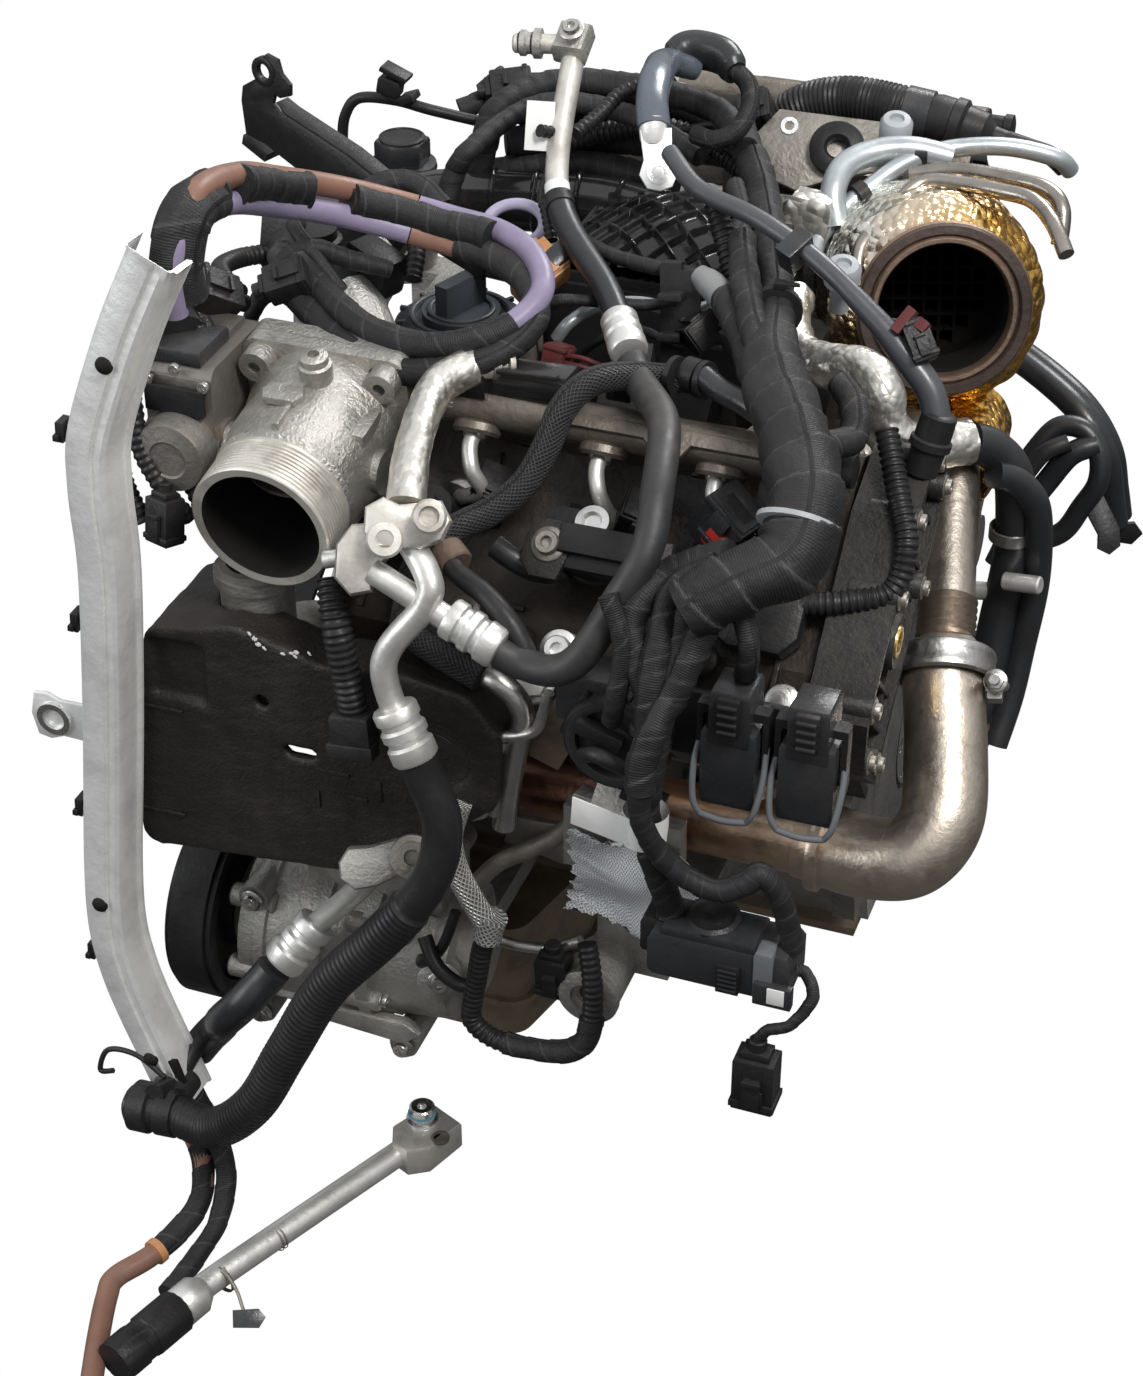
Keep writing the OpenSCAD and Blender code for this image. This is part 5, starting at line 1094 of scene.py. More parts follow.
# ------------ exhaust manifold and elbow
# Thin-walled steel, welded and heat-tinted: purple-brown by the ports, straw and grey towards the clamp. The
# elbow's bead and collar show where it is pushed over the log.
def build_heat(n, i):
    """Heat tint along the length: a colour ramp read at the place along the pipe plus stretched noise."""
    where = n.add("ShaderNodeTexCoord").outputs["Object"]
    along = n.add("ShaderNodeSeparateXYZ", Vector=where).outputs["X"]
    stretched = n.add("ShaderNodeMapping", Vector=where, Scale=(5.0, 30.0, 30.0)).outputs[0]
    wander = n.math("MULTIPLY", n.math("SUBTRACT", n.noise(stretched, 3.0, 4.0, 0.6), 0.5), 0.16)
    place = n.ramp(n.math("ADD", along, wander), i["Start"], i["End"])
    ramp = n.add("ShaderNodeValToRGB", Fac=place)
    stops = [
        (0.0, (0.060, 0.030, 0.030)),
        (0.30, (0.140, 0.066, 0.074)),
        (0.45, (0.250, 0.125, 0.085)),
        (0.62, (0.420, 0.225, 0.125)),
        (0.8, (0.600, 0.450, 0.330)),
        (1.0, (0.640, 0.560, 0.470)),
    ]
    band = ramp.color_ramp
    while len(band.elements) < len(stops):
        band.elements.new(0.5)
    for element, (at, color) in zip(band.elements, stops):
        element.position, element.color = at, (*color, 1)
    rust = n.ramp(n.noise(where, 60.0, 5.0, 0.7), 0.55, 0.75)
    return {"Color": n.mix(n.math("MULTIPLY", rust, i["Rust"]), ramp.outputs[0], (0.13, 0.075, 0.045))}


HEAT = shader_group(
    "heat",
    {"Start": ("Float", -0.25), "End": ("Float", 0.0), "Rust": ("Float", 0.4)},
    {"Color": "Color"},
    build_heat,
)


HEATED = material("heated steel", (0.4, 0.3, 0.25), metal=0.95, rough=0.34, dust=0.12, soil=0.2, bump=0.2,
    grain=260.0, heat={"Start": -0.27, "End": 0.035, "Rust": 0.35})
finish(HEATED, "exhaust_manifold", "exhaust_elbow")
ELBOW = [[-6, -267.3, 93.3], [12, -267.3, 93.3], [34, -271, 94.5], [58, -272, 103], [69, -258, 120],
    [63, -230, 142], [54, -204, 163], [50.4, -193, 171]]
elbow = Piece("exhaust_elbow", "heat_steel", replaces=("exhaust_elbow",))
elbow.tube(ELBOW, 22.5, HEATED, 44, 1.6, lambda s, a: 1 + 0.012 * np.sin(s / 14) - 0.10
    * np.exp(-((s / 10.0) ** 2)) + 0.03 * np.exp(-(((s - 18) / 2.6) ** 2)))
elbow.lathe([(18, -1), (25.5, -1), (26, 0), (26, 5), (24, 6), (21, 7)], (4.4, -267.3, 93.3), RIGHT, HEATED,
    44)
elbow.make()

# ------------ band clamp
# Rolled stainless band of V section that pulls the two flanges together. A cross bolt through a block closes
# it.
finish(SATIN_STEEL, "v_band_clamp")
BAND_AXIS = unit((-24, 93, 72))
BAND_AT = np.array([50.0, -192, 172])
clamp = Piece("v_band_clamp", "satin_steel", replaces=("v_band_clamp",))
clamp.lathe([(25.4, -7.5), (26.4, -8.4), (28.2, -7), (28.8, -4.4), (28.2, -3), (28.2, 3), (28.8, 4.4),
    (28.2, 7), (26.4, 8.4), (25.4, 7.5), (25.4, -7.5)], BAND_AT, BAND_AXIS, SATIN_STEEL, 64)
clamp.box(BAND_AT + (30.5, -6, -4), (9, 8, 14), SATIN_STEEL, BAND_AXIS, RIGHT, 1.5)
clamp.bar(BAND_AT + (31.5, -20, 12), BAND_AT + (31.5, 16, -16), 3.1, SATIN_STEEL, 16)
clamp.bolt(BAND_AT + (31.5, -14, 7), (0, -0.8, 0.6), 9, SATIN_STEEL)
clamp.make()

# ------------ riser pipe
# Steel pipe from the clamp up to the turbocharger in the V, a little rusty. A row of rolled bellows takes up
# its growth when hot.
RISER_STEEL = material("riser steel", (0.42, 0.37, 0.32), metal=0.95, rough=0.38, dust=0.15, soil=0.4,
    mottle=0.4, grain=240.0)
finish(RISER_STEEL, "riser_pipe")
RISER = [[50.2, -191, 172.6], [49, -187, 176], [38, -138, 207], [18, -78, 243], [-38, -62, 224],
    [-68, -58, 214], [-68, -40, 214]]
riser = Piece("riser_pipe", "heat_steel", replaces=("riser_pipe",))
riser.tube(RISER, 14.6, RISER_STEEL, 36, 1.1, lambda s,
    a: 1 + 0.55 * np.exp(-((s / 6.0) ** 2)) + np.where((s > 12) & (s < 40),
    0.13 * np.cos(2 * math.pi * s / 4.4), 0.0))
riser.lathe([(20, -0.5), (24.5, 0.4), (24.5, 4), (17, 8)], BAND_AT + BAND_AXIS * 0.4, BAND_AXIS, RISER_STEEL,
    48)
riser.make()

# ------------ catalytic converter
# Steel can wrapped in crumpled, heat-browned foil, with a rolled and welded outlet flange. Behind the open
# mouth stands the ceramic brick, coloured near-black as painted shade, with the mouth's inner wall in the
# same painted shade; a wrapped cone joins the can from below.
GOLD_FOIL = material("gold foil", (0.72, 0.58, 0.30), metal=1.0, rough=0.26, dust=0.05, soil=0.15, mottle=0.25,
    foil={"Cell": 190.0, "Strength": 0.85, "From": -2.1, "To": -1.45})
# The brick is near-black: painted shade for the depth of the mouth.
BRICK_PAINTED_SHADE = material("brick", (0.0018, 0.0016, 0.0015), rough=0.9, dust=0.02, bump=0.3, shine=0.1)
RING_TAN = material("ring tan", (0.32, 0.22, 0.16), metal=0.8, rough=0.42, dust=0.15, soil=0.35, mottle=0.4,
    bump=0.3, grain=240.0)
RING_BROWN = material("ring brown", (0.075, 0.052, 0.045), metal=0.5, dust=0.15, soil=0.4, mottle=0.4,
    bump=0.35, grain=240.0)
finish(GOLD_FOIL, "catalytic_converter")
finish(BRICK_PAINTED_SHADE, "catalyst_brick")
OUT = np.array([6.0, -52, 312])
OUT_AXIS = unit((0.33037, -0.90767, 0.25882))
OUT_X, OUT_Y, _ = basis(OUT_AXIS)
converter = Piece("catalytic_converter", "foil", replaces=("catalytic_converter",))


def crease(h, a):
    """Foil folds: sharp ridges |sin| in six directions over height h (mm) and angle a."""
    total = 0.0
    for k, (u, v) in enumerate(((0.11, 3), (-0.16, 5), (0.05, 9), (0.23, -4), (-0.09, -7), (0.31, 2))):
        total = total + np.abs(np.sin(u * h + v * a + 1.7 * k)) / (1.2 + 0.5 * k)
    return 1 + 0.030 * (total - 1.3) + 0.05 * np.cos(a - 3.6)


heights = np.linspace(-112, -9, 74)
swell = np.interp(heights, [-112, -108, -96, -80, -40, -24, -14, -9], [10, 40, 55, 62.5, 63, 60.5, 51, 46])
converter.lathe(np.vstack([[0.5, -112.6], np.c_[swell, heights]]), OUT, OUT_AXIS, GOLD_FOIL, 150, wave=crease,
    caps=False)
ring = [(46.4, -12), (47.4, -9), (48.4, -3.4), (48.6, -1), (47.6, 0.4), (43.2, 0.6), (42.4, -0.8),
    (41.4, -1.4), (40.2, 0.2), (38.2, 0.2), (37.2, -1.6)]
converter.lathe([*ring[:7], (41.0, -3), (41.0, -12), (45.6, -13), ring[0]], OUT, OUT_AXIS, RING_BROWN, 96)
converter.lathe([(41.9, -2.6), (41.4, -0.6), (40.2, 0.5), (38.2, 0.4), (37.3, -1.2), (37.0, -8), (41.6, -9),
    (41.9, -2.6)], OUT, OUT_AXIS, RING_TAN, 96)
# The mouth's inner wall and floor in the near-black painted shade.
converter.lathe([(37.6, -4), (37.0, -26), (38.8, -30), (38.8, -84), (36, -85), (3, -85), (3, -86), (40.4, -86),
    (40.4, -5), (37.6, -4)], OUT, OUT_AXIS, PAINTED_SHADE_INSIDE, 96)
converter.lathe([(48.2, -6.2), (49.6, -5.4), (49.8, -3), (48.8, -1.6), (47.6, -2)], OUT, OUT_AXIS, RING_TAN,
    96, caps=False)
cone = [OUT - OUT_AXIS * 58 - OUT_Y * 62 + OUT_X * 14, OUT - OUT_AXIS * 48 - OUT_Y * 76 + OUT_X * 19,
    [30, -76, 228], [22, -78, 210]]
converter.tube(cone, 26, GOLD_FOIL, 60, 2.0, lambda s, a: np.interp(s, [0, 20, 60, 90], [0.8, 1.1, 0.85, 0.6])
    * (crease(s, a) + 0.02 * np.sin(s / 2.6)))
converter.make()

# ------------ foil pipe
# Thin steel pipe below the converter, wrapped by hand in crumpled silver foil. It is pushed into its port at
# each end.
finish(SILVER_FOIL, "foil_pipe")
FOIL_PIPE = [[-80, -56, 306], [-77, -80, 302], [-64, -100, 296], [-42, -112, 298], [-22, -120, 302],
    [-10, -128, 296], [-6, -132, 282], [4, -130, 270], [18, -120, 264], [36, -104, 262]]
wrapped = Piece("foil_pipe", "foil", replaces=("foil_pipe",))
wrapped.tube(FOIL_PIPE, 12.4, SILVER_FOIL, 36, 1.2, lambda s,
    a: 1 + 0.05 * np.abs(np.sin(s / 4.1 + 2 * np.sin(2 * a))) + 0.05 * np.sin(s / 11 + a) + 0.03
    * np.abs(np.sin(4 * a + s / 8)))
wrapped.make()

# ------------ rocker covers
# Moulded brown-black covers under dust and oil, with raised ribs and three injector wells to a bank. Bolts in
# their bosses hold them along both edges; clips stand on top.
COVER_BROWN = material("cover brown", (0.0195, 0.0155, 0.0128), metal=0.1, rough=0.38, dust=0.13, soil=0.35,
    mottle=0.7, bump=0.4, grain=260.0, dust_color=(0.15, 0.11, 0.085))


def near(x, q, h):
    """A point of the near bank: q towards the valley, h outward from the crank, turned 45 degrees about X."""
    return np.array([x, (q - h) / math.sqrt(2), (q + h) / math.sqrt(2)])


finish(COVER_BROWN, "rocker_cover_left", "rocker_cover_right")
for side, bank in ((1, "left"), (-1, "right")):
    trim = Piece("cover_trim_" + bank, "cover_brown")

    def spot(x, q, h, side=side):
        y = near(x, q, h)
        return y if side > 0 else np.array([x - 18, -y[1], y[2]])

    up = unit(spot(0, 0, 1) - spot(0, 0, 0))
    across = unit(spot(0, 1, 0) - spot(0, 0, 0))
    for k in range(5):
        x = -225 + 54 * k
        for q in (-75, 75):
            trim.lathe([(7.6, -2), (8.2, -1), (8.2, 1.4), (5, 1.8)], spot(x, q, 326), up, DULL_STEEL, 22)
            trim.bolt(spot(x, q, 327), up, 9.5, DULL_STEEL, "hex" if k % 2 else "round")
    for x in (-220, -130, -40):
        trim.lathe([(16.8, 0), (19.2, 0.2), (19.6, 2.4), (18, 3.4), (16, 3), (15.2, 0.6), (15.2, -6)],
            spot(x, -4, 340), up, BLACK_PLASTIC, 40, caps=False)
    for x in (-246, -180, -84, -12):
        trim.box(spot(x, 56, 348), (9, 26, 5), BLACK_PLASTIC, up, across, 1.2)
        trim.bar(spot(x, 50, 350), spot(x, 62, 354), 3.0, BLACK_STEEL, 14)
    for x, q, w, l in ((-176, -44, 30, 3), (-84, -46, 26, 3), (-252, -30, 4, 60), (-108, 12, 3, 50),
            (-20, -30, 3, 70), (-196, 16, 3, 44)):
        trim.box(spot(x, q, 345.5), (w, l, 3.4), COVER_BROWN, up, across, 0.8)
    trim.make()

# ------------ fuel rails and injectors
# Forged steel rail on each bank, bolted down by feet, with a ringed union for each bent high-pressure pipe.
# Each pipe is screwed to an injector, which wears a black plug.
RAIL_STEEL = material("rail steel", (0.19, 0.165, 0.14), metal=0.75, rough=0.46, dust=0.35, soil=0.5,
    mottle=0.4, bump=0.4, grain=240.0)
finish(DULL_STEEL, "fuel_rails")
finish(SATIN_STEEL, "injector_pipes")
finish(BLACK_PLASTIC, "injectors")
fuel = Piece("fuel_rails", "rail_steel", replaces=("fuel_rails", "injector_pipes"))
for side in (1, -1):

    def rail(x, q, h, side=side):
        p = near(x, q, h)
        return p if side > 0 else np.array([x - 18, -p[1], p[2]])

    outward = unit(rail(0, -0.95, 0.3) - rail(0, 0, 0))
    along_rail = np.array([1.0, 0, 0])
    face = unit(rail(0, -1.0, -0.15) - rail(0, 0, 0))
    fuel.bar(rail(-222, 54, 376), rail(-14, 54, 376), 11.4, RAIL_STEEL, 40, 1.6)
    for x in (-184, -92, -30):
        fuel.prism([(-13, -20), (13, -20), (10, 6), (-10, 6)], -9, 9, rail(x, 54, 360),
            unit(rail(0, 1, 0) - rail(0, 0, 0)), RAIL_STEEL, 2.4, hint=unit(rail(0, 0, 1) - rail(0, 0, 0)))
    for x, bow, foot_x in ((-202, -4, -11), (-131, 9, 1), (-67, 14, 17)):
        spot = rail(x, 54, 376)
        fuel.lathe([(5, 8), (9.4, 8.4), (12.8, 10), (13.4, 14), (12, 16), (9.4, 15.4), (8.4, 12), (5, 11)],
            spot, face, RAIL_STEEL, 40)
        fuel.lathe([(4.4, 8), (7.6, 8.4), (7.4, 17), (6.2, 19), (4.3, 19.4)], spot, face, SATIN_STEEL, 30)
        turn = [(x, -13, 376), (x, -24, 379), (x + 4, -36, 377), (x + 8, -43, 366), (x + bow, -46, 356),
            (x + foot_x, -44, 344)]
        fuel.tube([rail(u, 54 + v, w) for u, v, w in turn], 4.3, PIPE_ALLOY, 22, 1.2)
        fuel.lathe([(4.4, -9), (8.6, -8.6), (9.8, -7), (9.8, 1), (8.2, 3), (4.4, 3.4)],
            rail(x + foot_x, 10, 345), unit(rail(0, 0.1, 1) - rail(0, 0, 0)), BRIGHT_ALLOY, 36)
        plug(fuel, rail(x + foot_x + 20, 12, 352), unit(rail(0.5, 0.5, 1) - rail(0, 0, 0)), outward,
            (22, 19, 34))
        fuel.box(rail(x + foot_x - 8, -2, 344), (26, 34, 22), BLACK_PLASTIC,
            unit(rail(0.2, 0.3, 1) - rail(0, 0, 0)), outward, 4)
    fuel.lathe([(8, 0), (11.4, 0.5), (11.4, 9), (9, 10), (8.6, 16), (5, 17)], rail(-214, 54, 376), -along_rail,
        SATIN_STEEL, 30)
    fuel.lathe([(8, 0), (11, 0.5), (11, 8), (7.5, 9), (7.5, 18), (9, 19), (9, 24), (6, 25)],
        rail(-22, 54, 376), along_rail, BLACK_PLASTIC, 30)
    for x in (-178, -148, -96, -70):
        fuel.lathe([(10.2, -4), (10.9, -3.4), (10.9, 3.4), (10.2, 4)], rail(x, 54, 376), along_rail,
            RAIL_STEEL, 30)
    flat = [(-60, -9), (-50, -12), (-44, -5), (-4, -5), (4, -12), (18, -12), (22, -5), (60, -5), (64, 3),
        (18, 4), (-10, 3), (-60, 5)]
    fuel.prism(flat, 8, 12.5, rail(-104, 52, 376), unit(rail(0, 0.15, 1) - rail(0, 0, 0)), RAIL_STEEL, 1.2,
        hint=unit(rail(0, 1, 0) - rail(0, 0, 0)))
fuel.make()

# ------------ intake duct
# Blow-moulded glossy black duct with raised seams and a moulding line along its side. A collar clamps it to
# the elbow, and its far end is pushed into the manifold.
GLOSS_BLACK = material("gloss black", (0.010, 0.010, 0.011), rough=0.2, dust=0.06, soil=0.1, mottle=0.2,
    bump=0.08, grain=200.0, coat=0.6)
finish(GLOSS_BLACK, "intake_duct")
DUCT_ALONG = np.array([-16.0, 72, -8])
DUCT_START = np.array([-342.0, -78, 292])
DUCT = [DUCT_START + DUCT_ALONG * k for k in (0.004, 0.15, 0.3)]
DUCT += [[-332, 2, 300], [-252, 27, 302], [-212, 32, 300], [-186, 28, 296], [-177, 18, 292], [-177, 10, 292],
    [-177, 2.3, 292]]
duct = Piece("intake_duct", "gloss_black", replaces=("intake_duct",))


def duct_shape(s, a):
    """1 + thin raised seams every 26 mm + one moulding line along the side + a slow swelling."""
    seam = 0.10 * np.clip(np.cos(2 * math.pi * s / 26.0) * 9 - 8.0, 0, 1)
    line = 0.07 * np.exp(-((np.sin(a * 0.5 - 0.4)) ** 2) * 260)
    return 1 + (seam + line) * (s > 60) + 0.05 * np.sin(s / 31.0)


duct.tube(DUCT, 19.0, GLOSS_BLACK, 56, 1.0, duct_shape)
duct.lathe([(17, 0), (21.5, 0.4), (21.5, 8), (18.4, 9), (17, 9)], DUCT[0], DUCT_ALONG, BLACK_PLASTIC, 40)
duct.make()

# ------------ intake manifold
# Moulded black plastic: a domed lid stiffened by crossed diagonal ribs, with fins that fan out beside them. A
# steel strap with its plug and a flat conduit box are fixed on top.
finish(BLACK_PLASTIC, "intake_manifold")
lid = Piece("manifold_lid", "black_plastic")


def hump():
    """Domed lid: z = 321 + 26 (1 - x'^2)(1 - 0.8 y'^2) with x', y' from -1 to 1 across it, raised along two
    families of diagonals that make the diamonds, and along fins that fan out over its far part."""
    i, j = np.meshgrid(np.linspace(-1, 1, 180), np.linspace(-1, 1, 150))
    x, y = -146 + 66 * i, -42 + 46 * j
    dome = 26 * (1 - i**2) * (1 - 0.8 * j**2)
    line = lambda t: np.clip(np.abs(((t / 18.0) % 1) - 0.5) * 2 * 5.6 - 4.4, 0, 1)
    lattice = np.maximum(line(x * 0.9 + y * 1.05), line(x * 0.9 - y * 1.05))
    turn = np.arctan2(y + 96, x + 146)
    fins = np.clip(np.cos(turn * 44) * 2.4 - 0.5, 0, 1)
    fan = np.clip((y + 30) / 10, 0, 1)
    return np.stack([x, y, 321 + dome + 4.6 * (lattice * (1 - fan) + fins * fan)], -1)


lid.grid(hump(), GLOSS_BLACK, loop=False)
lid.box((-124, -142, 328), (10, 12, 62), BLACK_STEEL, (-0.12, 0.28, 0.95), RIGHT, 1.4)
lid.box((-116, -146, 328), (3, 17, 58), BLACK_STEEL, (-0.12, 0.28, 0.95), RIGHT, 0.9)
plug(lid, (-108, -147, 325), (0.5, -0.6, 0.4), OBLIQUE, (18, 15, 26))
for z in (300, 322, 346):
    lid.box((-122, -152, z), (11, 13, 5), BLACK_PLASTIC, (-0.12, 0.28, 0.95), RIGHT, 1.2)
lid.box((-194, -224, 321), (88, 18, 17), GLOSS_BLACK, (-0.09, 0, 1), (0.06, 1, 0), 3)
lid.box((-219, -225, 321), (46, 24, 21), GLOSS_BLACK, (-0.09, 0, 1), (0.06, 1, 0), 3)
lid.box((-196, -233, 329), (80, 3, 3), BLACK_PLASTIC, (-0.09, 0, 1), (0.06, 1, 0), 1)
lid.bolt((-162, -226, 326), OBLIQUE, 9, DULL_STEEL, "round")
lid.make()

# ------------ rear chain cover
# Moulded dusty black cover over the near bank's chain, with ribs, a lug and a pressed-in brass bush. Bolts in
# tall bosses hold its rim.
DUSTY_PLASTIC = material("dusty plastic", (0.015, 0.0145, 0.014), rough=0.46, dust=0.13, soil=0.2, mottle=0.4,
    bump=0.35, grain=380.0)
BRASS = material("brass", (0.62, 0.44, 0.17), metal=1.0, rough=0.32, dust=0.1, soil=0.1, mottle=0.2, bump=0.1)
UP_NEAR, ACROSS_NEAR = unit((0, -1, 1)), unit((0, 1, 1))
finish(DUSTY_PLASTIC, "chain_cover")
chain = Piece("chain_trim", "black_plastic")
chain.lathe([(5.8, 30), (5.9, 35), (8.6, 35), (9.2, 34), (9.2, 30), (5.8, 30)], near(0, -18, 322), RIGHT,
    BRASS, 36)
chain.lathe([(9.4, 28), (13.2, 34), (14.2, 34.6), (15.2, 33), (15.2, 26)], near(0, -18, 322), RIGHT,
    DUSTY_PLASTIC, 40, caps=False)
for q, h in ((-80, 300), (-84, 326), (-60, 346), (0, 346), (42, 344), (78, 330), (76, 292), (20, 288)):
    chain.lathe([(8, 8), (8.2, 33), (7.4, 34.4), (3, 34.6)], near(0, q, h), RIGHT, DUSTY_PLASTIC, 22)
    chain.bolt(near(34, q, h), RIGHT, 9, DULL_STEEL, "round")
for q in (-62, -42, 12, 30, 56):
    chain.box(near(20, q, 316), (3, 54, 22), DUSTY_PLASTIC, RIGHT, UP_NEAR, 0.8)
chain.bolt(near(-12, -66, 352), UP_NEAR, 13, SATIN_STEEL)
chain.bolt(near(-64, -78, 346), UP_NEAR, 13, DULL_STEEL, "round")
chain.bolt(near(-150, -80, 328), UP_NEAR, 15, PIPE_ALLOY)
chain.prism([(-30, -22), (24, -22), (30, -12), (30, 16), (20, 24), (-30, 24)], 0, 16, near(-34, -14, 345),
    UP_NEAR, BLACK_PLASTIC, 2.4, hint=(1, 0, 0))
chain.prism([(-12, -16), (12, -16), (14, 10), (-14, 10)], 0, 30, near(-30, 30, 345), UP_NEAR, BLACK_PLASTIC, 2,
    hint=(1, 0, 0))
chain.make()

# ------------ plugs on their carrier
# Round sealed plug with its cap ring, two lever plugs with ribbed faces and the flat control plug below.
# Slate and black nylon mouldings, clipped to one black carrier; the two levers turn on their pins.
ARM_GREY = material("lever grey", (0.12, 0.128, 0.14), rough=0.4, dust=0.1, soil=0.15, mottle=0.2, bump=0.1)
finish(BLACK_PLASTIC, "harness_connectors", "connector_lever_front", "connector_lever_rear")
plugs = Piece("harness_connectors", "black_plastic", replaces=("harness_connectors",))
plugs.lathe([(18.5, 23), (26, 22), (27, 18), (26.6, 0), (26, -1.6), (23.6, -2), (20.4, -1), (20, 11), (3, 12)],
    (-84, -352, 196), BACK, GREY_PLASTIC, 64)
plugs.box((-84, -323, 190), (40, 18, 30), BLACK_PLASTIC, edge=4)
plugs.box((-40, -328, 203), (122, 5, 40), BLACK_PLASTIC, edge=1.6)
plugs.box((-92, -331, 212), (52, 26, 30), GREY_PLASTIC, edge=4)
for x in (-36, 4):
    plugs.box((x + 15, -346, 202), (28.6, 31, 47), GREY_PLASTIC, edge=3)
    plugs.box((x + 15, -350, 232), (21, 24, 34), GREY_PLASTIC, edge=3)
    plugs.box((x + 15, -363, 236), (12, 5, 22), BLACK_PLASTIC, edge=1)
    for k in range(4):
        plugs.box((x + 15, -366, 228 + 5 * k), (10, 2.4, 1.8), GREY_PLASTIC, edge=0.5)
    for s in (-1, 1):
        plugs.tube([[x + 15 + 17 * s, -352, 214], [x + 15 + 18 * s, -360, 200], [x + 15 + 16 * s, -366, 184],
            [x + 15 + 12 * s, -366, 176]], 1.7, ARM_GREY, 12, 1.4)
    plugs.tube([[x + 3, -366, 176], [x + 15, -367, 175], [x + 27, -366, 176]], 1.8, ARM_GREY, 12, 1.4)
plugs.box((-12, -381, 104), (75, 31, 33), GREY_PLASTIC, edge=7)
plugs.box((-18, -382, 119), (50, 26, 8), GREY_PLASTIC, edge=3)
plugs.lathe([(14.6, -2), (15, 0), (14.4, 2), (12, 3.4), (10, 3), (8, 4), (4, 4.2), (0.4, 3.4)],
    (-20, -380, 122), (0, -0.1, 1), BLACK_PLASTIC, 40)
plugs.box((12, -391, 106), (10, 13, 30), ARM_GREY, edge=2)
plugs.box((-6, -397.6, 100), (12, 3, 18), BLACK_PLASTIC, edge=1)
plugs.box((-50, -377, 108), (12, 22, 24), BLACK_PLASTIC, edge=4)
plugs.lathe([(19.6, -4), (20.4, -7), (25.6, -7), (27.2, -4.5), (27.2, 2), (25.8, 4)], (-84, -350, 196), FRONT,
    BLACK_PLASTIC, 56, caps=False)
plugs.lathe([(19.4, 4), (19.4, 1), (17, 0), (14, 3), (13, 8), (6, 10), (2, 9)], (-84, -346, 196), FRONT,
    BLACK_PLASTIC, 40)
for k in range(7):
    a = math.pi * (0.15 + k * 0.28)
    plugs.box((-84 + 27.6 * math.cos(a), -343, 196 + 27.6 * math.sin(a)), (4.5, 15, 4), BLACK_PLASTIC,
        (math.cos(a), 0, math.sin(a)), BACK, 1)
plugs.box((-90, -356, 204), (26, 7, 9), BLACK_PLASTIC, (0.3, 0, 1), FRONT, 1.6)
plugs.tube([[-98, -358, 190], [-88, -366, 198], [-74, -366, 194], [-66, -358, 184]], 4.2, BLACK_PLASTIC, 14,
    1.5)
for k in range(5):
    plugs.box((-6, -399.4, 94 + 3 * k), (10, 1.4, 1.3), GREY_PLASTIC, edge=0.4)
plugs.box((18, -398, 97), (20, 5, 14), GREY_PLASTIC, edge=1.2)
plugs.box((20, -400.6, 98), (9, 0.8, 10), WHITE_LABEL, edge=0.3)
plugs.lathe([(11.6, -9), (12.0, 0), (11.6, 9)], (-56, -384, 176), (0.05, 0, 1), WHITE_LABEL, 30, caps=False)
plugs.box((-76, -392, 178), (34, 0.8, 17), WHITE_LABEL, (0.06, 0, 1), (0.16, 1, 0), 0.2)
plugs.bolt((-104, -331, 206), FRONT, 8, DULL_STEEL, "round")
plugs.make()

# ------------ glass cloth
# Torn rag of woven glass cloth, a scrap of heat protection: frayed edge, shallow folds. It is only laid on
# the mount.
def build_braid(n, i):
    """Crossing strands: the higher of two sine waves that run round the tube in opposite turns."""
    uv = n.add("ShaderNodeSeparateXYZ", Vector=n.add("ShaderNodeTexCoord").outputs["UV"])
    around = n.math("MULTIPLY", uv.outputs["X"], n.math("MULTIPLY", i["Count"], 6.28318))
    along = n.math("MULTIPLY", uv.outputs["Y"], n.math("DIVIDE", 6.28318, i["Pitch"]))
    one = n.math("SINE", n.math("ADD", around, along))
    two = n.math("SINE", n.math("SUBTRACT", around, along))
    height = n.math("MAXIMUM", one, two)
    bump = n.add("ShaderNodeBump", Strength=i["Strength"], Distance=0.0008, Height=height)
    # Height also darkens the colour in the grooves, partly painted shade.
    return {"Height": n.ramp(height, -0.2, 1.0), "Normal": bump.outputs[0]}


BRAID = shader_group(
    "braid",
    {"Count": ("Float", 14.0), "Pitch": ("Float", 0.004), "Strength": ("Float", 0.6)},
    {"Height": "Float", "Normal": "Vector"},
    build_braid,
)


CLOTH = material("woven cloth", (0.74, 0.76, 0.79), metal=0.1, rough=0.55, dust=0.08, soil=0.16, mottle=0.2,
    braid={"Count": 48.0, "Pitch": 0.0021, "Strength": 0.35})
finish(CLOTH, "glass_mat")
cloth = Piece("glass_mat", "glass_cloth", replaces=("glass_mat",))


def rag():
    """Grid (i, j): x = -116 + 72 i, z = 64 + 52 j with a frayed rim; y = -330 + folds."""
    i, j = np.meshgrid(np.linspace(0, 1, 61), np.linspace(0, 1, 47))
    fray = lambda t, k: 0.022 * np.sin(t * 41 + k) + 0.016 * np.sin(t * 97 + 2 * k) + 0.03 * np.sin(t * 9 + k)
    x = -116 + 72 * (i + fray(j, 1) * (2 * i - 1)) + 5 * (1 - j) * np.sin(i * 3)
    z = 62 + 54 * (j + fray(i, 2) * (2 * j - 1)) - 10 * i * (1 - j) - 6 * np.sin(i * 2.6) * (1 - j)
    y = -328.6 + 2.6 * np.sin(i * 7 + j * 3) + 1.7 * np.sin(j * 11 - i * 4) + 4.0 * (1 - j) * np.sin(i
        * 3.1) - 5.5 * i * i
    front = np.stack([x, y, z], -1)
    p = np.concatenate([front, (front + (0, 0.7, 0))[:, ::-1]], 1)
    uv = np.stack([np.concatenate([i, i[:, ::-1]], 1), np.concatenate([j, j[:, ::-1]], 1) * 0.052], -1)
    return p, uv.reshape(-1, 2)


points, cloth_uv = rag()
cloth.grid(points, CLOTH, cloth_uv)
cloth = cloth.make(80)

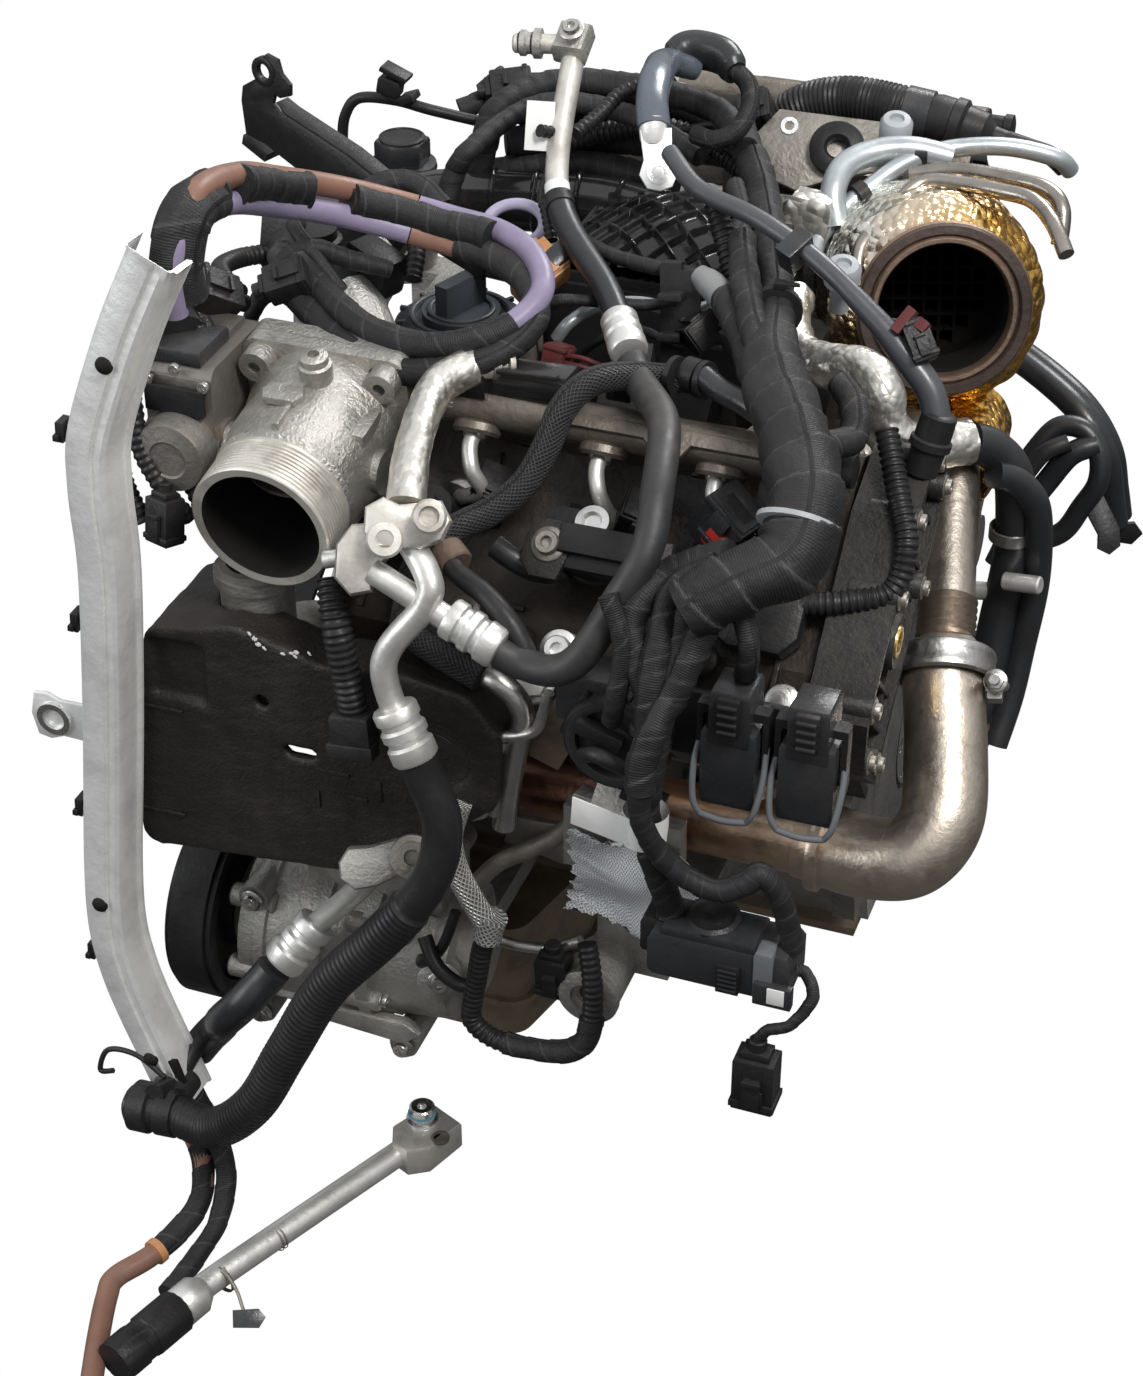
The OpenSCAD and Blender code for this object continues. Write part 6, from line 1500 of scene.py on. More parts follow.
# ------------ engine mount
# Cast alloy bracket and foot on the near side, bolted to the block. A boss, a pad and a small clip are added
# here.
finish(CAST_ALLOY, "engine_mount")
foot = Piece("mount_trim", "cast_alloy")
foot.bolt((-89, -323, 116), FRONT, 13, DULL_STEEL, "round")
foot.lathe([(7, 0), (17.4, 0), (18, 1), (18, 4), (16, 5), (10, 5.4), (9.6, 2), (7, 2), (7, 0)],
    (-104, -329, 4), FRONT, CAST_ALLOY, 44)
foot.box((-94, -322, 130), (44, 12, 14), CAST_ALLOY, UP, (0.2, 1, 0), 3)
foot.prism([(-26, -8), (18, -12), (26, 4), (10, 12), (-22, 10)], -3, 8, (-92, -318, 144), (0, -0.7, 0.7),
    CAST_ALLOY, 2, hint=(1, 0, 0))
foot.box((-74, -330, 150), (24, 8, 12), BLACK_PLASTIC, (0.3, 0, 1), BACK, 1.5)
foot.make()

# ------------ air conditioning compressor
# Die-cast alloy housing with bolted rings, cooling ribs, a port boss and a blank label. The ears of the front
# cover hold it, and a thin wire feeds its valve.
finish(CAST_ALLOY, "ac_compressor")
pump = Piece("compressor_trim", "cast_alloy")
C_Y, C_Z = -270.0, -40.0
for k in range(6):
    a = k * math.pi / 3 + 0.3
    spot = np.array([0, C_Y + 47 * math.cos(a), C_Z + 47 * math.sin(a)])
    for x0, x1 in ((-336, -306), (-262, -238)):
        pump.bar(spot + (x0, 0, 0), spot + (x1, 0, 0), 7.2, CAST_ALLOY, 20, 1.5)
    pump.bolt(spot + (-238, 0, 0), RIGHT, 8, SATIN_STEEL, "round")
pump.lathe([(49.8, 0), (52.2, 0.6), (52.2, 7), (50.2, 8), (50.2, 34), (52.4, 35), (52.4, 43), (49.8, 44)],
    (-318, C_Y, C_Z), RIGHT, CAST_ALLOY, 72)
for k in range(9):
    a = -2.5 + k * 0.25
    pump.prism([(-1.6, -3), (1.6, -3), (1.6, 3), (-1.6, 3)], 0, 26, (-310, C_Y + 51 * math.cos(a),
        C_Z + 51 * math.sin(a)), RIGHT, CAST_ALLOY, 0.6, hint=(0, math.cos(a), math.sin(a)))
for x, z in ((-318, 0), (-226, 0), (-318, -86), (-226, -86)):
    pump.bolt((x, -316, z), FRONT, 10, SATIN_STEEL, "round")
pump.box((-262, -318, -36), (26, 0.8, 17), WHITE_LABEL, (0.2, 0.1, 1), FRONT, 0.2)
pump.box((-258, -318.6, -30), (26, 0.7, 3), BLACK_PLASTIC, (0.2, 0.1, 1), FRONT, 0.2)
pump.tube([[-216, -304, -22], [-210, -318, -14], [-196, -322, 4], [-188, -318, 30]], 3.2, BLACK_PLASTIC, 12,
    1.5)
pump.lathe([(12, 0), (13, 1), (13, 10), (10, 12), (4, 12.6)], (-206, -302, -34), (0.3, -0.9, 0.2), CAST_ALLOY,
    30)
pump.bolt((-202, -313, -31), (0.3, -0.9, 0.2), 10, SATIN_STEEL, "round")
pump.prism([(-34, -4), (30, -8), (40, 2), (30, 8), (-34, 6)], -4, 4, (-252, -318, -70), FRONT, CAST_ALLOY,
    1.6)
pump.make()

# ------------ belt drive
# Pressed black pulleys, the alternator in its cast housing and one ribbed rubber belt round them all. A bolt
# holds the hub of the crank's and of the compressor's pulley.
finish(SATIN_STEEL, "crankshaft", "alternator_pulley")
finish(BLACK_STEEL, "crank_pulley", "compressor_pulley", "tensioner_pulley")
finish(CAST_ALLOY, "alternator")
finish(RUBBER, "accessory_belt")
for name, y, z, r, body in (("compressor", C_Y, C_Z, 58, "compressor_pulley_body"),
        ("crank", 0, 0, 78, "crank")):
    wheel = Piece(name + "_wheel_trim", "black_steel", body)
    hub = r * 0.45
    wheel.lathe([(3, -7), (hub * 0.5, -7), (hub * 0.55, -5), (hub, -3.5), (hub * 1.04, -1)], (-366, y, z),
        RIGHT, BLACK_STEEL, 48)
    wheel.bolt((-372, y, z), LEFT, 17, SATIN_STEEL)
    wheel.make()

# ------------ drier pipe
# Drawn alloy pipe on the ground, with a two-hole block brazed to one end and the fat ribbed service end. A
# wire holds a tag to it.
BLUE_SEAL = material("blue seal", (0.10, 0.32, 0.42), rough=0.4, dust=0.1, soil=0.1, mottle=0.2, bump=0.1,
    grain=200.0)
finish(PIPE_ALLOY, "drier_pipe")
drier = Piece("drier_pipe", "pipe_alloy", replaces=("drier_pipe",))
A, B, D = np.array([-318.0, -500, -186]), np.array([-302.0, -452, -186]), np.array([-230.0, -284, -189])
along = unit(B - A)
drier.lathe([(7, -16), (12.6, -15), (13.2, -10), (13.2, 2), (12.4, 3), (12.4, 9), (13.4, 10), (13.4, 34),
    (12, 36)], A, along, BLACK_PLASTIC, 40, wave=lambda h, a: 1 + 0.02 * np.cos(14 * a))
drier.lathe([(11.5, 0), (12.2, 1), (12.2, 14), (9.4, 18), (8.2, 20)], A + along * 36, along, PIPE_ALLOY, 36)
drier.tube([A + along * 50, B + along * 20, D - along * 10, D], 7.9, PIPE_ALLOY, 30, 3)
for t in (0.33, 0.345):
    drier.lathe([(7.8, -0.6), (8.3, 0), (7.8, 0.6)], B + (D - B) * t, along, DULL_STEEL, 24, caps=False)
drier.prism([(-17, -13), (14, -15), (24, -5), (24, 8), (12, 16), (-17, 14)], -11, 11, D + (4, -3, 2), UP,
    STAINED_ALLOY, 2.6, hint=(0.9, -0.4, 0))
drier.lathe([(3, 8), (3, 12), (6.6, 12.4), (8, 11.4), (8, 4), (10, 3), (10, 0)], D + (0, 1, 12), UP, MACHINED,
    36)
drier.lathe([(8.0, 5.8), (8.9, 7), (8.0, 8.2)], D + (0, 1, 12), UP, BLUE_SEAL, 36, caps=False)
drier.lathe([(5.6, 0), (5.8, 1.6), (4.4, 1.8), (4.2, 0.4), (0.4, 0.4)], D + (17, -11, 12.6), UP, DULL_STEEL,
    24)
tag = B + (D - B) * 0.10
drier.tube([tag + (2, 0, 8.4), tag + (10, -5, 5), tag + (15, -8, 0), tag + (19, -12, -4), tag + (22, -15, -6)],
    1.1, DULL_STEEL, 8, 1)
drier.lathe([(7.9, -1.4), (8.8, -0.6), (8.8, 0.6), (7.9, 1.4)], tag + (2, -1, 0), along, DULL_STEEL, 24,
    caps=False)
drier.prism([(-9, -5), (6, -6), (10, 0), (6, 5), (-9, 5)], -0.7, 0.7, tag + (26, -18, -6), (0.25, -0.55, 0.8),
    GREY_PLASTIC, 0.3)
drier.make()

# ------------ coolant hoses and stub
# Moulded rubber hoses at the gearbox end, held by steel band clamps, and a convoluted hose over the far bank.
# The cast alloy stub comes through the foam at the other end.
finish(RUBBER, "coolant_hoses")
finish(CAST_ALLOY, "coolant_stub")
COOL = [[36.6, -103.5, 261.6], [47, -95, 255], [58, -88, 240], [62, -84, 218], [63, -80, 180], [60, -84, 140],
    [58, -94, 110], [54, -108, 84]]
PAIR = [[-17, 138, 196], [-8, 138, 196], [14, 130, 196], [48, 104, 192], [72, 88, 182], [88, 84, 160],
    [94, 88, 132], [98, 92, 110]]
CONVOLUTED = [[-148, 100, 322], [-138, 106, 338], [-122, 108, 352], [-96, 108, 360], [-66, 106, 360],
    [-44, 104, 357]]
coolant = Piece("coolant_hoses", "rubber_black", replaces=("coolant_hoses",))
coolant.tube(COOL, 11.4, SATIN_RUBBER, 28, 2)
coolant.tube(np.array(COOL) + (15, -2, -16), 8.2, SATIN_RUBBER, 24, 2)
coolant.tube(PAIR, 8.2, SATIN_RUBBER, 22, 2)
coolant.tube(np.array(PAIR) + (0, 16.6, -4), 8.2, SATIN_RUBBER, 22, 2)
coolant.tube(CONVOLUTED, 13.4, RUBBER, 34, 0.7, rings(2.9, 0.035))
coolant.lathe([(13, -9), (15.4, -8), (15.4, 8), (13.4, 9)], (-52, 105, 358), (1, 0, -0.1), GREY_PLASTIC, 36,
    caps=False)
coolant.lathe([(14, 0), (15, 4), (15, 13), (16.4, 14), (16.4, 20), (13.6, 22), (12.4, 34), (6.4, 40),
    (5.4, 52)], (-44, 104, 357.4), (1, -0.05, -0.15), RUBBER, 36)
coolant.tube([[4, 101, 351], [20, 96, 350], [32, 90, 350], [42, 84, 346]], 5.6, RUBBER, 20, 1.6)
coolant.lathe([(11.6, -4), (12.6, -3.6), (12.6, 3.6), (11.6, 4)], (61, -82, 196), UP, SATIN_STEEL, 30,
    caps=False)
coolant.lathe([(11.6, -4), (12.8, -3.6), (12.8, 3.6), (11.6, 4)], (57, -98, 104), (0.1, 0.4, 1), SATIN_STEEL,
    30, caps=False)
coolant.prism([(-9, -6), (6, -8), (12, 0), (6, 8), (-9, 6)], -1.6, 1.6, (104, 92, 104), (0.3, -1, 0),
    BLACK_STEEL, 0.6)
coolant.bar((62, -96, 172), (84, -100, 176), 5.2, PIPE_ALLOY, 20, 1)
coolant.make()

# ------------ small hoses over the near cover
# Braided fuel hose that climbs over the rail, the moulded return block with its bolt, and short rubber hoses.
# Push-on ends and bolted eyes hold them.
BLACK_BRAID = material("black braid", (0.026, 0.027, 0.030), dust=0.08, soil=0.1, mottle=0.2,
    braid={"Count": 19.0, "Pitch": 0.0030, "Strength": 0.9}, shine=0.5)
RUSTY = material("rusty", (0.13, 0.085, 0.065), metal=0.35, rough=0.7, soil=0.5, mottle=0.6, bump=0.7,
    grain=200.0)
FUEL_HOSE = [[-92, -207, 330], [-108, -212, 330], [-120, -220, 333], [-134, -233, 335], [-143, -243, 331],
    [-149, -252, 322], [-153, -262, 307], [-160, -275, 291]]
FUEL_HOSE += [[-172, -290, 281], [-186, -305, 276], [-197, -317, 268], [-203, -324, 256], [-205, -328, 244]]
small = Piece("cover_hoses", "rubber_black")
small.tube(FUEL_HOSE, 7.6, BLACK_BRAID, 30, 1.2)
small.tube([[-210, -322, 224], [-200, -326, 218], [-181, -330, 212], [-163, -333, 207]], 8.6, BLACK_BRAID, 26,
    1.2)
small.tube([[-186, -318, 268], [-176, -330, 266], [-156, -342, 264], [-140, -350, 256], [-130, -355, 244],
    [-126, -357, 232]], 5.6, RUBBER, 20, 1.6)
small.lathe([(8.4, -9), (9.4, -8), (9.4, 2), (7.6, 4)], (-186, -318, 268), (-0.7, 0.5, 0.3), RUSTY, 28)
small.tube([[-84, -214, 336], [-72, -222, 334], [-58, -230, 334], [-46, -236, 332]], 6.4, GREY_PLASTIC, 22,
    1.6)
small.lathe([(7, -5), (9.6, -4), (9.6, 4), (7, 5)], (-92, -208, 332), (1, -0.3, 0), BLACK_PLASTIC, 30)
for x in (-84, -100):
    small.lathe([(7, -2.2), (10.2, -1.6), (10.2, 1.6), (7, 2.2)], (x, -212, 333), (1, -0.3, 0.1),
        BLACK_PLASTIC, 30)
small.box((-112, -277, 257), (68, 24, 20), BLACK_PLASTIC, UP_NEAR, ACROSS_NEAR, 3)
small.box((-116, -283, 268), (44, 16, 8), BLACK_PLASTIC, UP_NEAR, ACROSS_NEAR, 2)
small.lathe([(9, -8), (9.6, 4), (9, 5.4), (5.4, 5.8), (4.4, 3), (0.4, 3)], (-124, -270, 270), (0, -0.55, 0.83),
    BRIGHT_ALLOY, 32)
small.tube([[-174, -282, 254], [-164, -284, 250], [-154, -284, 246], [-143, -284, 246], [-134, -283, 250]],
    6.6, SATIN_RUBBER, 22, 1.6)
small.prism([(-14, -11), (10, -13), (18, -6), (18, 9), (2, 13), (-14, 10)], 0, 7, (-144, -281, 259), UP_NEAR,
    DUSTY_PLASTIC, 1.6, hint=(1, 0, 0))
small.bolt((-143, -286, 264), UP_NEAR, 13, DULL_STEEL, "round")
small.bolt((-115, -346, 243), (0, -0.8, 0.6), 14, BRIGHT_ALLOY, "round")
small.bar((-115, -330, 231), (-115, -343, 241), 9.4, BRIGHT_ALLOY, 26, 1)
for x, q in ((-192, -52), (-60, -52)):
    small.lathe([(8.2, -1), (9.4, 0), (9.4, 7), (7.6, 8.4), (4.4, 8.6), (4.2, 3), (0.4, 3)], near(x, q, 345),
        UP_NEAR, COVER_BROWN, 30)
small.lathe([(9, 0), (8, 3.4), (5, 5.4), (0.4, 6)], near(-160, -62, 345), UP_NEAR, COVER_BROWN, 30)
small.make()

# ------------ engine wiring over the top
# Taped bundles, ribbed conduits and their plugs, laid by hand behind the duct, round the throttle and over
# the manifold. Clips and the plugs themselves hold them.
ALU_PIPE = material("alloy pipe", (0.46, 0.50, 0.52), metal=0.65, rough=0.36, dust=0.1, soil=0.2, mottle=0.2,
    bump=0.12, grain=150.0)


def wavy(points, amount, seed=1):
    """Route with its inner points nudged: hand-laid cables aren't smooth."""
    random = np.random.default_rng(seed)
    p = np.asarray(points, float).copy()
    p[1:-1] += random.uniform(-amount, amount, p[1:-1].shape)
    return p


wires = Piece("top_wiring", "tape")
BUNDLES = (
    ([[-303, 22, 318], [-300, 26, 338], [-293, 35, 352], [-274, 62, 362], [-242, 70, 366], [-202, 65, 366],
    [-163, 62, 360], [-135, 23, 356]], 8.4),
    ([[-309, -16, 312], [-305, -12, 332], [-297, -6, 346], [-281, 37, 354], [-247, 49, 358], [-208, 46, 356],
    [-162, 23, 348]], 6.6),
    ([[-342, -150, 352], [-330, -176, 362], [-312, -190, 354], [-296, -196, 340]], 4.6),
    ([[-330, 60, 338], [-290, 86, 350], [-240, 92, 350], [-190, 88, 344], [-150, 70, 338]], 7.0),
    ([[-324, 84, 326], [-280, 104, 338], [-220, 108, 340], [-168, 100, 330]], 5.6),
    ([[-349, -196, 322], [-336, -192, 346], [-318, -184, 358], [-298, -176, 352], [-280, -166, 342]], 5.4),
    ([[-352, -204, 308], [-342, -202, 330], [-324, -194, 338], [-306, -190, 326]], 4.4),
    ([[-300, 60, 322], [-262, 78, 321], [-214, 84, 322], [-170, 82, 324], [-128, 72, 326]], 9.0),
    ([[-298, 82, 330], [-250, 96, 334], [-204, 98, 336], [-160, 92, 338], [-122, 78, 338]], 8.4),
    ([[-128, -20, 352], [-112, -60, 352], [-106, -96, 350], [-100, -120, 340]], 6.2),
    ([[-92, -118, 352], [-66, -150, 338], [-42, -180, 322], [-36, -206, 306]], 4.6),
    ([[-310, 60, 300], [-270, 68, 307], [-230, 71, 308], [-190, 67, 306]], 9.4),
)
for k, (route, r) in enumerate(BUNDLES):
    wires.tube(wavy(route, 2.0, k), r, FINE_TAPE, 18, 1.4, taped(11.0, 0.08, k))
CONDUITS = (
    ([[-228, -70, 392], [-220, -60, 384], [-222, -80, 361], [-216, -90, 351], [-210, -100, 341]], 3.4),
    ([[-228, -11, 366], [-220, 7, 372], [-212, 24, 378], [-200, 31, 384]], 4.4),
    ([[-262, 56, 328], [-236, 66, 336], [-200, 70, 340], [-168, 66, 336], [-140, 50, 328]], 6.6),
    ([[-115, -100, 378], [-103, -115, 360], [-93, -130, 345], [-91, -150, 330]], 6.0),
    ([[-384, -250, 330], [-392, -262, 318], [-392, -282, 290], [-384, -296, 262], [-368, -306, 242]], 4.6),
    ([[9, -192, 310], [24, -215, 287], [33, -232, 270], [29, -246, 250], [10, -256, 243], [-14, -262, 241]],
    6.0),
    ([[-243, -338, 252], [-236, -350, 236], [-229, -357, 206], [-224, -358, 182]], 7.6),
)
for k, (route, r) in enumerate(CONDUITS):
    wires.tube(wavy(route, 1.0, k + 20), r, RUBBER, 20, 0.8, rings(3.9, 0.08))
for k in range(16):
    seed = np.random.default_rng(100 + k)
    a = np.array([-330 + 12 * k, seed.uniform(52, 100), seed.uniform(326, 350)])
    b = a + (seed.uniform(20, 60), seed.uniform(-20, 30), seed.uniform(-10, 12))
    wires.tube([a, (a * 2 + b) / 3 + (4, 6, 10), (a + 2 * b) / 3 + (-3, -4, 8), b], seed.uniform(1.6, 3.0),
        RUBBER, 10, 2.0)
wires.tube([[-397, 30, 292], [-397, 30, 320], [-394, 30, 338], [-384, 30, 350], [-360, 30, 352],
    [-336, 32, 348], [-300, 50, 336]], 3.4, RUBBER, 16, 1.4)
wires.tube([[-186, -158, 312], [-179, -154, 322], [-168, -139, 326], [-147, -131, 328], [-118, -132, 328],
    [-104, -112, 330]], 3.6, ALU_PIPE, 18, 1.4)
wires.tube([[-176, -160, 300], [-161, -156, 315], [-142, -147, 320], [-118, -150, 316], [-99, -136, 310]], 2.6,
    RUBBER, 14, 1.6)
wires.tube([[-190, -158, 330], [-181, -165, 340], [-160, -152, 336], [-140, -144, 334], [-122, -142, 338]],
    3.2, FINE_TAPE, 16, 1.6)
wires.box((-362, 28, 362), (14, 10, 12), BLACK_PLASTIC, (0.2, 0, 1), BACK, 2)
wires.box((-358, 28, 371), (18, 12, 4), BLACK_PLASTIC, (0.4, 0, 1), BACK, 1)
wires.box((-350, 28, 356), (10, 12, 5), BLACK_PLASTIC, (-0.4, 0, 1), BACK, 1)
wires.box((-224, -361, 176), (22, 13, 22), BLACK_PLASTIC, (0.1, -0.1, -1), FRONT, 2)
wires.box((-224, -364, 166), (26, 10, 9), BLACK_PLASTIC, (0.1, -0.1, -1), FRONT, 1.5)
for at, axis, size in (
    ((-300, 72, 352), (0.9, 0.4, 0.1), (20, 15, 26)),
    ((-214, 96, 352), (0.9, -0.4, 0.1), (18, 15, 26)),
    ((-150, 84, 352), (0.9, 0.2, 0.3), (20, 17, 28)),
    ((-200, -178, 318), (0.2, -0.9, 0.1), (22, 18, 30)),
    ((-318, -216, 352), (0.8, 0.3, 0.3), (17, 14, 24)),
    ((-356, -228, 344), (-0.5, -0.6, 0.5), (20, 16, 26)),
    ((-72, -176, 340), (0.6, -0.7, 0.2), (18, 16, 28)),
    ((-128, -196, 322), (0.2, -0.9, -0.2), (20, 17, 26)),
):
    plug(wires, at, axis, OBLIQUE, size)
wires.make()

# ------------ coded plugs
# Plugs whose colours tell them apart: orange, dark red, a red locking slide, a lavender ring, a brown clip.
# Moulded nylon, pushed onto their sockets until they latch.
BROWN_CLIP = material("brown clip", (0.30, 0.15, 0.07), rough=0.45, dust=0.15, bump=0.15)
LAVENDER = material("lavender", (0.36, 0.33, 0.46), rough=0.45, dust=0.2, soil=0.2, mottle=0.2, bump=0.1)
BRIGHT_RED = material("bright red", (0.50, 0.03, 0.025), rough=0.4, dust=0.1, soil=0.1, mottle=0.1, bump=0.05)
RED_PLASTIC = material("red plastic", (0.105, 0.022, 0.024), rough=0.42, dust=0.12, soil=0.2, mottle=0.2,
    bump=0.1)
coded = Piece("coded_plugs", "black_plastic")
plug(coded, (-206, -124, 336), (0.75, -0.3, -0.45), OBLIQUE, (20, 17, 24), ORANGE_PLASTIC)
coded.box((-214, -130, 326), (15, 14, 13), BROWN_CLIP, (0.75, -0.3, -0.45), OBLIQUE, 2)
coded.box((-197, -120, 343), (16, 14, 12), GREY_PLASTIC, (0.75, -0.3, -0.45), OBLIQUE, 2)
ring_line = [(-239 + 17 * math.cos(t), -82 + 13 * math.sin(t),
    338 + 7 * math.sin(t)) for t in np.linspace(-0.6, 3.9, 14)]
coded.tube(ring_line, 3.4, LAVENDER, 16, 1.2)
plug(coded, (-176, -184, 314), (0.1, 0.35, 0.9), (0.9, 0, 0.2), (15, 12, 18), RED_PLASTIC)
for k in range(4):
    coded.tube([[-170, -186 - 2 * k, 318 - 3 * k], [-160, -190 - 2 * k, 321 - 4 * k],
        [-150, -190, 319 - 4 * k], [-141, -188, 318 - 3.6 * k]], 1.5, RED_PLASTIC, 10, 1.4)
coded.box((-136, -190, 312), (14, 12, 22), GREY_PLASTIC, (0, 0.3, 0.9), FRONT, 2)
coded.box((-198, -186, 318), (24, 14, 26), DULL_STEEL, (-0.1, 0.3, 0.9), FRONT, 2)
plug(coded, (-58, -252, 276), (0.5, -0.25, 0.8), (-0.3, -0.8, 0), (26, 20, 34), GREY_PLASTIC)
coded.box((-60, -263, 270), (13, 4, 14), BRIGHT_RED, (0.5, -0.25, 0.8), (-0.3, -0.8, 0), 1)
coded.box((-52, -258, 286), (18, 8, 10), BLACK_PLASTIC, (0.5, -0.25, 0.8), (-0.3, -0.8, 0), 1.5)
plug(coded, (18, -170, 352), (0.5, -0.4, -0.7), (0.4, -0.8, 0.3), (13, 11, 20), BLACK_PLASTIC)
coded.box((8, -166, 361), (15, 7, 6), RED_PLASTIC, (0.8, -0.3, -0.3), (0.2, -0.8, 0.5), 1)
coded.box((18, -168, 361), (6, 6, 7), RED_PLASTIC, (0.8, -0.3, -0.3), (0.2, -0.8, 0.5), 1)
coded.make()

# ------------ ground lead and sensor lead
# Heavy lead in grey-blue heat-shrink with a pressed ring lug below and a black moulded cap above. Beside it
# runs the long sleeve of the exhaust sensor's lead, which ends in a black boot.
SHRINK = material("heat shrink", (0.082, 0.098, 0.122), rough=0.26, dust=0.06, soil=0.12, mottle=0.2, bump=0.1,
    grain=120.0, shine=0.5, coat=0.3)
LEAD_GREY = material("lead sleeve", (0.050, 0.054, 0.062), rough=0.36, dust=0.08, soil=0.12, mottle=0.2,
    bump=0.1, grain=120.0, shine=0.5, coat=0.15)
lug = Piece("ground_lead", "rubber_black")
lug.tube([[-175, 46, 393], [-186, 31, 400], [-180, -6, 408], [-174, -34, 404], [-168, -48, 394]], 8.6, SHRINK,
    28, 1.6, lambda s, a: 1 - 0.10 * np.cos(2 * a) + 0.02 * np.sin(s / 5))
lug.prism([(-9, -11), (9, -11), (8, 6), (11, 14), (7, 22), (0, 24), (-7, 22), (-11, 14), (-8, 6)], -1.6, 1.6,
    (-164, -54, 384), FACING, CHANNEL_ALLOY, 0.6, hint=(0.25, -0.5, -0.75))
lug.lathe([(3.6, -2), (3.6, 2.2), (6.6, 2.2), (6.6, -2), (3.6, -2)], (-160.6, -61, 373), FACING, MACHINED, 30)
lug.lathe([(8.4, 0), (8.0, 6), (7.0, 13), (5.5, 15)], (-170, -44, 398), (0.15, -0.45, -0.85), CHANNEL_ALLOY,
    30, caps=False)
SHELL = [[-187, 40, 396], [-180, 48, 401], [-170, 50, 402], [-156, 46, 401], [-147, 38, 396]]
lug.tube(SHELL, 8.2, GREY_PLASTIC, 36, 1.0, lambda s, a: (1 + 0.3 * np.cos(a) ** 2) * np.interp(s,
    [0, 4, 9, 36, 46, 50], [0.7, 1.05, 1.15, 1.1, 1.0, 0.8]))
lug.tube(np.array(SHELL[1:]) + (0, 2, 8), 2.6, BLACK_PLASTIC, 14, 1.2)
lug.tube([[-150, 40, 398], [-138, 34, 392], [-133, 22, 383], [-136, 8, 374], [-148, 4, 368], [-162, 12, 366]],
    5.6, TAPE, 22, 1.4)
SLEEVE = [[-150, -74, 392], [-130, -98, 388], [-112, -110, 386], [-76, -130, 385], [-37, -150, 374],
    [-8, -162, 357], [10, -170, 344], [26, -176, 330], [33, -182, 314]]
lug.tube(SLEEVE, 5.2, LEAD_GREY, 24, 1.6, lambda s, a: 1 + 0.45 * np.clip((s - 150) / 60, 0,
    1) + 0.05 * np.sin(s / 9.0) * np.cos(a))
lug.box((-58, -142, 379), (18, 16, 12), GREY_PLASTIC, (0.8, -0.4, -0.2), OBLIQUE, 2)
lug.lathe([(7.6, 0), (9.6, 1.5), (9.8, 14), (11.2, 15), (11.2, 19), (9.4, 20), (8.6, 34), (6.2, 36),
    (0.4, 36)], (34, -181, 320), (-0.18, -0.22, -0.95), RUBBER, 30)
lug.tube([[2, -152, 354], [3, -156, 345], [14, -164, 336], [26, -172, 330]], 4.0, LEAD_GREY, 18, 1.4)
lug.make()

# ------------ rear pipes and bracket
# Stainless carrying frame, two light alloy vacuum pipes, pale caps on the service ports and a plate for the
# hoses. Bent from drawn tube and pressed sheet; black clips and bright bolts hold them.
TAN_FOIL = material("tan foil", (0.42, 0.30, 0.20), metal=0.9, rough=0.4, dust=0.1, mottle=0.4,
    foil={"Cell": 120.0, "Strength": 0.9, "From": 9.0, "To": 10.0}, dust_color=(0.3, 0.22, 0.15))
STAINLESS = material("stainless", (0.36, 0.33, 0.295), metal=1.0, rough=0.30, dust=0.12, soil=0.35, bump=0.15,
    grain=240.0)
finish(PIPE_ALLOY, "rear_pipes")
finish(DULL_STEEL, "rear_bracket")
aft = Piece("rear_pipes", "satin_steel", replaces=("rear_pipes",))
PLATE_FACE = (0.15, -0.72, 0.68)
aft.tube([[-43, -60, 322], [-46, -44, 338], [-37, -20, 350], [-24, 0, 362], [0, 2, 364], [22, -2, 365],
    [41, -10, 366], [56, -26, 362], [68, -42, 352]], 4.6, STAINLESS, 22, 1.6)
aft.tube([[-36, 22, 356], [-8, 26, 361], [26, 22, 362], [46, 14, 362], [56, 4, 356], [58, -6, 340]], 4.8,
    STAINLESS, 22, 1.6)
aft.tube([[-70, -6, 330], [-76, 4, 346], [-74, 22, 356], [-60, 38, 360], [-40, 46, 361], [-18, 50, 357]], 7.6,
    ALU_PIPE, 26, 1.6)
aft.tube([[-78, -26, 318], [-78, -12, 326], [-68, 8, 338], [-58, 20, 346], [-42, 38, 356], [-21, 56, 360],
    [10, 66, 362], [38, 74, 356], [46, 82, 346]], 5.4, ALU_PIPE, 24, 1.6)
for at, way in (((-62, 14, 343), (0.6, 0.7, 0.3)), ((-36, 46, 359), (1, 0.3, 0))):
    aft.lathe([(6, -4), (7.6, -3.6), (7.6, 3.6), (6, 4)], at, way, BLACK_PLASTIC, 24, caps=False)
for x, y, z in ((-56, 66, 362), (-33, -138, 366)):
    aft.lathe([(5.4, -22), (5.4, -6), (6.4, -5), (9.6, -3), (9.8, 6), (8, 9), (4.4, 9.6), (3.8, 7.4),
        (0.4, 7.2)], (x, y, z), (0.1, -0.25, 0.96), LIGHT_PLASTIC, 30)
aft.prism([(-52, -16), (-34, 14), (30, 18), (46, 8), (34, -12), (8, -22), (-14, -34), (-30, -30)], -2, 2,
    (-98, 78, 344), PLATE_FACE, DULL_STEEL, 1, hint=(0, 0.6, 0.7))
aft.lathe([(6, -1), (15, -1), (16.6, 1), (16.6, 5), (12, 7), (8, 7), (6, 5), (6, -1)], (-92, 72, 342),
    PLATE_FACE, BLACK_STEEL, 36)
aft.bolt((-124, 80, 348), PLATE_FACE, 12, MACHINED, "round")
aft.bolt((-60, 84, 352), PLATE_FACE, 11, MACHINED, "round")
aft.tube([[-96, 30, 330], [-100, 20, 322], [-100, 2, 314], [-96, -16, 306]], 9.0, DULL_STEEL, 26, 1.6)
aft.lathe([(9.2, -6), (11.2, -5), (11.2, 5), (9.2, 6)], (-99, 16, 322), (0, 0.8, 0.6), SATIN_STEEL, 28,
    caps=False)
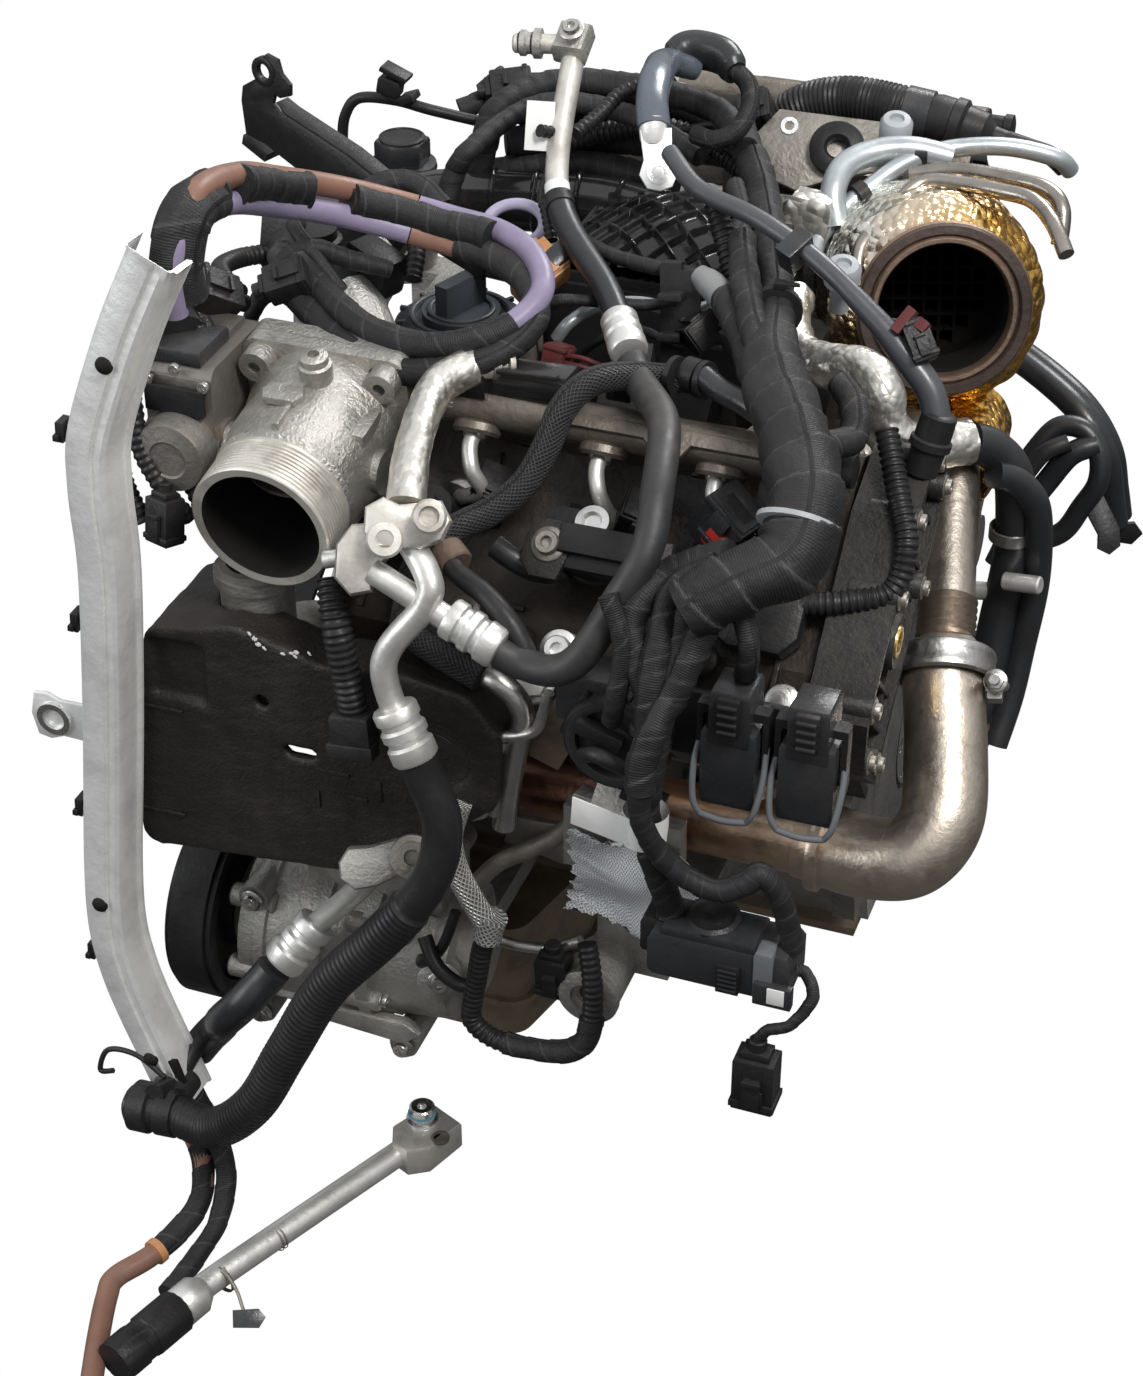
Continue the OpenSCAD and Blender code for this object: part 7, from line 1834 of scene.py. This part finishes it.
aft.box((-86, -6, 332), (26, 22, 34), TAN_FOIL, (0.1, 0.1, 1), FRONT, 6)
aft.make()

# ------------ gearbox-side hoses
# Looped satin rubber hoses with their lobed black bracket, above a rusty sieve and a zinc stub. They are
# pushed onto stubs behind the head.
RUSTY_MESH = material("rusty sieve", (0.11, 0.06, 0.045), metal=0.5, rough=0.6, dust=0.2, soil=0.4, mottle=0.5,
    braid={"Count": 7.0, "Pitch": 0.011, "Strength": 1.0})
loop = Piece("gearbox_side_hoses", "rubber_black")
loop.tube([[38, 58, 116], [41, 60, 152], [50, 65, 173], [60, 70, 184], [75, 70, 184], [86, 65, 172],
    [88, 60, 155], [80, 60, 136], [71, 60, 117], [57, 60, 108], [40, 60, 110]], 6.6, SATIN_RUBBER, 24, 1.8)
loop.tube([[34, 40, 96], [44, 50, 126], [58, 58, 152], [70, 60, 172], [84, 66, 178]], 7.2, SATIN_RUBBER, 24,
    1.8)
loop.tube([[41, 46, 150], [54, 50, 174], [68, 56, 182]], 5.4, SATIN_RUBBER, 22, 1.8)
loop.prism([(-5, -14), (5, -14), (8, -4), (6, 8), (9, 16), (3, 22), (-5, 19), (-8, 8)], -1.6, 1.6,
    (94, 60, 130), FACING, BLACK_STEEL, 0.6, hint=(0.4, -0.3, -0.7))
loop.lathe([(3.4, -2), (3.4, 2), (5.6, 2), (5.6, -2), (3.4, -2)], (98, 60, 116), FACING, BLACK_STEEL, 24)
loop.tube([[45, -98, 104], [50, -101, 90], [54, -105, 74], [46, -110, 54]], 14, RUSTY_MESH, 36, 1.4)
loop.bar((38, -82, 152), (62, -84, 157), 5.4, PIPE_ALLOY, 22, 1)
loop.lathe([(5.4, 0), (6.4, 0.4), (6.4, 3), (5.4, 3.4)], (58, -83.6, 156), (1, -0.1, 0.2), PIPE_ALLOY, 24,
    caps=False)
loop.make()

# ------------ pipes between the block and the mount
# Steel coolant pipes in their holder and the pressed flange of the heat shield, bolted to the block. Beside
# them the sensor lead runs in silver braid and a ribbed conduit loop.
SILVER_BRAID = material("silver braid", (0.62, 0.62, 0.60), metal=0.6, rough=0.45, dust=0.12, soil=0.2,
    mottle=0.2, braid={"Count": 15.0, "Pitch": 0.0040, "Strength": 0.8})
low = Piece("block_side_pipes", "satin_steel")
low.tube([[-160, -331, 206], [-153, -333, 205], [-144, -333, 198], [-140, -333, 186], [-144, -333, 166],
    [-149, -333, 136], [-152, -333, 112]], 6.4, SATIN_STEEL, 26, 1.6)
low.tube([[-124, -338, 209], [-127, -338, 196], [-131, -338, 184], [-140, -338, 178], [-151, -338, 174],
    [-156, -338, 164], [-158, -338, 140], [-160, -338, 124], [-168, -338, 118]], 3.0, SATIN_STEEL, 18, 1.4)
low.tube([[-149, -338, 172], [-153, -338, 158], [-154, -338, 134], [-156, -338, 122]], 2.6, SATIN_STEEL, 18,
    1.4)
low.prism([(-10, -24), (8, -26), (12, -8), (8, 6), (12, 24), (-2, 26), (-6, 4), (-14, -4)], -2, 2,
    (-126, -322, 178), (0, -1, 0.1), TAN_STEEL, 1, hint=(0.2, 0, 1))
low.prism([(-26, -12), (10, -8), (22, 8), (18, 22), (-8, 12), (-26, 6)], -2, 2, (-134, -306, 84), (0, -1, 0.1),
    DULL_STEEL, 1, hint=(0.3, 0, 1))
low.tube([[-172, -322, 60], [-160, -322, 76], [-146, -320, 86], [-130, -318, 98], [-118, -316, 112]], 5.0,
    DULL_STEEL, 20, 1.6)
low.tube([[-170, -322, 22], [-150, -322, 20], [-128, -322, 24], [-112, -322, 34]], 3.2, SATIN_STEEL, 18, 1.6)
low.tube([[-171, -348, 133], [-176, -350, 112], [-174, -350, 92], [-166, -350, 73], [-156, -350, 56]], 6.8,
    SILVER_BRAID, 26, 1.1)
low.tube([[-152, -350, 62], [-155, -350, 52], [-156, -350, 46]], 8.0, SILVER_BRAID, 26, 1.1)
LOOP = [[-156, -350, 50], [-160, -350, 34], [-163, -350, 14], [-166, -350, -4], [-166, -350, -18],
    [-154, -350, -27], [-134, -350, -28], [-112, -350, -24], [-100, -348, -14], [-97, -344, 6],
    [-99, -340, 26], [-104, -334, 44]]
low.tube(LOOP, 5.6, RUBBER, 22, 0.8, rings(3.8, 0.06))
low.tube(part_of(LOOP, 92, 160), 7.0, TAPE, 24, 1.2, taped(14.0, 0.07, 4), smooth=False)
plug(low, (-126, -326, 10), (0, 0.1, -1), FRONT, (18, 15, 28))
low.tube([[-206, -322, 10], [-196, -330, -2], [-182, -334, -8], [-168, -336, -6]], 4.4, RUBBER, 18, 1.4)
low.make()

# ------------ support arm
# Bent black steel arm that holds the end of the cable channel, cut from strip. Its lobed tip is drilled, a
# hook is folded below, and a foot plate bolts it down.
finish(BLACK_STEEL, "support_arm")
arm = Piece("support_arm", "black_steel", replaces=("support_arm",))
STRIP = [(-24.2, 24.2), (-14.9, 29.5), (-3.1, 27.9), (0.1, 19.9), (6.7, 14.7), (6.2, 7.7), (-2.8, 4.3),
    (-8, 5.5), (-10.7, -0.4), (-1.3, -5.7)]
STRIP += [(47.9, -18.8), (81.3, -32.3), (152, -57), (150, -68), (114.2, -60), (76.3, -50.2), (11.6, -39.1),
    (-23.3, -28.3), (-43.1, -26), (-45.6, -4.7), (-43, 4.7), (-28, 11.9)]
STRIP = [(u * 0.75 if u < 0 else u, v) for u, v in STRIP]
ARM_AT, ARM_FACE = (-397.5, -46.3, 373.1), (-0.303, -0.953, 0)
turn = np.radians(np.linspace(-145, 135, 15))
STRIP += list(zip(-14.2 + 6.6 * np.cos(turn), 17.9 + 6.6 * np.sin(turn)))
arm.prism(STRIP, -1.6, 1.6, ARM_AT, ARM_FACE, BLACK_STEEL, 0.8, hint=(0, 0, 1))
arm.prism([(-9, -1), (0, -4.6), (48.6, -17.6), (82, -31.2), (152, -55.6), (152, -59), (81, -34.2), (48, -20.6),
    (-1, -7.4), (-10, -3)], -13, -1, ARM_AT, ARM_FACE, BLACK_STEEL, 0.6, hint=(0, 0, 1))
arm.prism([(-34.5, -26.8), (-14.5, -33.9), (-18.2, -40), (-36.2, -33)], -12, 2, ARM_AT, ARM_FACE, BLACK_STEEL,
    0.8, hint=(0, 0, 1))
arm.lathe([(4.9, -1.8), (4.9, 1.8), (5.3, 2.1), (8.6, 2.1), (9.0, 1.8), (9.0, -1.8), (4.9, -1.8)],
    (-411, -42, 391), ARM_FACE, BLACK_STEEL, 40)
arm.prism([(-6, -14), (10, -14), (12, 12), (-6, 16)], -8, 4, (-238, -94, 320), FRONT, BLACK_STEEL, 1,
    hint=(1, 0, 0))
arm.make()

# ------------ filler cap
# Moulded slate-coloured cap: six-sided grip on a round skirt, smooth lid. It turns in the oil
# filler's neck.
finish(BLACK_PLASTIC, "filler_cap")
lid_cap = Piece("filler_cap", "cap_grey", "filler_cap_body", replaces=("filler_cap",))
LID_AT = np.array([-362.0, 42, float(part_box("filler_cap")[0][2]) * 1000])
lid_cap.lathe([(0.5, 0), (13.4, 0.2), (13.4, 14), (21, 14.5), (21.6, 17), (21, 20), (16, 21.4), (0.5, 21.6)],
    LID_AT, UP, GREY_PLASTIC, 60)
lid_cap.prism(17.6 * np.c_[np.cos(np.arange(6) * math.pi / 3), np.sin(np.arange(6) * math.pi / 3)], 21, 36,
    LID_AT, UP, GREY_PLASTIC, 2.2)
lid_cap.lathe([(14.6, 34), (14.4, 37), (12.6, 37.6), (12, 36.8), (3, 36.9), (0.4, 36.9)], LID_AT, UP,
    BLACK_PLASTIC, 48)
lid_cap.make()

# ------------ oil filter cap
# Moulded slate-coloured screw cap with rings on its lid and short ribs round its grip. It turns with its lid
# on the filter housing.
CAP_SLATE = material("slate cap", (0.058, 0.068, 0.080), rough=0.38, dust=0.14, soil=0.2, bump=0.2,
    grain=320.0)
finish(CAP_SLATE, "filter_cap")
CAP_AT = np.array([-268.0, -95, 268.6])
lid_trim = Piece("filter_cap_trim", "cap_grey", "filter_cap_body")
for r, z in ((18.5, 18), (29, 15)):
    lid_trim.lathe([(r - 2.0, -3), (r - 1.4, 0.9), (r - 0.7, 1.4), (r + 0.7, 1.4), (r + 1.4, 0.9),
        (r + 2.0, -3)], CAP_AT + (0, 0, z), UP, CAP_SLATE, 64, caps=False)
for k in range(12):
    d = np.array([math.cos(math.pi * k / 6), math.sin(math.pi * k / 6), 0])
    lid_trim.box(CAP_AT + d * 34.4 + (0, 0, 11.6), (2.4, 8, 3.4), CAP_SLATE, UP, d, 0.6)
lid_trim.make()

# ------------ vacuum box
# Dark moulded parts behind the throttle: the vacuum box with its round valve, its hoses and a clip rail. The
# hoses are pushed on, the boxes clipped to the arm.
behind = Piece("vacuum_box", "black_plastic")
behind.box((-352, -108, 322), (46, 46, 40), BLACK_PLASTIC, (0.1, 0.1, 1), (0.2, 1, 0), 6)
behind.box((-352, -110, 345), (34, 34, 8), GREY_PLASTIC, (0.1, 0.1, 1), (0.2, 1, 0), 3)
behind.lathe([(0.4, 0), (13, 0.5), (15, 3), (15, 12), (12, 15), (9, 15.5), (8, 20), (0.4, 20)],
    (-352, -128, 322), (-0.2, -0.9, 0.3), BLACK_PLASTIC, 40)
behind.tube([[-352, -146, 328], [-350, -162, 336], [-340, -176, 342], [-326, -182, 340], [-312, -178, 332]],
    6.2, HOSE_RUBBER, 22, 1.6)
behind.tube([[-372, -120, 316], [-384, -140, 320], [-384, -166, 326], [-372, -186, 330], [-358, -196, 328]],
    5.4, RUBBER, 20, 0.9, rings(3.8, 0.06))
behind.tube([[-330, -100, 334], [-312, -96, 340], [-296, -104, 340], [-284, -120, 334], [-280, -136, 322]],
    5.0, RUBBER, 20, 0.9, rings(3.8, 0.06))
behind.tube([[-334, -84, 342], [-318, -76, 350], [-300, -76, 350], [-282, -84, 342]], 7.0, TAPE, 22, 1.4,
    taped(14, 0.06, 8))
behind.box((-306, -130, 322), (30, 22, 26), BLACK_PLASTIC, (0.3, 0, 1), (0.3, 1, 0), 3)
behind.box((-322, -150, 316), (24, 20, 34), GREY_PLASTIC, (-0.2, 0.2, 1), (0.3, 1, 0), 3)
behind.make()
